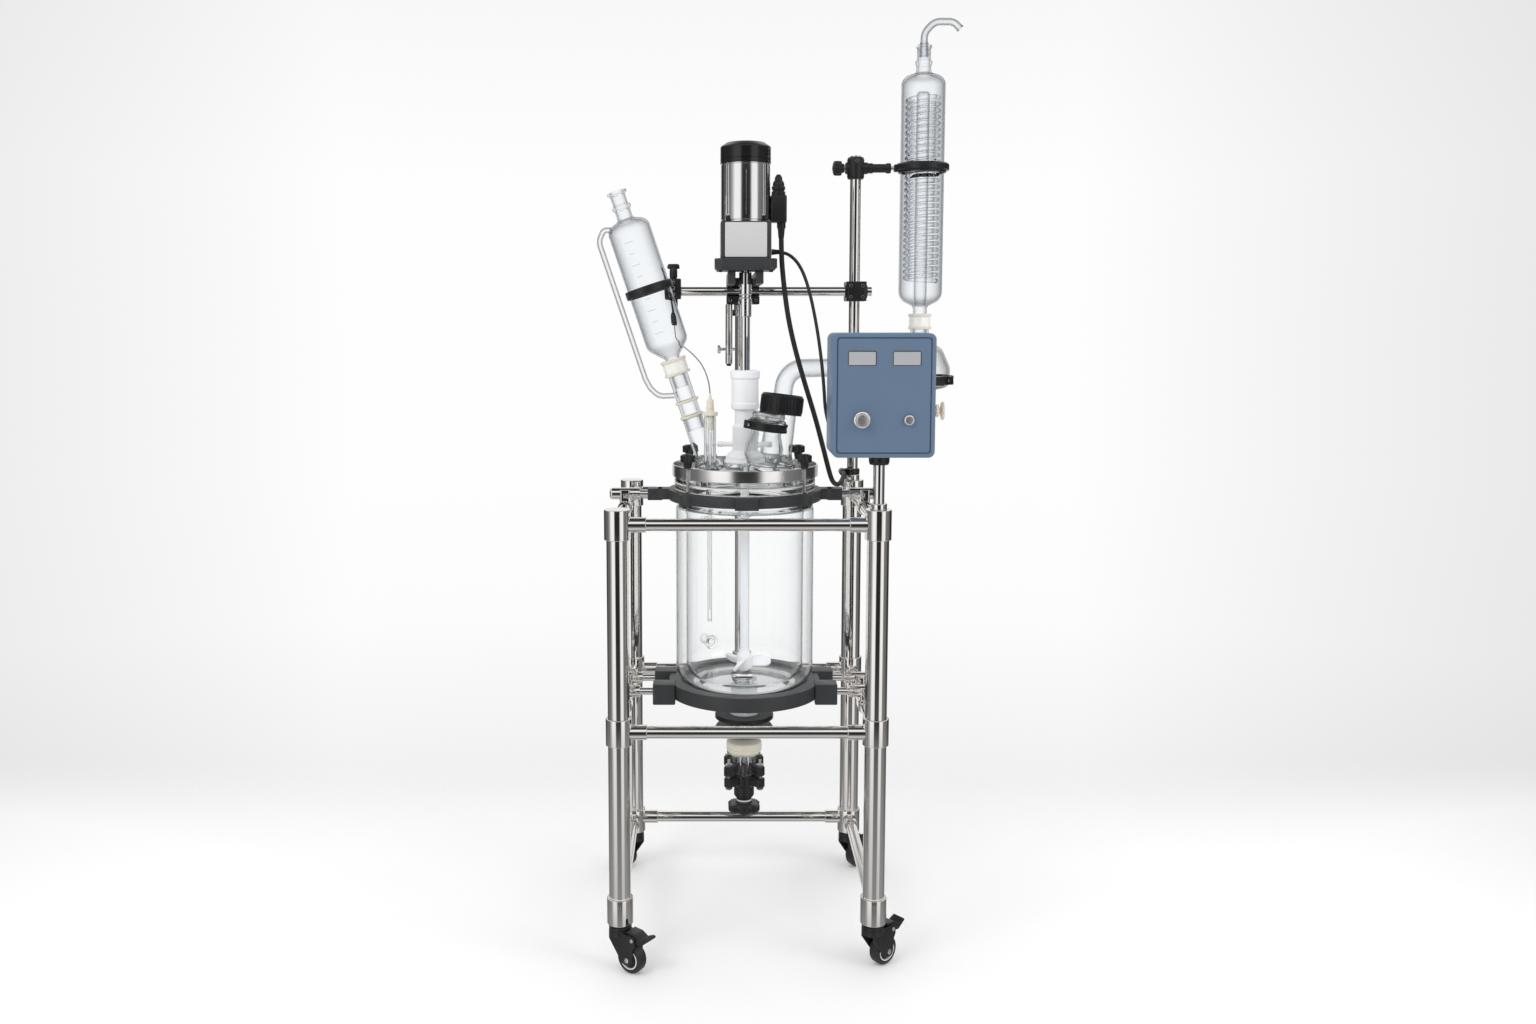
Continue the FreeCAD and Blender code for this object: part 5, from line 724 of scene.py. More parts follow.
def wheelShapes():
    size, half = castor, castor["width"] / 2
    tyre = turned([(size["rim"] + 0.4, -half + 0.6), (size["rim"] + 4, -half, 1.2), (size["wheel"] - 0.5, -half + 2.5, 5),
                   (size["wheel"], 0), (size["wheel"] - 0.5, half - 2.5, 5), (size["rim"] + 4, half, 1.2),
                   (size["rim"] + 0.4, half - 0.6)], "tyre", 96)
    rim = turned([(size["rim"] - 2.4, -half + 0.2, 0.5), (size["rim"] + 0.8, -half + 0.2, 0.5), (size["rim"] + 0.8, half - 0.2, 0.5),
                  (size["rim"] - 2.4, half - 0.2, 0.5)], "paleRim", 96)
    web = turned([(4.1, -half + 0.4), (12, -half + 0.4, 1.5), (15.5, -half + 5, 1), (size["rim"] - 2, -half + 5),
                  (size["rim"] - 2, half - 5), (15.5, half - 5, 1), (12, half - 0.4, 1.5), (4.1, half - 0.4)], "blackPlastic", 72)
    spokes = [put(block(7, 2, 2 * half - 7, "blackPlastic", 0.5, 0.5), 17.6 * math.cos(turn), 17.6 * math.sin(turn),
                  -half + 3.5, (0, 0, 1), math.degrees(turn)) for turn in np.arange(8) * np.pi / 4]
    return [aim(shape, size["trail"], 0, size["wheel"], "-y") for shape in (tyre, rim, web, *spokes)]


def brakeShapes():
    reach, height, half = castor["pivotReach"], castor["pivotHeight"], castor["width"] / 2 + 1.7
    outline = [(reach - 7, height - 7, 4), (reach + 7, height - 7, 4), (reach + 22, height - 9, 5),
               (reach + 44, height + 8, 2.5), (reach + 40, height + 13, 2.5), (reach + 22, height + 5, 5),
               (reach + 6, height + 15, 3), (reach - 18, height + 17, 3), (reach - 18, height + 12, 2),
               (reach - 7, height + 8, 4)]
    pedal = slab(outline, 2 * half, "blackPlastic", 1.5)
    shapes = [put(pedal, 0, half, 0, (1, 0, 0), 90)]
    for step in range(4):
        along = 0.2 + 0.2 * step
        ridge = rod(0.9, 2 * half - 4, "blackPlastic", 0.4, 12)
        shapes.append(aim(ridge, reach + 22 + 18 * along, 2 - half, height + 5.6 + 8 * along, "y"))
    return shapes


def supportRingTop():
    foot, thick = boxOf("upper_support_ring")[0][2] + 2, 26
    places = [math.radians(turn) for turn in (40, 140, 220, 320)]
    def outer(angle):
        reaches = [np.full_like(angle, 185.0), armReach(angle, 0, 300, 20), armReach(angle, np.pi, 300, 20),
                   armReach(angle, -np.pi / 2, 198, 27.5)]
        reaches += [bossReach(angle, place, 178, 20) for place in places]
        return np.minimum(softUnion(angle, reaches), 212)
    ring = plate(outer, 150, foot, foot + thick, "darkCoat", 2.0)
    arms = [put(block(36, 40, 28, "darkCoat", 3, 1.6), side * 217, 0, foot - 2) for side in (-1, 1)]
    boss = put(block(55, 26, 26, "darkCoat", 3, 1.6), 0, -185, foot - 2)
    return [ring, boss, *arms]


def supportRingLow():
    foot, thick, step = 573, 35, 19
    ring = turned([(108, foot, 1.5), (185, foot, 2), (185, foot + thick, 2), (155, foot + thick, 1), (155, foot + step),
                   (108, foot + step, 1)], "darkCoat", 160)
    shapes = [ring]
    for side in (-1, 1):
        for end in (-1, 1):
            shapes.append(put(block(54, 46, 50, "darkCoat", 4, 2), side * 195, end * 60, foot - 11))
    return shapes


piece("leg_tubes", "stand", legTubes(), "frame_legs")
piece("tee_collars", "stand", teeCollars(), "frame_tees")
piece("cross_rails", "stand", rails(), "frame_rails")
piece("ring_cross_clamps", "stand", ringClamps(), "ring_clamps")
piece("upper_ring", "stand", supportRingTop(), "upper_support_ring")
piece("lower_ring", "stand", supportRingLow(), "lower_support_ring")
for corner in castorTurns:
    fork, wheel = "castor_fork_" + corner, "castor_wheel_" + corner
    piece(fork + "_housing", fork, onCastor(forkShapes(), corner), fork)
    piece(wheel + "_tyre", wheel, onCastor(wheelShapes(), corner), wheel)
for corner in ("front_left", "front_right"):
    name = "castor_brake_" + corner
    piece(name + "_pedal", name, onCastor(brakeShapes(), corner), name)
print("frame, castors and rings made")


# Vessel, lid and stirrer

vessel = {"jacket": 167.5, "jacketHead": 1040, "jacketFloor": 596, "corner": 47, "inner": 143, "wall": 4,
          "innerFloor": 616, "flange": 170, "flangeFoot": 1079, "flangeHead": 1093, "neck": 24, "neckBore": 18,
          "neckFoot": 497, "collar": 34}


def vesselShapes():
    v = vessel
    wall, fall = v["wall"], 6
    bore = v["inner"] - wall
    foot, floor = v["neckFoot"], v["innerFloor"]
    body = turned([
        (v["neckBore"], foot), (v["collar"], foot, 2), (v["collar"], foot + 9, 2), (v["neck"], foot + 10, 3),
        (v["neck"], v["jacketFloor"], 8), (v["jacket"], v["jacketFloor"], v["corner"]), (v["jacket"], v["jacketHead"], 22),
        (v["inner"], v["jacketHead"] + 4, 6), (v["inner"], v["flangeFoot"], 7), (v["flange"], v["flangeFoot"], 2.5),
        (v["flange"], v["flangeHead"], 2.5), (bore, v["flangeHead"], 2), (bore, floor, 40),
        (v["neckBore"], floor - fall, 8),
    ], "vesselGlass", 192, steps=14)
    shell = v["jacket"] - wall
    space = turned([
        (v["neck"] + wall, v["jacketFloor"] + wall, 3), (shell, v["jacketFloor"] + wall, v["corner"] - wall),
        (shell, v["jacketHead"] - wall, 18), (v["inner"], v["jacketHead"] - wall, 5),
        (v["inner"], floor - wall, 44), (v["neck"] + wall, floor - fall - wall, 3),
    ], "vesselGlass", 192, cavity=True, steps=14)
    shapes = [body, space]
    for height in (660, 985):
        nozzle = turned([(9, -3), (22, -3, 4), (13, 8, 6), (13, 34, 1), (14.5, 36, 1.5), (13, 40, 1), (14.5, 43, 1),
                         (12, 44.5), (9, 44.5)], "vesselGlass", 48)
        shapes.append(put(aim(nozzle, 0, v["jacket"], height, "y"), axis=(0, 0, 1), turn=30))
    return shapes


def sealShapes():
    v = vessel
    return [
        turned([(111, 592), (126, 592, 0.6), (126, 595.9, 0.6), (111, 595.9)], "silicone", 128),
        turned([(24.05, 562), (33, 562, 2), (33, 582, 2), (24.05, 582)], "whitePtfe", 64),
        turned([(143, v["flangeHead"]), (170, v["flangeHead"], 1), (170, 1096, 1), (143, 1096)], "silicone", 160),
        turned([(150, 1078), (170, 1078, 0.3), (170, 1079, 0.3), (150, 1079)], "silicone", 160),
    ]


vapourTurn = math.degrees(math.atan2(214, 386))
necks = {
    "centre": {"x": 0, "y": 0, "axis": (0, 0, 1), "tilt": 0, "radius": 42, "reach": 4, "flare": 14},
    "funnel": {"x": -90, "y": 18, "axis": (0, 1, 0), "tilt": -18.5, "radius": 25, "reach": 118, "flare": 14},
    "solids": {"x": 36, "y": -92, "axis": (0, 1, 0), "tilt": 8, "radius": 38, "reach": 108, "flare": 12},
    "capped": {"x": 75, "y": 56, "axis": (-math.sin(math.radians(vapourTurn)), math.cos(math.radians(vapourTurn)), 0),
               "tilt": 8, "radius": 40, "reach": 158, "flare": 12},
    "probe": {"x": -84, "y": -96, "axis": (0, 0, 1), "tilt": 0, "radius": 14, "reach": 125, "flare": 9},
}
lid = {"foot": 1096, "step": 1110, "shoulder": 144, "crown": 1136, "root": 26, "wall": 4}


def onNeck(shape, name):
    neck = necks[name]
    return put(shape, neck["x"], neck["y"], lid["crown"], neck["axis"], neck["tilt"])


def lidGlass():
    outer = turned([(0, lid["foot"]), (170, lid["foot"], 2), (170, lid["step"], 2), (lid["shoulder"], lid["step"], 4),
                    (lid["shoulder"] * 0.86, lid["crown"] - 7, 20), (0, lid["crown"])], "clearGlass", 160, steps=10)
    hollow = turned([(0, lid["foot"] - 5), (141, lid["foot"] - 5), (141, lid["foot"]),
                     (lid["shoulder"] * 0.84, lid["crown"] - 12, 20), (0, lid["crown"] - 6)], "clearGlass", 160, steps=10)
    added, cut = [], [hollow]
    for name, neck in necks.items():
        radius, reach, flare = neck["radius"], neck["reach"], neck["flare"]
        rim = [(radius, reach, 1.6)]
        if name == "solids":
            rim = [(34, 6, 8), (45, 28, 18), (45, 52, 18), (35, 82, 12), (radius, reach - 11, 3), (44, reach - 8, 2),
                   (44, reach, 2)]
        if name == "capped":
            rim = [(radius - 2, reach - 30, 1), (radius, reach - 28, 1), (radius, reach, 2)]
        foot = -lid["root"] if name == "centre" else -10
        root = [(radius + flare, foot), (radius + flare, -3, 1), (radius + flare * 0.28, 2 + flare * 0.25, flare)]
        bore = radius - lid["wall"]
        inside = [(bore + flare * 0.6, -12, 2), (bore, 4, 12)]
        if name == "solids":
            inside = [(34, -12, 2), (30, 6, 8), (41, 29, 15), (41, 51, 15), (31, 81, 10), (bore, reach - 8, 3)]
        else:
            root.append((radius, flare * 1.7, flare * 2))
        added.append(onNeck(turned([(0, foot), *root, *rim, (0, reach)], "clearGlass", 96, steps=10), name))
        cut.append(onNeck(turned([(0, -60), (inside[0][0], -60), *inside, (bore, reach + 5), (0, reach + 5)], "clearGlass",
                                 96, steps=8), name))
    under = turned([(0, 1000), (200, 1000), (200, lid["foot"]), (0, lid["foot"])], "clearGlass", 96)
    return settle(carved("lid_glass", outer, added, cut + [under]), "stand", "vessel_lid")


def clampRingShapes():
    inner, outer, foot, head = 148, 176, 1110, 1138
    band = turned([(outer - 3.5, foot + 1), (outer, foot, 1), (outer, head, 1), (outer - 3.5, head, 1)], "ringSteel", 200)
    shelf = turned([(inner, foot), (outer - 3, foot), (outer - 3, foot + 6, 1), (inner, foot + 6, 1)], "satinSteel", 200)
    shapes = [band, shelf]
    for turn in (40, 140, 220, 320):
        lug = put(block(24, 30, head - foot - 1, "brightSteel", 3, 1), 163, 0, foot + 0.5)
        shapes.append(put(lug, axis=(0, 0, 1), turn=turn))
    return shapes


starPlaces = {"front_left": 220, "front_right": 320, "rear_left": 140, "rear_right": 40}


def studShapes():
    shapes = []
    for turn in starPlaces.values():
        x, y = 178 * math.cos(math.radians(turn)), 178 * math.sin(math.radians(turn))
        shapes.append(put(rod(3.9, 26, "brightSteel", 0.4, 24), x, y, 1052))
        shapes.append(put(thread(4, 88, 1.5, 0.6, "thread"), x, y, 1078))
        nut = turned([(4.1, 0), (7.2, 0, 0.8), (7.2, 5.5, 0.8), (4.1, 5.5)], "brightSteel", 48,
                     lobes=lambda angle: 1 / np.cos(np.mod(angle, np.pi / 3) - np.pi / 6))
        shapes.append(put(nut, x, y, 1078))
    for x, y, side, end in corners:
        shapes += [put(rod(6.7, 28, "thread", 0.5, 32), x, y, 84), put(rod(21.9, 30, "satinSteel", 1, 56), x, y, 112),
                   put(rod(21, 8.7, "satinSteel", 0.8, 56), x, y, 103.3)]
    return shapes


def starShapes(corner):
    turn = math.radians(starPlaces[corner])
    x, y = 178 * math.cos(turn), 178 * math.sin(turn)
    lobes = lambda angle: 1 + 0.14 * np.cos(6 * angle) + 0.02 * np.cos(12 * angle)
    grip = turned([(0, 13), (9, 13), (14.6, 15, 1.5), (14.9, 30, 2.5), (8, 34, 3), (0, 33)], "blackPlastic", 96, lobes=lobes)
    hub = turned([(4.05, 0), (8.5, 0, 1), (9.8, 8, 1), (10.5, 15), (4.05, 15)], "blackPlastic", 48)
    return [put(grip, x, y, 1138.3), put(hub, x, y, 1138.3)]


def housingShapes():
    foot, head = 1140, 1363
    body = turned([
        (13.05, foot), (50, foot, 2), (50, foot + 5, 2), (47, foot + 8, 3), (46, foot + 16, 4), (36, foot + 26, 8),
        (30, foot + 31, 4), (30, foot + 88, 4), (24.5, foot + 94, 5), (24.5, head - 97, 5), (33.5, head - 92, 2),
        (34, head - 80, 1.5), (32.5, head - 78, 1), (32.5, head - 22, 2), (35.5, head - 18, 2), (36, head - 2, 2.5),
        (28, head, 1), (11.05, head), (11.05, head - 40), (13.05, head - 44),
    ], "whitePtfe", 96)
    shapes = [body]
    for turn in (-8, 172):
        stub = turned([(0, 28), (6, 28), (6, 56, 1), (8, 57, 0.6), (6, 62, 0.6), (8, 63, 0.6), (5.5, 68, 1), (0, 68)],
                      "whitePtfe", 32)
        shapes.append(put(aim(stub, 0, 0, foot + 44, "x"), axis=(0, 0, 1), turn=turn))
    return shapes


def couplingShapes():
    head, length = 1596, 106
    sleeve = turned([(11.05, head - length), (14.4, head - length, 0.8), (15, head - length + 3, 0.5), (15, head - 62, 1),
                     (13.2, head - 60, 1), (13.2, head - 54, 1), (15, head - 52, 1), (15, head, 1), (0, head),
                     (0, head - 70), (11.05, head - 70)], "chrome", 64)
    spigot = put(rod(9, 23, "chrome", 0.5, 40), 0, 0, head)
    shapes = [sleeve, spigot]
    for rise, ways_ in ((12, ("-y",)), (34, ("x", "-x", "-y"))):
        for way in ways_:
            dx, dy = {"x": (13.4, 0), "-x": (-13.4, 0), "-y": (0, -13.4)}[way]
            shapes += capScrew(dx, dy, head - length + rise, way, 3.6)
    return shapes


def stirrerShapes():
    hub, head = 648, 1526
    steelShaft = turned([(0, 1118), (11, 1118, 0.5), (11, head, 0.5), (0, head)], "chrome", 64)
    coated = turned([(0, hub - 22), (9, hub - 22, 3), (19, hub - 14, 5), (19, hub + 14, 6), (10.4, hub + 30, 8),
                     (10.4, 1120, 0.4), (0, 1120)], "whitePtfe", 64, steps=8)
    shapes = [steelShaft, coated]
    for turn in (10, 130, 250):
        span = [(8, -13, 2), (50, -15, 14), (66, -10, 9), (66, 9, 9), (50, 15, 14), (8, 11, 2)]
        blade = put(slab(span, 7.5, "whitePtfe", 2.6), 0, 0, -3.75)
        blade = put(blade, axis=(1, 0, 0), turn=52)
        shapes.append(put(blade, 0, 0, hub, (0, 0, 1), turn))
    return shapes


def probeShapes():
    x, y, cap = -84, -96, 1261.1
    well = turned([(0, 770), (5.2, 770, 5), (5.2, cap - 4), (4.0, cap - 4), (4.0, 774, 4), (0, 774)], "clearGlass", 40,
                  steps=10)
    sensor = put(rod(1.6, 420, "brightSteel", 1, 20), 0, 0, 800)
    collar = turned([(5.3, cap - 34), (9.6, cap - 34, 1), (9.9, cap), (18, cap, 1), (18, cap + 7, 1.5), (11, cap + 9, 2),
                     (9, cap + 12, 1), (8, cap + 36, 2), (4, cap + 39, 1), (2.2, cap + 52, 0.3), (0, cap + 52), (0, cap - 3), (5.3, cap - 3)],
                    "creamPtfe", 48)
    rib = turned([(9, cap + 16), (10, cap + 17, 0.8), (9, cap + 18)], "creamPtfe", 48)
    return [put(shape, x, y) for shape in (well, sensor, collar, rib)]


piece("vessel_glass", "stand", vesselShapes(), "jacketed_vessel")
piece("seal_rings", "stand", sealShapes(), "vessel_seals")
lidGlass()
piece("clamp_ring", "stand", clampRingShapes(), "lid_clamp_ring")
piece("studs", "stand", studShapes(), "threaded_studs")
for corner in starPlaces:
    name = "star_knob_" + corner
    piece(name + "_grip", name, starShapes(corner), name)
piece("shaft_housing", "stand", housingShapes(), "bearing_housing")
piece("coupling_sleeve", "stirring_shaft", couplingShapes(), "shaft_coupling")
piece("stirrer_shaft", "stirring_shaft", stirrerShapes(), "stirrer")
piece("probe_well", "stand", probeShapes(), "temperature_probe")
print("vessel, lid and stirrer made")


# Drive, column and clamps

drive = {"radius": 59, "foot": 1713, "head": 1849, "cap": 1899, "gearWidth": 120, "gearFoot": 1627,
         "flangeWidth": 147, "flangeDepth": 130, "flangeFoot": 1599}
barPlace = {"y": 232, "z": 1556, "left": -196, "radius": 12}
polePlace = {"radius": 14, "head": 1902, "boss": 1871}


def motorShapes():
    radius, foot, head = drive["radius"], drive["foot"], drive["head"]
    groove = lambda angle: 1 - 0.055 * np.exp(-((np.mod(angle, np.pi / 2) - np.pi / 4) / 0.062) ** 4)
    body = turned([(0, foot), (radius - 1.5, foot, 0.5), (radius - 1.5, foot + 4, 0.5), (radius, foot + 5, 0.5),
                   (radius, head - 3, 0.5), (radius - 1.5, head - 2), (radius - 1.5, head), (0, head)], "motorAlloy", 384,
                  lobes=groove)
    seam = put(block(1.0, 0.5, head - foot - 34, "satinSteel", 0.4, 0.2), 0, -radius + 0.1, foot + 16)
    cap = turned([(0, head + 0.1), (radius + 1, head + 0.1, 1), (radius + 1, 1889, 6), (radius - 14, 1899, 6), (0, 1899)],
                 "blackGloss", 128, steps=10)
    band = turned([(radius, head + 10), (radius + 1.0, head + 10.3), (radius + 1.0, head + 11.7), (radius, head + 12)],
                  "blackGloss", 128)
    shapes = [body, seam, cap, band]
    for turn in range(4):
        angle = math.radians(45 + 90 * turn)
        lug = put(block(15, 12, 14, "blackPlastic", 2, 1), radius - 5, 0, foot)
        shapes.append(put(lug, turn=45 + 90 * turn))
        shapes += capScrew((radius - 1) * math.cos(angle), (radius - 1) * math.sin(angle), foot + 14, "z", 3.5)
    for turn in (-90, 30, 150):
        screw = capScrew(0, 0, 0, "x", 2.2, "blackPlastic")
        shapes += [put(put(part, radius, 0, head + 16), turn=turn) for part in screw]
    return shapes


def gearShapes():
    half, foot = drive["gearWidth"] / 2, drive["gearFoot"]
    body = put(block(118, 118, drive["foot"] - foot - 0.2, "gearPaint", 4, 1.5), 0, 0, foot + 0.1)
    shapes = [body]
    for turn in range(4):
        face = stack(rectangle(98, drive["foot"] - foot - 6, 3), [(0.8, -0.2), (0, 0.1), (0, 1.0), (0.8, 1.3)],
                     "gearPlate")
        face = put(put(face, axis=(1, 0, 0), turn=90), 0, -half + 1.3, (drive["foot"] + foot) / 2)
        shapes.append(put(face, turn=90 * turn))
    gland = turned([(0, -2), (8, -2), (8, 3, 0.8), (7, 4), (7, 8, 1), (4.05, 8), (4.05, 4), (0, 4)], "blackPlastic", 32)
    relief = turned([(4.05, 7), (6.6, 7), (6.2, 12, 2), (4.7, 27, 0.6), (4.05, 27)], "blackPlastic", 32)
    shapes += [aim(shape, half, 20, 1645, "x") for shape in (gland, relief)]
    return shapes


def bracketShapes():
    half, depth = drive["flangeWidth"] / 2, drive["flangeDepth"] / 2
    foot, head = drive["flangeFoot"], drive["gearFoot"]
    outline = [(-half, -depth + 16, 4), (-half + 16, -depth, 4), (half - 16, -depth, 4), (half, -depth + 16, 4),
               (half, depth, 5), (-half, depth, 5)]
    flange = stack(outline, [(7, foot), (1.5, foot + 5), (0, foot + 7), (0, head - 1.5), (1.5, head)], "gearPaint")
    shapes = [flange]
    for side in (-1, 1):
        arm = put(block(18, 346, foot - 1568, "gearPaint", 3, 1.5), side * 33, (302 - 50) / 2 + 3, 1568)
        shapes.append(arm)
        shapes += capScrew(side * (half - 14), -depth + 20, foot, "-z", 4.5, "blackPlastic")
    for foot, height in ((1523, 20.5), (1568.5, 20.5)):
        shapes.append(put(block(84, 92, height, "blackPlastic", 6, 2), 0, 256.5, foot))
    shapes.append(put(block(84, 58, 40, "blackPlastic", 4, 1), 0, 274, 1536))
    for side in (-1, 1):
        for z in (1533, 1579):
            shapes += capScrew(side * 33, 211.5, z, "-y", 3.6)
    return shapes


def terminalShapes():
    x = drive["radius"] + 19.1
    box = put(block(38, 40, 63, "blackPlastic", 5, 2), x, 0, drive["foot"])
    cover = put(put(block(56, 32, 2, "blackPlastic", 3, 0.8), axis=(0, 1, 0), turn=90), x + 17.2, 0, drive["foot"] + 31)
    ribs = lambda angle: 1 + 0.03 * np.cos(10 * angle)
    nut = turned([(0, 0), (16, 0, 1), (16, 9, 1), (13.5, 11), (13.5, 13), (15.6, 14, 0.8), (15.6, 21, 2),
                  (12, 24), (0, 24)], "blackPlastic", 60, lobes=ribs)
    boot = turned([(0, 22), (13, 22), (14, 25, 1), (13, 31, 2), (9.5, 36, 3), (8.6, 43, 1), (4.4, 49.5, 1.5), (0, 50)],
                  "blackPlastic", 48)
    outlet = turned([(0, -36), (6.8, -36, 0.6), (8.6, -14, 2), (10.4, -12, 1), (10.4, 2), (0, 2)], "blackPlastic", 40)
    return [box, cover, put(nut, x, 0, 1776), put(boot, x, 0, 1776), put(outlet, 85.1, 0, drive["foot"])]


def columnShapes():
    foot, head, top = columnPlace["foot"], 1592, 1522.9
    y = columnPlace["y"]
    column = put(rod(20, head - foot, "steel", 1, 64), 0, y, foot)
    collar = put(turned([(20.02, top - 24), (23, top - 24, 1.2), (23, top, 1.2), (20.02, top)], "brightSteel", 64), 0, y)
    guide = put(rod(9, 152, "steel", 0.8, 40), -36, 226, top - 152)
    web = put(block(44, 46, 16, "steel", 6, 1), -18, 246, top - 30)
    tip = put(turned([(0, -6), (5, -6, 1), (6.5, -2, 1), (6.5, 0.5), (0, 0.5)], "blackPlastic", 32), -36, 226, top - 152)
    return [column, collar, guide, web, tip]


def columnLockShapes():
    shank = aim(rod(4, 38, "chrome", 0.5, 32), -21, 226, 1408, "-x")
    handle = aim(turned([(0, 0), (9, 0, 1.5), (11, 2, 1), (11, 8, 1.5), (0, 9)], "brightSteel", 48,
                        lobes=lambda angle: 1 + 0.02 * np.cos(20 * angle)), -57, 226, 1408, "-x")
    return [shank, handle]


def supportRodShapes():
    bar = aim(rod(barPlace["radius"], legX + 40 - barPlace["left"], "steel", 1, 56), barPlace["left"], barPlace["y"],
              barPlace["z"], "x")
    stand = 1065.1
    shapes = [bar, put(rod(14, polePlace["head"] - stand, "steel", 1, 56), legX, legY, stand),
              put(rod(12.8, 1186.9 - stand, "steel", 1, 56), legX, -legY, stand)]
    for y, bore in ((legY, 14.05), (-legY, 12.85)):
        shapes.append(put(turned([(bore, stand), (19, stand, 1), (19, stand + 14, 2.5), (bore, stand + 14)], "steel", 56),
                          legX, y))
        shapes += setScrew(legX, y - 18.2, stand + 7, -90, 2.6)
    shapes.append(put(turned([(12.9, 1165), (21, 1165, 2), (23, 1172, 2), (23, 1186.8, 1), (12.9, 1186.8)], "blackPlastic",
                             56), legX, -legY))
    return shapes


def poleClampShapes():
    low, boss = 1531, polePlace["boss"]
    middle, depth = (legY + barPlace["y"]) / 2, legY - barPlace["y"] + 42
    shapes = [put(block(52, depth, 50, "blackPlastic", 7, 2), legX, middle, low)]
    for x in (-15, 15):
        for z in (-14, 14):
            shapes += capScrew(legX + x, middle - depth / 2 + 0.4, barPlace["z"] + z, "-y", 3.8)
    for side in (-1, 1):
        shapes.append(aim(turned([(12.1, 0), (17, 0, 2), (17, 3, 1.2), (12.1, 3)], "blackPlastic", 48), legX + side * 25.5,
                          barPlace["y"], barPlace["z"], "x" if side > 0 else "-x"))
    head = turned([(14.06, -28), (20, -28, 3), (22, -22, 2), (22, 21, 2), (20, 27, 2), (16, 28, 2), (14.06, 28)],
                  "blackPlastic", 64)
    shapes.append(put(head, legX, legY, boss))
    ears = turned([(0, -27), (13.5, -27, 2), (15, -24, 1), (15, 30, 2), (12, 33, 1), (0, 33)], "blackPlastic", 56)
    shapes.append(aim(ears, legX, legY, boss, "x"))
    shapes.append(put(turned([(0, 26.5), (13.4, 26.5), (13.4, 31, 1), (0, 31)], "steel", 48), legX, legY, boss))
    shapes += capScrew(legX, legY - 21.6, boss + 16, "-y", 3.6)
    clip = [put(turned([(14.05, 0), (19, 0, 1), (19, 14, 1), (14.05, 14)], "blackPlastic", 56), legX, legY, 1080),
            aim(turned([(6.1, 0), (9, 0, 1), (9, 34, 1), (6.1, 34)], "blackPlastic", 40), 262, 236, 1087, "y"),
            put(block(14, 14, 14, "blackPlastic", 2, 1), legX - 19, legY, 1080)]
    return shapes + clip


# A round knob with a fluted grip, its stem's start at the point given.
def fluted(x, y, z, way):
    lobes = lambda angle: 1 + 0.035 * np.cos(16 * angle)
    stem = rod(5, 18, "brightSteel", 0.5, 32)
    neck = turned([(0, 14), (11, 14, 2), (12, 19, 1), (12, 22), (0, 22)], "blackPlastic", 48)
    grip = turned([(0, 21), (17.5, 21, 2.5), (18.4, 30, 3), (18.0, 42, 6), (0, 46)], "blackPlastic", 96, lobes=lobes)
    return [aim(shape, x, y, z, way) for shape in (stem, neck, grip)]


condenser = {"x": 461, "y": 270, "radius": 56, "foot": 1536, "head": 2098, "wall": 3, "neck": 18, "neckFoot": 1436,
             "neckHead": 2172, "coilFoot": 1584, "coilHead": 2048, "turns": 29, "coilRadius": 39, "coilTube": 6.5,
             "core": 17}


def condenserClampShapes():
    x, y, boss = condenser["x"], condenser["y"], polePlace["boss"]
    outer, bore = condenser["radius"] + 13, condenser["radius"] + 0.3
    band = turned([(bore, boss - 12), (outer - 8, boss - 12, 1), (outer - 8, boss - 6, 2), (outer, boss - 6, 2),
                   (outer, boss + 8, 2.5), (outer - 5, boss + 12, 2), (bore, boss + 12)], "blackPlastic", 128)
    start = legX + 15
    shank = aim(rod(5, x - 60 - start, "steel", 0.5, 32), start, y, boss, "x")
    knurl = lambda angle: 1 + 0.012 * np.cos(30 * angle)
    sleeve = turned([(5.05, 0), (12, 0, 1), (13, 2, 1), (13, 10, 1), (11, 12, 1), (11, 44, 1), (13, 46, 1), (13, 57, 2.5),
                     (5.05, 58)], "blackPlastic", 90, lobes=knurl)
    lug = put(block(13, 20, 18, "blackPlastic", 3, 1.5), x - outer + 3, y, boss - 9)
    return [put(band, x, y), shank, aim(sleeve, legX + 33, y, boss, "x"), lug]


piece("motor_body", "stand", motorShapes(), "motor")
piece("gear_housing", "stand", gearShapes(), "gearbox")
piece("drive_bracket", "stand", bracketShapes(), "motor_bracket")
piece("terminal_housing", "stand", terminalShapes(), "terminal_box")
piece("column", "stand", columnShapes(), "support_column")
piece("column_lock_screw", "column_lock", columnLockShapes(), "column_lock")
piece("bar_and_poles", "stand", supportRodShapes(), "support_rods")
piece("pole_cross_clamps", "stand", poleClampShapes(), "pole_clamps")
piece("pole_knob_grip", "pole_knob", fluted(legX - 15, legY, polePlace["boss"], "-x"), "pole_knob")
piece("condenser_ring", "stand", condenserClampShapes(), "condenser_clamp")
print("drive, column and clamps made")


# Condenser, reflux head and funnel

def atCondenser(shape):
    return put(shape, condenser["x"], condenser["y"])


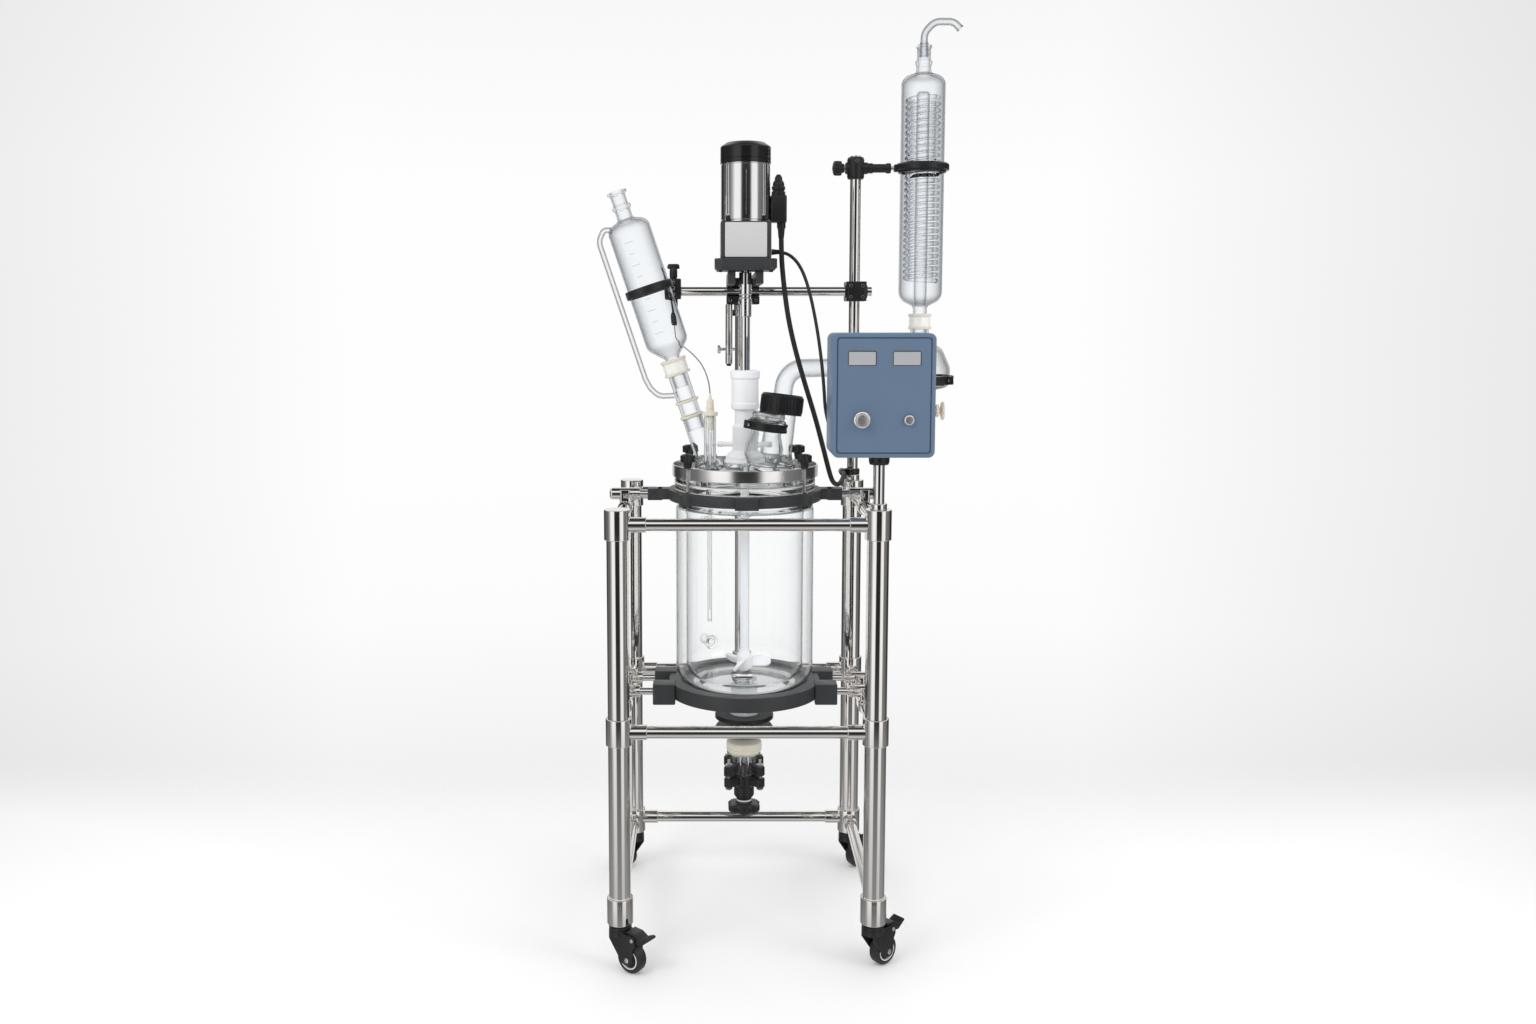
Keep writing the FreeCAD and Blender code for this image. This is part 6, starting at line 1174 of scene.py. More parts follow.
def condenserShapes():
    c = condenser
    wall, radius, neck = c["wall"], c["radius"], c["neck"]
    shell = turned([
        (neck - wall, c["neckFoot"]), (neck, c["neckFoot"], 1), (neck, c["foot"] - 18, 10), (radius, c["foot"], 32),
        (radius, c["head"], 36), (neck + 1, c["head"] + 12, 10), (neck + 1, c["neckHead"] - 44, 3),
        (neck + 3.4, c["neckHead"] - 40, 2), (neck + 3.4, c["neckHead"] - 34, 2), (neck - 0.4, c["neckHead"] - 30, 3),
        (neck, c["neckHead"], 1.2), (neck - wall, c["neckHead"]), (neck - wall, c["head"] + 12 - wall, 10),
        (radius - wall, c["head"] - wall, 33), (radius - wall, c["foot"] + wall, 29), (neck - wall, c["foot"] - 18 + wall, 10),
    ], "thinGlass", 128, steps=12)
    span = c["coilHead"] - c["coilFoot"]
    turn = np.linspace(0, 1, c["turns"] * 28 + 1)
    angle = turn * c["turns"] * 2 * np.pi
    helix = np.stack([c["coilRadius"] * np.cos(angle), c["coilRadius"] * np.sin(angle), c["coilFoot"] + span * turn], -1)
    tangent = np.gradient(helix, axis=0)
    tangent /= np.linalg.norm(tangent, axis=1)[:, None]
    outward = np.stack([np.cos(angle), np.sin(angle), 0 * angle], -1)
    up = np.cross(tangent, outward)
    ring = np.arange(10) * 2 * np.pi / 10
    grid = helix[:, None] + c["coilTube"] * (np.cos(ring)[None, :, None] * outward[:, None]
                                             + np.sin(ring)[None, :, None] * up[:, None])
    ends = [np.broadcast_to(helix[end], (1, 10, 3)) for end in (0, -1)]
    coil = skin(np.concatenate([ends[0], grid, ends[1]]), "coilGlass", loop=False)
    core = turned([(0, c["foot"] - 14), (13.8, c["foot"] - 14), (c["core"], c["foot"] + 6, 4), (c["core"], c["coilHead"] + 14, 8),
                   (0, c["coilHead"] + 18)], "thinGlass", 64)
    coreSpace = turned([(0, c["foot"] - 8), (11.8, c["foot"] - 10), (c["core"] - 2.4, c["foot"] + 6, 4),
                        (c["core"] - 2.4, c["coilHead"] + 12, 6), (0, c["coilHead"] + 15)], "thinGlass", 64, cavity=True)
    return [atCondenser(shape) for shape in (shell, coil, core, coreSpace)]


def ventShapes():
    x, y, head = condenser["x"], condenser["y"], condenser["neckHead"]
    route = bent([(x, y, head - 20), (x, y, head + 38), (x + 26, y, head + 66), (x + 74, y, head + 66),
                  (x + 92, y, head + 48)], 34, 12)
    pipe = tube(route, 9.2, "tubeGlass", bore=7.2)
    cone = turned([(8.5, head - 22), (13.6, head - 22, 0.5), (14.6, head), (20.6, head + 0.2, 1.5), (20.6, head + 6, 2),
                   (12, head + 10, 4), (9.4, head + 16, 3), (8.5, head + 16)], "thinGlass", 64)
    lip = turned([(7.4, 0), (10.3, 0, 1.2), (10.3, 3, 1.2), (9.2, 4.5), (7.4, 4.5)], "thinGlass", 40)
    end, aheadX = route[-1], math.degrees(math.atan2(18, -18))
    return [pipe, atCondenser(cone), put(lip, end[0] - 3, end[1], end[2] + 3, (0, 1, 0), aheadX)]


# A ribbed PTFE collar over a ground joint: a ridge at each end and flats between them.
def jointCollar(radius, bore, height, flats=8):
    waist = lambda angle: 1 + 0.03 * np.cos(flats * angle)
    ends = [turned([(bore, z), (radius - 1, z, 1), (radius, z + 2, 1), (radius, z + 5, 1), (radius - 2.5, z + 7, 1), (bore, z + 7)],
                   "creamPtfe", 80) for z in (0, height - 7)]
    body = turned([(bore, 5), (radius - 3.4, 5), (radius - 3.4, height - 5), (bore, height - 5)], "silicone", 80, lobes=waist)
    return ends + [body]


funnel = {"x": -90, "y": 18, "tilt": -18.5, "crown": 1136}


def onFunnel(shape, along=0):
    lean = math.radians(funnel["tilt"])
    return put(shape, funnel["x"] + along * math.sin(lean), funnel["y"], funnel["crown"] + along * math.cos(lean),
               (0, 1, 0), funnel["tilt"])


def collarShapes():
    shapes = [put(shape, condenser["x"], condenser["y"], 1459.1) for shape in jointCollar(30, 18.1, 40)]
    shapes += [onFunnel(shape, 227) for shape in jointCollar(32, 17.1, 40)]
    for along in (119, 156):
        shapes.append(onFunnel(turned([(24.1, 0), (29, 0, 2), (29, 7, 2), (24.1, 7)], "creamPtfe", 64), along))
    return shapes


headSizes = {"radius": 80, "joint": 1330, "neckHead": 1459, "key": 1246}


def headShapes():
    radius, joint, key = headSizes["radius"], headSizes["joint"], headSizes["key"]
    dome = turned([
        (18.05, 1459), (24, 1459, 1.5), (24, joint + 96, 10), (radius - 22, joint + 80, 26), (radius, joint + 30, 36),
        (radius, joint + 9, 3), (radius + 5, joint + 7, 2), (radius + 5, joint, 1.5), (radius - 5, joint),
        (radius - 5, joint + 28, 32), (radius - 26, joint + 75, 22), (18.05, joint + 90, 6),
    ], "thinGlass", 128, steps=12)
    bowl = turned([
        (radius - 5, joint - 0.1), (radius + 5, joint - 0.1, 1.5), (radius + 5, joint - 8, 3), (radius - 10, joint - 22, 14),
        (20, joint - 34, 10), (20, key - 26, 1.5), (16, key - 26), (16, joint - 29, 8), (radius - 14, joint - 17, 10),
    ], "thinGlass", 128, steps=12)
    barrel = aim(turned([(8.1, 4), (13, 4, 1), (13, 46, 2), (8.1, 46)], "thinGlass", 64), condenser["x"], condenser["y"], key, "x")
    start = np.array([75.0, 56.0])
    toward = np.array([386.0, 214.0])
    span = np.hypot(*toward)
    toward /= span
    lean = math.tan(math.radians(8))
    reaches = [((1262 - 1136) * lean, 1262), ((1364 - 1136) * lean, 1364), (span - radius + 14, 1364)]
    route = bent([(*(start + toward * reach), z) for reach, z in reaches], 85, 16)
    arm = tube(route, 23, "thinGlass", bore=20, side=(-toward[1], toward[0], 0), around=72)
    return [atCondenser(dome), atCondenser(bowl), barrel, arm]


def bandShapes(radius, bore, height, turn):
    band = turned([(bore, 0), (radius, 0, 1.5), (radius, height * 0.3, 1), (radius - 1.4, height * 0.36), (radius - 1.4, height * 0.64),
                   (radius, height * 0.7, 1), (radius, height, 1.5), (bore, height)], "blackPlastic", 128)
    shapes = [band]
    for side in (-1, 1):
        lug = put(block(12, 6.6, height - 1, "blackPlastic", 2, 1), -radius - 3, side * 4.6, 0.5)
        shapes.append(lug)
        shapes += [put(part, -radius - 3, side * 7.8, height / 2) for part in capScrew(0, 0, 0, "y" if side > 0 else "-y", 2.8)]
    return [put(shape, turn=turn) for shape in shapes]


def onPort(shape, along):
    tilt = math.radians(8)
    return put(shape, 36 + along * math.sin(tilt), -92, 1136 + along * math.cos(tilt), (0, 1, 0), 8)


def jointClampShapes():
    head = [put(shape, condenser["x"], condenser["y"], 1317) for shape in bandShapes(90, 85.3, 22, 140)]
    return head + [onPort(shape, 90) for shape in bandShapes(48, 44.3, 20, 20)]


def stopcockShapes():
    x, y, z = condenser["x"], condenser["y"], headSizes["key"]
    key = aim(turned([(0, 0), (7.6, 0, 1), (8, 24), (0, 24)], "creamPtfe", 48), x + 24, y, z, "x")
    collar = aim(turned([(0, 0), (17, 0, 1.5), (17, 7, 1.5), (0, 7)], "creamPtfe", 64), x + 46.3, y, z, "x")
    disc = aim(turned([(0, 0), (8, 0), (8, 5, 2), (22, 7, 2), (24, 9, 1.5), (24, 13, 2), (10, 14, 1), (0, 12)], "creamPtfe", 72,
                      lobes=lambda angle: 1 + 0.02 * np.cos(18 * angle)), x + 53.3, y, z, "x")
    return [key, collar, disc]


def coverShapes():
    cover = turned([(0, 0), (43, 0, 1), (43, 6, 2), (38, 9, 2), (38, 14, 1), (39.5, 16, 1), (38, 18, 1), (38, 24, 6), (0, 24)],
                   "clearGlass", 96, steps=10)
    inside = turned([(0, 3.5), (33, 3.5, 2), (33, 20, 5), (0, 20)], "clearGlass", 96, cavity=True)
    return [onPort(shape, 108.3) for shape in (cover, inside)]


def screwCapShapes():
    ribs = lambda angle: 1 + 0.03 * np.clip(np.cos(40 * angle) + 0.4, 0, 1)
    skirt = turned([(40.3, 0), (51.4, 0, 1.5), (52, 6, 1), (52, 44, 2), (48, 49.5, 2), (43, 50, 1), (42, 44, 2), (23.4, 44),
                    (23.4, 40), (40.3, 40)], "blackPlastic", 320)
    ribbed = turned([(49, 7), (51.5, 7.5), (51.5, 43), (49, 44)], "blackPlastic", 480, lobes=ribs)
    shift = 158 + 9.3 - 50
    return [onNeck(put(shape, 0, 0, shift), "capped") for shape in (skirt, ribbed)]


def dropFunnelShapes():
    wall, body, stem, top = 3, 51.5, 17, 19
    shell = turned([
        (stem - wall, 196), (stem, 196, 1), (stem, 270, 10), (body, 304, 28), (body, 606, 38), (top, 618, 8), (top, 641, 2),
        (top + 4, 644, 2), (top + 4, 651, 2), (top - 1, 655, 3), (top, 678, 2), (top + 5, 681, 2), (top + 5, 687, 2),
        (top - wall, 687, 1), (top - wall, 618 - wall, 8), (body - wall, 606 - wall, 35), (body - wall, 304 + wall, 25),
        (stem - wall, 270 + wall, 10),
    ], "thinGlass", 128, steps=12)
    side, low, high = 78, 182, 608
    route = bent([(-40, 0, high - 4), (-58, 0, high + 3), (-side, 0, high - 20), (-side, 0, low + 60), (-side + 4, 0, low + 36),
                  (-60, 0, low + 10), (-24, 0, low)], 30, 10)
    arm = tube(route, 6.8, "tubeGlass", bore=4.9)
    ticks = []
    for step in range(9):
        width = 0.42 if step % 2 == 0 else 0.25
        angle = np.linspace(-width / 2, width / 2, 7) - 1.75
        grid = np.stack([np.stack([r * np.cos(angle), r * np.sin(angle), np.full(7, z)], -1)
                         for r, z in ((body + 0.05, 0), (body + 0.3, 0), (body + 0.3, 0.9), (body + 0.05, 0.9))], 1)
        ends = [np.broadcast_to(grid[i].mean(axis=0), (1, 4, 3)) for i in (0, -1)]
        ticks.append(put(skin(np.concatenate([ends[0], grid, ends[1]]), "mark", loop=False), 0, 0, 560 - 28 * step))
    return [onFunnel(shape) for shape in [shell, arm] + ticks]


def adapterShapes():
    glassPart = turned([(17, 88), (20.9, 88, 1), (20.9, 118.1), (24, 118.2, 0.5), (24, 226, 2), (17.1, 226), (17.1, 196),
                        (17, 192)], "clearGlass", 80, steps=6)
    return [onFunnel(glassPart)]


def funnelClampShapes():
    band = turned([(51.8, 0), (57, 0, 1.5), (58.5, 3, 1), (58.5, 17, 1), (57, 20, 1.5), (51.8, 20)], "blackPlastic", 128)
    z, bossX = barPlace["z"], -178
    arm = aim(rod(6, barPlace["y"] - 20 - 44, "blackPlastic", 0.5, 32), bossX, 44, z + 6, "y")
    boss = put(block(38, 46, 52, "blackPlastic", 6, 2), bossX, 229, z - 20)
    tail = put(block(10, 8, 70, "blackPlastic", 3, 1.5), bossX + 6, 210, z - 86)
    swell = put(turned([(0, 0), (8, 0, 3), (10, 8, 3), (10, 26, 3), (7, 34, 3), (0, 34)], "blackPlastic", 40), bossX + 6, 210, z - 86)
    shapes = [onFunnel(band, 432), arm, boss, tail, swell]
    shapes += capScrew(bossX, 206.3, z + 22, "-y", 4) + capScrew(bossX, 206.3, z - 8, "-y", 4)
    return shapes


def wingKnobShapes():
    x, y, z = -178, 220, barPlace["z"] + 32.3
    stem = put(rod(5, 34, "brightSteel", 0.5, 32), x, y, z - 17.3)
    grip = turned([(0, 0), (8, 0, 1), (10, 3, 2), (10, 20, 3), (8, 28, 2), (0, 28)], "blackPlastic", 48)
    wing = slab([(-17, -6, 4), (17, -6, 4), (14, 7, 5), (-14, 7, 5)], 9, "blackPlastic", 2.5)
    wing = put(put(wing, 0, 4.5, 0, (1, 0, 0), 90), x, y, z + 30)
    return [stem, put(grip, x, y, z), wing]


piece("condenser_glass", "stand", condenserShapes(), "condenser")
piece("vent_bend", "stand", ventShapes(), "vent_tube")
piece("ptfe_collars", "stand", collarShapes(), "joint_collars")
piece("reflux_glass", "stand", headShapes(), "reflux_head")
piece("clamp_bands", "stand", jointClampShapes(), "joint_clamps")
piece("stopcock_key", "head_stopcock", stopcockShapes(), "head_stopcock")
piece("front_port_cover", "port_cover", coverShapes(), "port_cover")
piece("ribbed_cap", "port_screw_cap", screwCapShapes(), "port_screw_cap")
piece("funnel_glass", "stand", dropFunnelShapes(), "dropping_funnel")
piece("funnel_joint", "stand", adapterShapes(), "funnel_adapter")
piece("funnel_ring", "stand", funnelClampShapes(), "funnel_clamp")
piece("funnel_wing_knob", "funnel_clamp_knob", wingKnobShapes(), "funnel_clamp_knob")
print("condenser, reflux head and funnel made")


# Control box

panel = {"x": 290, "front": -340, "back": -200, "foot": 1187, "width": 222, "height": 268, "corner": 14, "rim": 9,
         "screenZ": 1401, "screenShift": 48, "rowZ": 1269, "knobX": 243, "buttonX": 344}


# A shape drawn in x and y and raised along z is stood up, so that it rises towards the front from a given y.
def upright(shape, x, back, z):
    return put(shape, x, back, z, (1, 0, 0), 90)


def controlBoxShapes():
    p = panel
    middle, depth = p["foot"] + p["height"] / 2, p["back"] - p["front"]
    rim = p["rim"]
    outline = rectangle(p["width"], p["height"], p["corner"])
    casing = stack(outline, [(4, 0), (1.2, 1.2), (0, 4), (0, depth - 3), (0.9, depth - 0.9), (3, depth), (rim - 0.8, depth),
                             (rim, depth - 0.8), (rim, depth - 4)], "boxPaint", 10)
    plateShape = stack(rectangle(p["width"] - 2 * rim - 5, p["height"] - 2 * rim - 5, p["corner"] - 6),
                       [(0, 0), (0, 2.2), (0.8, 3)], "boxPaint", 10)
    shapes = [upright(casing, p["x"], p["back"], middle), upright(plateShape, p["x"], p["front"] + 3, middle)]
    for shift in (-p["screenShift"], p["screenShift"]):
        frameRing = stack(rectangle(62, 33, 2.5), [(0, 0), (0, 1.0), (0.6, 1.5), (2.2, 1.5), (2.6, 0.9)], "satinSteel")
        face = stack(rectangle(57, 28, 1.5), [(0, 0), (0, 0.5), (0.2, 0.7)], "screen")
        shapes += [upright(frameRing, p["x"] + shift, p["front"] + 0.4, p["screenZ"]),
                   upright(face, p["x"] + shift, p["front"] - 0.3, p["screenZ"])]
    for x, radius in ((p["knobX"], 16.5), (p["buttonX"], 10.4)):
        washer = turned([(4.2, -0.4), (radius, -0.4), (radius, 0, 0.2), (4.2, 0)], "blackPlastic", 64)
        shapes.append(put(washer, x, p["front"], p["rowZ"], (1, 0, 0), 90))
    gland = turned([(0, -1), (13, -1), (13, 4, 1), (9, 6), (9, 14, 1.5), (4.1, 14), (4.1, 6), (0, 6)], "blackPlastic", 40)
    relief = turned([(4.1, 13), (6.8, 13), (6.4, 18, 2), (4.8, 32, 0.6), (4.1, 32)], "blackPlastic", 32)
    shapes += [aim(shape, 209, p["back"], 1212, "y") for shape in (gland, relief)]
    return shapes


def speedKnobShapes():
    knurl = lambda angle: 1 + 0.012 * np.cos(48 * angle)
    spindle = turned([(0, -14), (4, -14), (4, 0), (0, 0)], "satinSteel", 32)
    skirt = turned([(0, 0), (18, 0, 0.6), (18, 4.2, 1), (15.2, 5.4, 0.5), (0, 5.4)], "brightSteel", 96)
    grip = turned([(0, 5), (15, 5), (14.4, 17, 0.5), (0, 17)], "satinSteel", 192, lobes=knurl)
    top = turned([(0, 16.5), (13.8, 16.5), (13.8, 17.0, 0.8), (12.6, 17.6, 0.5), (0, 19)], "spunSteel", 96)
    mark = put(block(1.2, 6, 0.5, "blackPlastic", 0.5, 0.2), 0, 9, 17.7)
    return [put(shape, panel["knobX"], panel["front"] - 0.3, panel["rowZ"], (1, 0, 0), 90)
            for shape in (spindle, skirt, grip, top, mark)]


def buttonShapes():
    stem = turned([(0, -12), (8, -12), (8, 4), (0, 4)], "satinSteel", 40)
    cap = turned([(0, 4), (11, 4, 0.5), (11, 7, 1.2), (8.6, 8, 0.4), (8, 7.2, 0.4), (0, 8)], "spunSteel", 72)
    return [put(shape, panel["buttonX"], panel["front"], panel["rowZ"], (1, 0, 0), 90) for shape in (stem, cap)]


piece("control_casing", "stand", controlBoxShapes(), "control_box")
piece("speed_dial", "speed_knob", speedKnobShapes(), "speed_knob")
piece("push_button", "power_button", buttonShapes(), "power_button")
print("control box made")


# Drain

def drainValveShapes():
    upper = turned([(24.06, 506.1), (68, 506.1, 1), (72, 508, 1), (72, 516.1, 1), (70, 518.1, 1), (24.06, 518.1)], "blackPlastic", 96)
    lower = turned([(24.06, 475.9), (66, 475.9, 1.5), (72, 482, 2), (68, 487.8, 1.5), (24.06, 487.8)], "blackPlastic", 96)
    washer = turned([(24.06, 518.2), (36, 518.2, 1), (36, 528, 1), (24.06, 528)], "whitePtfe", 64)
    body = turned([(22.06, 366), (28, 366, 1.5), (28, 338, 2), (25, 334, 2), (25, 309, 2), (9.05, 309), (9.05, 332), (22.06, 332)],
                  "blackPlastic", 80)
    collar = turned([(22.06, 370), (30, 370, 2), (30, 396, 2), (22.06, 396)], "blackPlastic", 80)
    ring = turned([(9.05, 303.9), (20.5, 303.9, 1), (22, 306, 1), (22, 308.8, 0.6), (9.05, 308.8)], "blackPlastic", 64)
    shapes = [upper, lower, washer, body, collar, ring]
    for turn in (45, 135, 225, 315):
        x, y = 54 * math.cos(math.radians(turn)), 54 * math.sin(math.radians(turn))
        for foot in (372, 343):
            lug = put(slab([(-32, -11, 2), (11, -11, 8), (11, 11, 8), (-32, 11, 2)], 22, "blackPlastic", 1.6), 53, 0, foot)
            shapes.append(put(lug, turn=turn))
        shapes.append(put(thread(4, 76, 1.25, 0.5, "thread"), x, y, 335))
        for z, way in ((394, "z"), (343, "-z")):
            nut = turned([(4.0, 0), (7.4, 0, 0.8), (7.4, 6, 0.8), (4.0, 6)], "brightSteel", 48,
                         lobes=lambda angle: 1 / np.cos(np.mod(angle, np.pi / 3) - np.pi / 6))
            shapes.append(aim(nut, x, y, z, way))
    for turn in range(6):
        x, y = 60 * math.cos(turn * math.pi / 3), 60 * math.sin(turn * math.pi / 3)
        shapes += capScrew(x, y, 476, "-z", 4, "blackPlastic")
    return shapes


def outletShapes():
    ribs = lambda angle: 1 + 0.008 * np.cos(36 * angle)
    collar = turned([(22.2, 414), (32, 414, 2), (40, 422, 3), (43.2, 427, 1), (43.2, 431, 1), (41.5, 432.5, 1), (43.2, 434, 1),
                     (43.2, 447, 6), (27, 458, 3), (22.2, 458)], "creamPtfe", 144, lobes=ribs)
    seat = turned([(16, 334), (22, 334, 1), (22, 462, 4), (24, 468, 2),
                   (24, 486, 2), (34, 488, 1.5), (34, 496.8, 1.5), (18, 496.8), (18, 430, 6), (16, 413, 4)], "clearGlass", 96,
                  steps=8)
    arm = turned([(9.2, 26), (18, 26), (18, 66, 3), (19.5, 68, 1), (18, 72, 1), (19.5, 75, 1), (18, 79, 1), (17, 84, 1), (9.2, 84)],
                 "clearGlass", 64)
    return [seat, collar, put(arm, 0, 0, 440, (1, 0, 0), 180 - 38)]


def drainKnobShapes():
    head = 309 - 5.3
    lobes = lambda angle: 1 - 0.16 * np.exp(-((np.mod(angle + np.pi / 6, np.pi / 3) - np.pi / 6) / 0.2) ** 2)
    grip = turned([(0, head - 36), (28, head - 36, 3), (40, head - 32, 3), (41.5, head - 28, 2), (41.5, head - 18, 2),
                   (37, head - 14.5, 3), (18, head - 13), (0, head - 13)], "blackPlastic", 192, lobes=lobes)
    neck = turned([(0, head - 14), (21, head - 14), (18.5, head - 10, 2), (18, head - 0.2, 1), (0, head - 0.2)], "blackPlastic", 64)
    stem = put(rod(8.9, 588 - head, "whitePtfe", 2, 40), 0, 0, head)
    band = turned([(0, head - 8), (18.6, head - 8), (18.6, head - 4), (0, head - 4)], "paleRim", 64)
    return [grip, neck, stem, band]


piece("drain_body", "stand", drainValveShapes(), "drain_valve")
piece("drain_glass", "stand", outletShapes(), "drain_outlet")
piece("drain_handwheel", "drain_knob", drainKnobShapes(), "drain_knob")
print("drain made")


# Cables

cables = {
    "motor_cable": {"radius": 6, "length": 0.80, "points": [
        (85.1, 0, 1701), (85.1, 0, 1640), (92, 5, 1568), (103, 9, 1488), (122, 15, 1408), (146, 23, 1328), (172, 35, 1248),
        (194, 52, 1170), (209, 72, 1116), (220, 96, 1084), (232, 122, 1070), (245, 150, 1068), (256, 180, 1078),
        (262, 208, 1087), (262, 236, 1087)]},
    "sensor_cable": {"radius": 4, "length": 0.6, "points": [
        (68, 20, 1645), (92, 20, 1645), (114, 16, 1633), (132, 8, 1610), (146, -8, 1574), (158, -28, 1524), (170, -54, 1452),
        (178, -82, 1378), (182, -98, 1320), (184, -108, 1274), (194, -120, 1232), (209, -148, 1212), (209, -186, 1212)]},
    "probe_lead": {"radius": 1.6, "length": 0.4, "points": [
        (-84, -96, 1301.1), (-84, -96, 1320), (-90, -84, 1350), (-102, -54, 1376), (-116, -14, 1392), (-130, 32, 1404),
        (-142, 80, 1412), (-152, 126, 1418), (-161, 168, 1424), (-170, 200, 1436), (-172, 210, 1456), (-172, 210, 1470)]},
}


# A cable's line is a smooth NURBS curve of order 3 through its ends, with the route's points as control points.
def cableLine(name, values):
    curve = bpy.data.curves.new(name, "CURVE")
    curve.dimensions = "3D"
    spline = curve.splines.new("NURBS")
    spline.points.add(len(values["points"]) - 1)
    for point, place in zip(spline.points, values["points"]):
        point.co = (*[value * mm for value in place], 1)
    spline.order_u = 3
    spline.use_endpoint_u = True
    spline.resolution_u = 12
    curve.bevel_depth = values["radius"] * mm
    curve.bevel_resolution = 6
    curve.use_fill_caps = True
    curve.materials.append(finishOf("rubber" if values["radius"] > 2 else "lead"))
    thing = bpy.data.objects.new(name + "_line", curve)
    bpy.context.scene.collection.objects.link(thing)
    settle(thing, "stand", name)


for name, values in cables.items():
    cableLine(name, values)
print("cables made")


# Floor, light and camera

studio = {"floor": (0.94, 0.94, 0.945), "ambient": 0.95}


def studioWorld():
    world = bpy.data.worlds.new("studio")
    bpy.context.scene.world = world
    world.use_nodes = True
    tree = world.node_tree
    link = tree.links.new
    tree.nodes.clear()
    out = addNode(tree, "OutputWorld")
    way = addNode(tree, "TexCoord").outputs["Generated"]
    split = addNode(tree, "SeparateXYZ")
    link(way, split.inputs[0])
    # What the camera and the glass see: white, with painted shade that greys it where wall and floor meet and towards
    # the sides
    wall = addNode(tree, "ValToRGB")
    setRamp(wall, [(0.0, 0.96), (0.25, 0.96), (0.29, 0.93), (0.328, 0.865), (0.35, 0.91), (0.39, 0.975), (0.445, 0.99),
                   (0.55, 0.99), (0.6125, 0.94), (1.0, 0.75)])
    height = addNode(tree, "MapRange", From_Min=-1.0, From_Max=1.0)
    link(split.outputs["Z"], height.inputs["Value"])
    link(height.outputs[0], wall.inputs[0])
    aside = addNode(tree, "Math", operation="ABSOLUTE")
    link(split.outputs["X"], aside.inputs[0])
    sides = addNode(tree, "ValToRGB")
    setRamp(sides, [(0.0, 1.0), (0.27, 1.0), (0.52, 0.84), (0.62, 0.8), (1.0, 0.78)])
    link(aside.outputs[0], sides.inputs[0])
    backdrop = addNode(tree, "VectorMath", operation="MULTIPLY")
    link(wall.outputs[0], backdrop.inputs[0])
    link(sides.outputs[0], backdrop.inputs[1])
    # What metal mirrors: dark walls with bright upright panels and a lit ceiling strip, by turn and by height
    turn = addNode(tree, "Math", operation="ARCTAN2")
    link(split.outputs["X"], turn.inputs[0])
    back = addNode(tree, "Math", operation="MULTIPLY")
    back.inputs[1].default_value = -1.0
    link(split.outputs["Y"], back.inputs[0])
    link(back.outputs[0], turn.inputs[1])
    share = addNode(tree, "MapRange", From_Min=-math.pi, From_Max=math.pi)
    link(turn.outputs[0], share.inputs["Value"])
    panels = addNode(tree, "ValToRGB")
    bands = [(-180, 0.9), (-160, 0.8), (-146, 0.02), (-126, 0.03), (-116, 0.11), (-80, 0.15), (-64, 0.45), (-52, 1.0), (-26, 1.0),
             (-18, 0.02), (20, 0.02), (29, 0.95), (52, 1.0), (60, 0.2), (98, 0.13), (110, 0.02), (142, 0.04), (152, 0.7),
             (180, 0.9)]
    setRamp(panels, [((angle + 180) / 360, tone) for angle, tone in bands])
    link(share.outputs[0], panels.inputs[0])
    rise = addNode(tree, "ValToRGB")
    setRamp(rise, [(0.0, 0.3), (0.06, 0.6), (0.12, 0.65), (0.2, 0.35), (0.3, 0.4), (0.44, 0.3), (0.5, 0.02), (0.58, 0.05),
                   (0.67, 0.32), (0.76, 1.0), (0.86, 1.0), (0.92, 0.25), (0.97, 0.04), (1.0, 0.03)])
    link(height.outputs[0], rise.inputs[0])
    above = addNode(tree, "MapRange", From_Min=0.2, From_Max=0.45, interpolation_type="SMOOTHSTEP")
    below = addNode(tree, "MapRange", From_Min=-0.15, From_Max=-0.75, interpolation_type="SMOOTHSTEP")
    tilt = addNode(tree, "Math", operation="MAXIMUM")
    for place, side in enumerate((above, below)):
        link(split.outputs["Z"], side.inputs["Value"])
        link(side.outputs[0], tilt.inputs[place])
    mirror = addNode(tree, "Mix", data_type="RGBA")
    link(tilt.outputs[0], mirror.inputs[0])
    link(panels.outputs[0], mirror.inputs[6])
    link(rise.outputs[0], mirror.inputs[7])
    ray = addNode(tree, "LightPath")
    direct = addNode(tree, "Math", operation="LESS_THAN")
    direct.inputs[1].default_value = 0.5
    link(ray.outputs["Diffuse Depth"], direct.inputs[0])
    passing = addNode(tree, "Math", operation="MULTIPLY")
    link(ray.outputs["Is Transmission Ray"], passing.inputs[0])
    link(direct.outputs[0], passing.inputs[1])
    seen = addNode(tree, "Math", operation="MAXIMUM")
    link(ray.outputs["Is Camera Ray"], seen.inputs[0])
    link(passing.outputs[0], seen.inputs[1])
    bounced = addNode(tree, "Math", operation="MULTIPLY")
    link(ray.outputs["Is Glossy Ray"], bounced.inputs[0])
    link(direct.outputs[0], bounced.inputs[1])
    plainLight = addNode(tree, "Mix", data_type="RGBA")
    plainLight.inputs[6].default_value = (*[studio["ambient"]] * 3, 1)
    link(bounced.outputs[0], plainLight.inputs[0])
    link(mirror.outputs[2], plainLight.inputs[7])
    final = addNode(tree, "Mix", data_type="RGBA")
    link(seen.outputs[0], final.inputs[0])
    link(plainLight.outputs[2], final.inputs[6])
    link(backdrop.outputs[0], final.inputs[7])
    light = addNode(tree, "Background")
    link(final.outputs[2], light.inputs["Color"])
    link(light.outputs[0], out.inputs["Surface"])


def setRamp(ramp, stops):
    elements = ramp.color_ramp.elements
    elements[0].position, elements[1].position = stops[0][0], stops[-1][0]
    elements[0].color, elements[1].color = [(*[stops[end][1]] * 3, 1) for end in (0, -1)]
    for place, tone in stops[1:-1]:
        elements.new(place).color = (tone, tone, tone, 1)


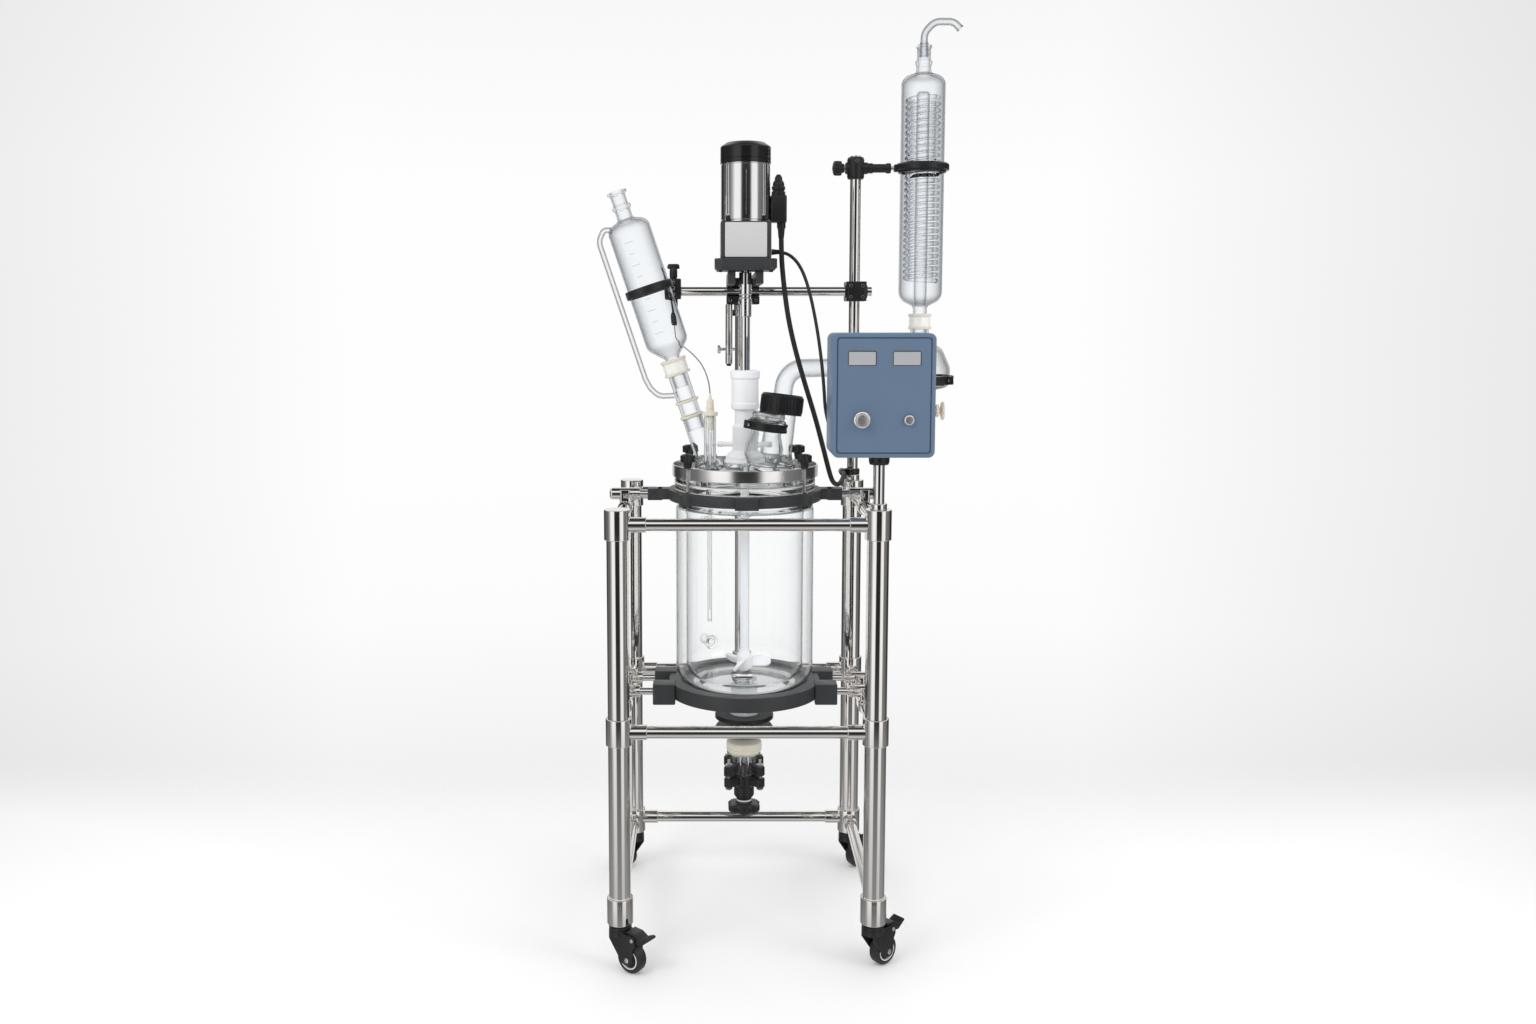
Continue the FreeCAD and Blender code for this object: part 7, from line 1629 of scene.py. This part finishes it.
# The floor is a pale disc that fades into the backdrop with its distance from the object.
def studioFloor():
    around, radii = 96, np.array([0.0, 500, 1500, 3000, 6000, 12000])
    angle = np.arange(around) * 2 * np.pi / around
    grid = np.stack([np.stack([r * np.cos(angle), r * np.sin(angle), 0 * angle], -1) for r in radii])
    shape = skin(grid, "floor", loop=False, flip=True)
    thing = bpy.data.objects.new("floor", meshOf("floor", [shape]))
    bpy.context.scene.collection.objects.link(thing)


def floorFinish():
    material, tree, shader = newMaterial("floor", studio["floor"], Roughness=0.85)
    shader.inputs["Specular IOR Level"].default_value = 0.15
    link = tree.links.new
    place = addNode(tree, "TexCoord").outputs["Object"]
    grain = addNode(tree, "TexNoise", Scale=3.0, Detail=3.0)
    link(place, grain.inputs["Vector"])
    tone = addNode(tree, "MapRange", To_Min=0.93, To_Max=0.95)
    link(grain.outputs["Fac"], tone.inputs["Value"])
    colour = addNode(tree, "CombineColor")
    for channel in range(3):
        link(tone.outputs[0], colour.inputs[channel])
    link(colour.outputs[0], shader.inputs["Base Color"])
    split = addNode(tree, "SeparateXYZ")
    link(place, split.inputs[0])
    behind = addNode(tree, "MapRange", From_Min=0.3, From_Max=1.2, interpolation_type="SMOOTHSTEP")
    link(split.outputs["Y"], behind.inputs["Value"])
    away = addNode(tree, "VectorMath", operation="LENGTH")
    link(place, away.inputs[0])
    far = addNode(tree, "MapRange", From_Min=1.2, From_Max=4.0, interpolation_type="SMOOTHSTEP")
    link(away.outputs["Value"], far.inputs["Value"])
    fade = addNode(tree, "Math", operation="MAXIMUM")
    link(behind.outputs[0], fade.inputs[0])
    link(far.outputs[0], fade.inputs[1])
    ray = addNode(tree, "LightPath")
    hidden = addNode(tree, "Math", operation="MAXIMUM")
    link(fade.outputs[0], hidden.inputs[0])
    link(ray.outputs["Is Glossy Ray"], hidden.inputs[1])
    clear = addNode(tree, "BsdfTransparent")
    either = addNode(tree, "MixShader")
    link(hidden.outputs[0], either.inputs[0])
    link(shader.outputs[0], either.inputs[1])
    link(clear.outputs[0], either.inputs[2])
    link(either.outputs[0], tree.nodes["Material Output"].inputs["Surface"])
    return material


finishes["floor"] = floorFinish


def softLamp(name, place, target, size, power):
    lamp = bpy.data.lights.new(name, "AREA")
    lamp.shape, lamp.size, lamp.size_y, lamp.energy = "RECTANGLE", size[0], size[1], power
    thing = bpy.data.objects.new(name, lamp)
    thing.location = place
    thing.rotation_euler = (Vector(target) - Vector(place)).to_track_quat("-Z", "Y").to_euler()
    thing.visible_glossy = False
    bpy.context.scene.collection.objects.link(thing)


view = {"place": (-0.0797, -3.105, 1.483), "down": 5.8425, "lens": 30.23, "shift": (0.0365, -0.0391)}


def photoCamera():
    lens = bpy.data.cameras.new("photo")
    lens.lens, lens.sensor_width = view["lens"], 36
    lens.shift_x, lens.shift_y = view["shift"]
    lens.clip_end = 60
    camera = bpy.data.objects.new("photo", lens)
    camera.location = view["place"]
    camera.rotation_euler = (math.radians(90 - view["down"]), 0, 0)
    bpy.context.scene.collection.objects.link(camera)
    bpy.context.scene.camera = camera


studioWorld()
studioFloor()
softLamp("keyLamp", (-2.4, -2.6, 3.6), (0, 0, 1.0), (1.6, 1.6), 40)
softLamp("fillLamp", (2.8, -1.8, 2.6), (0.1, 0, 1.0), (1.4, 1.8), 22)
photoCamera()
bpy.context.scene.view_settings.view_transform = "Standard"
bpy.context.scene.cycles.max_bounces = 24
bpy.context.scene.cycles.transmission_bounces = 24
bpy.context.scene.cycles.transparent_max_bounces = 32
print("floor, light and camera set")
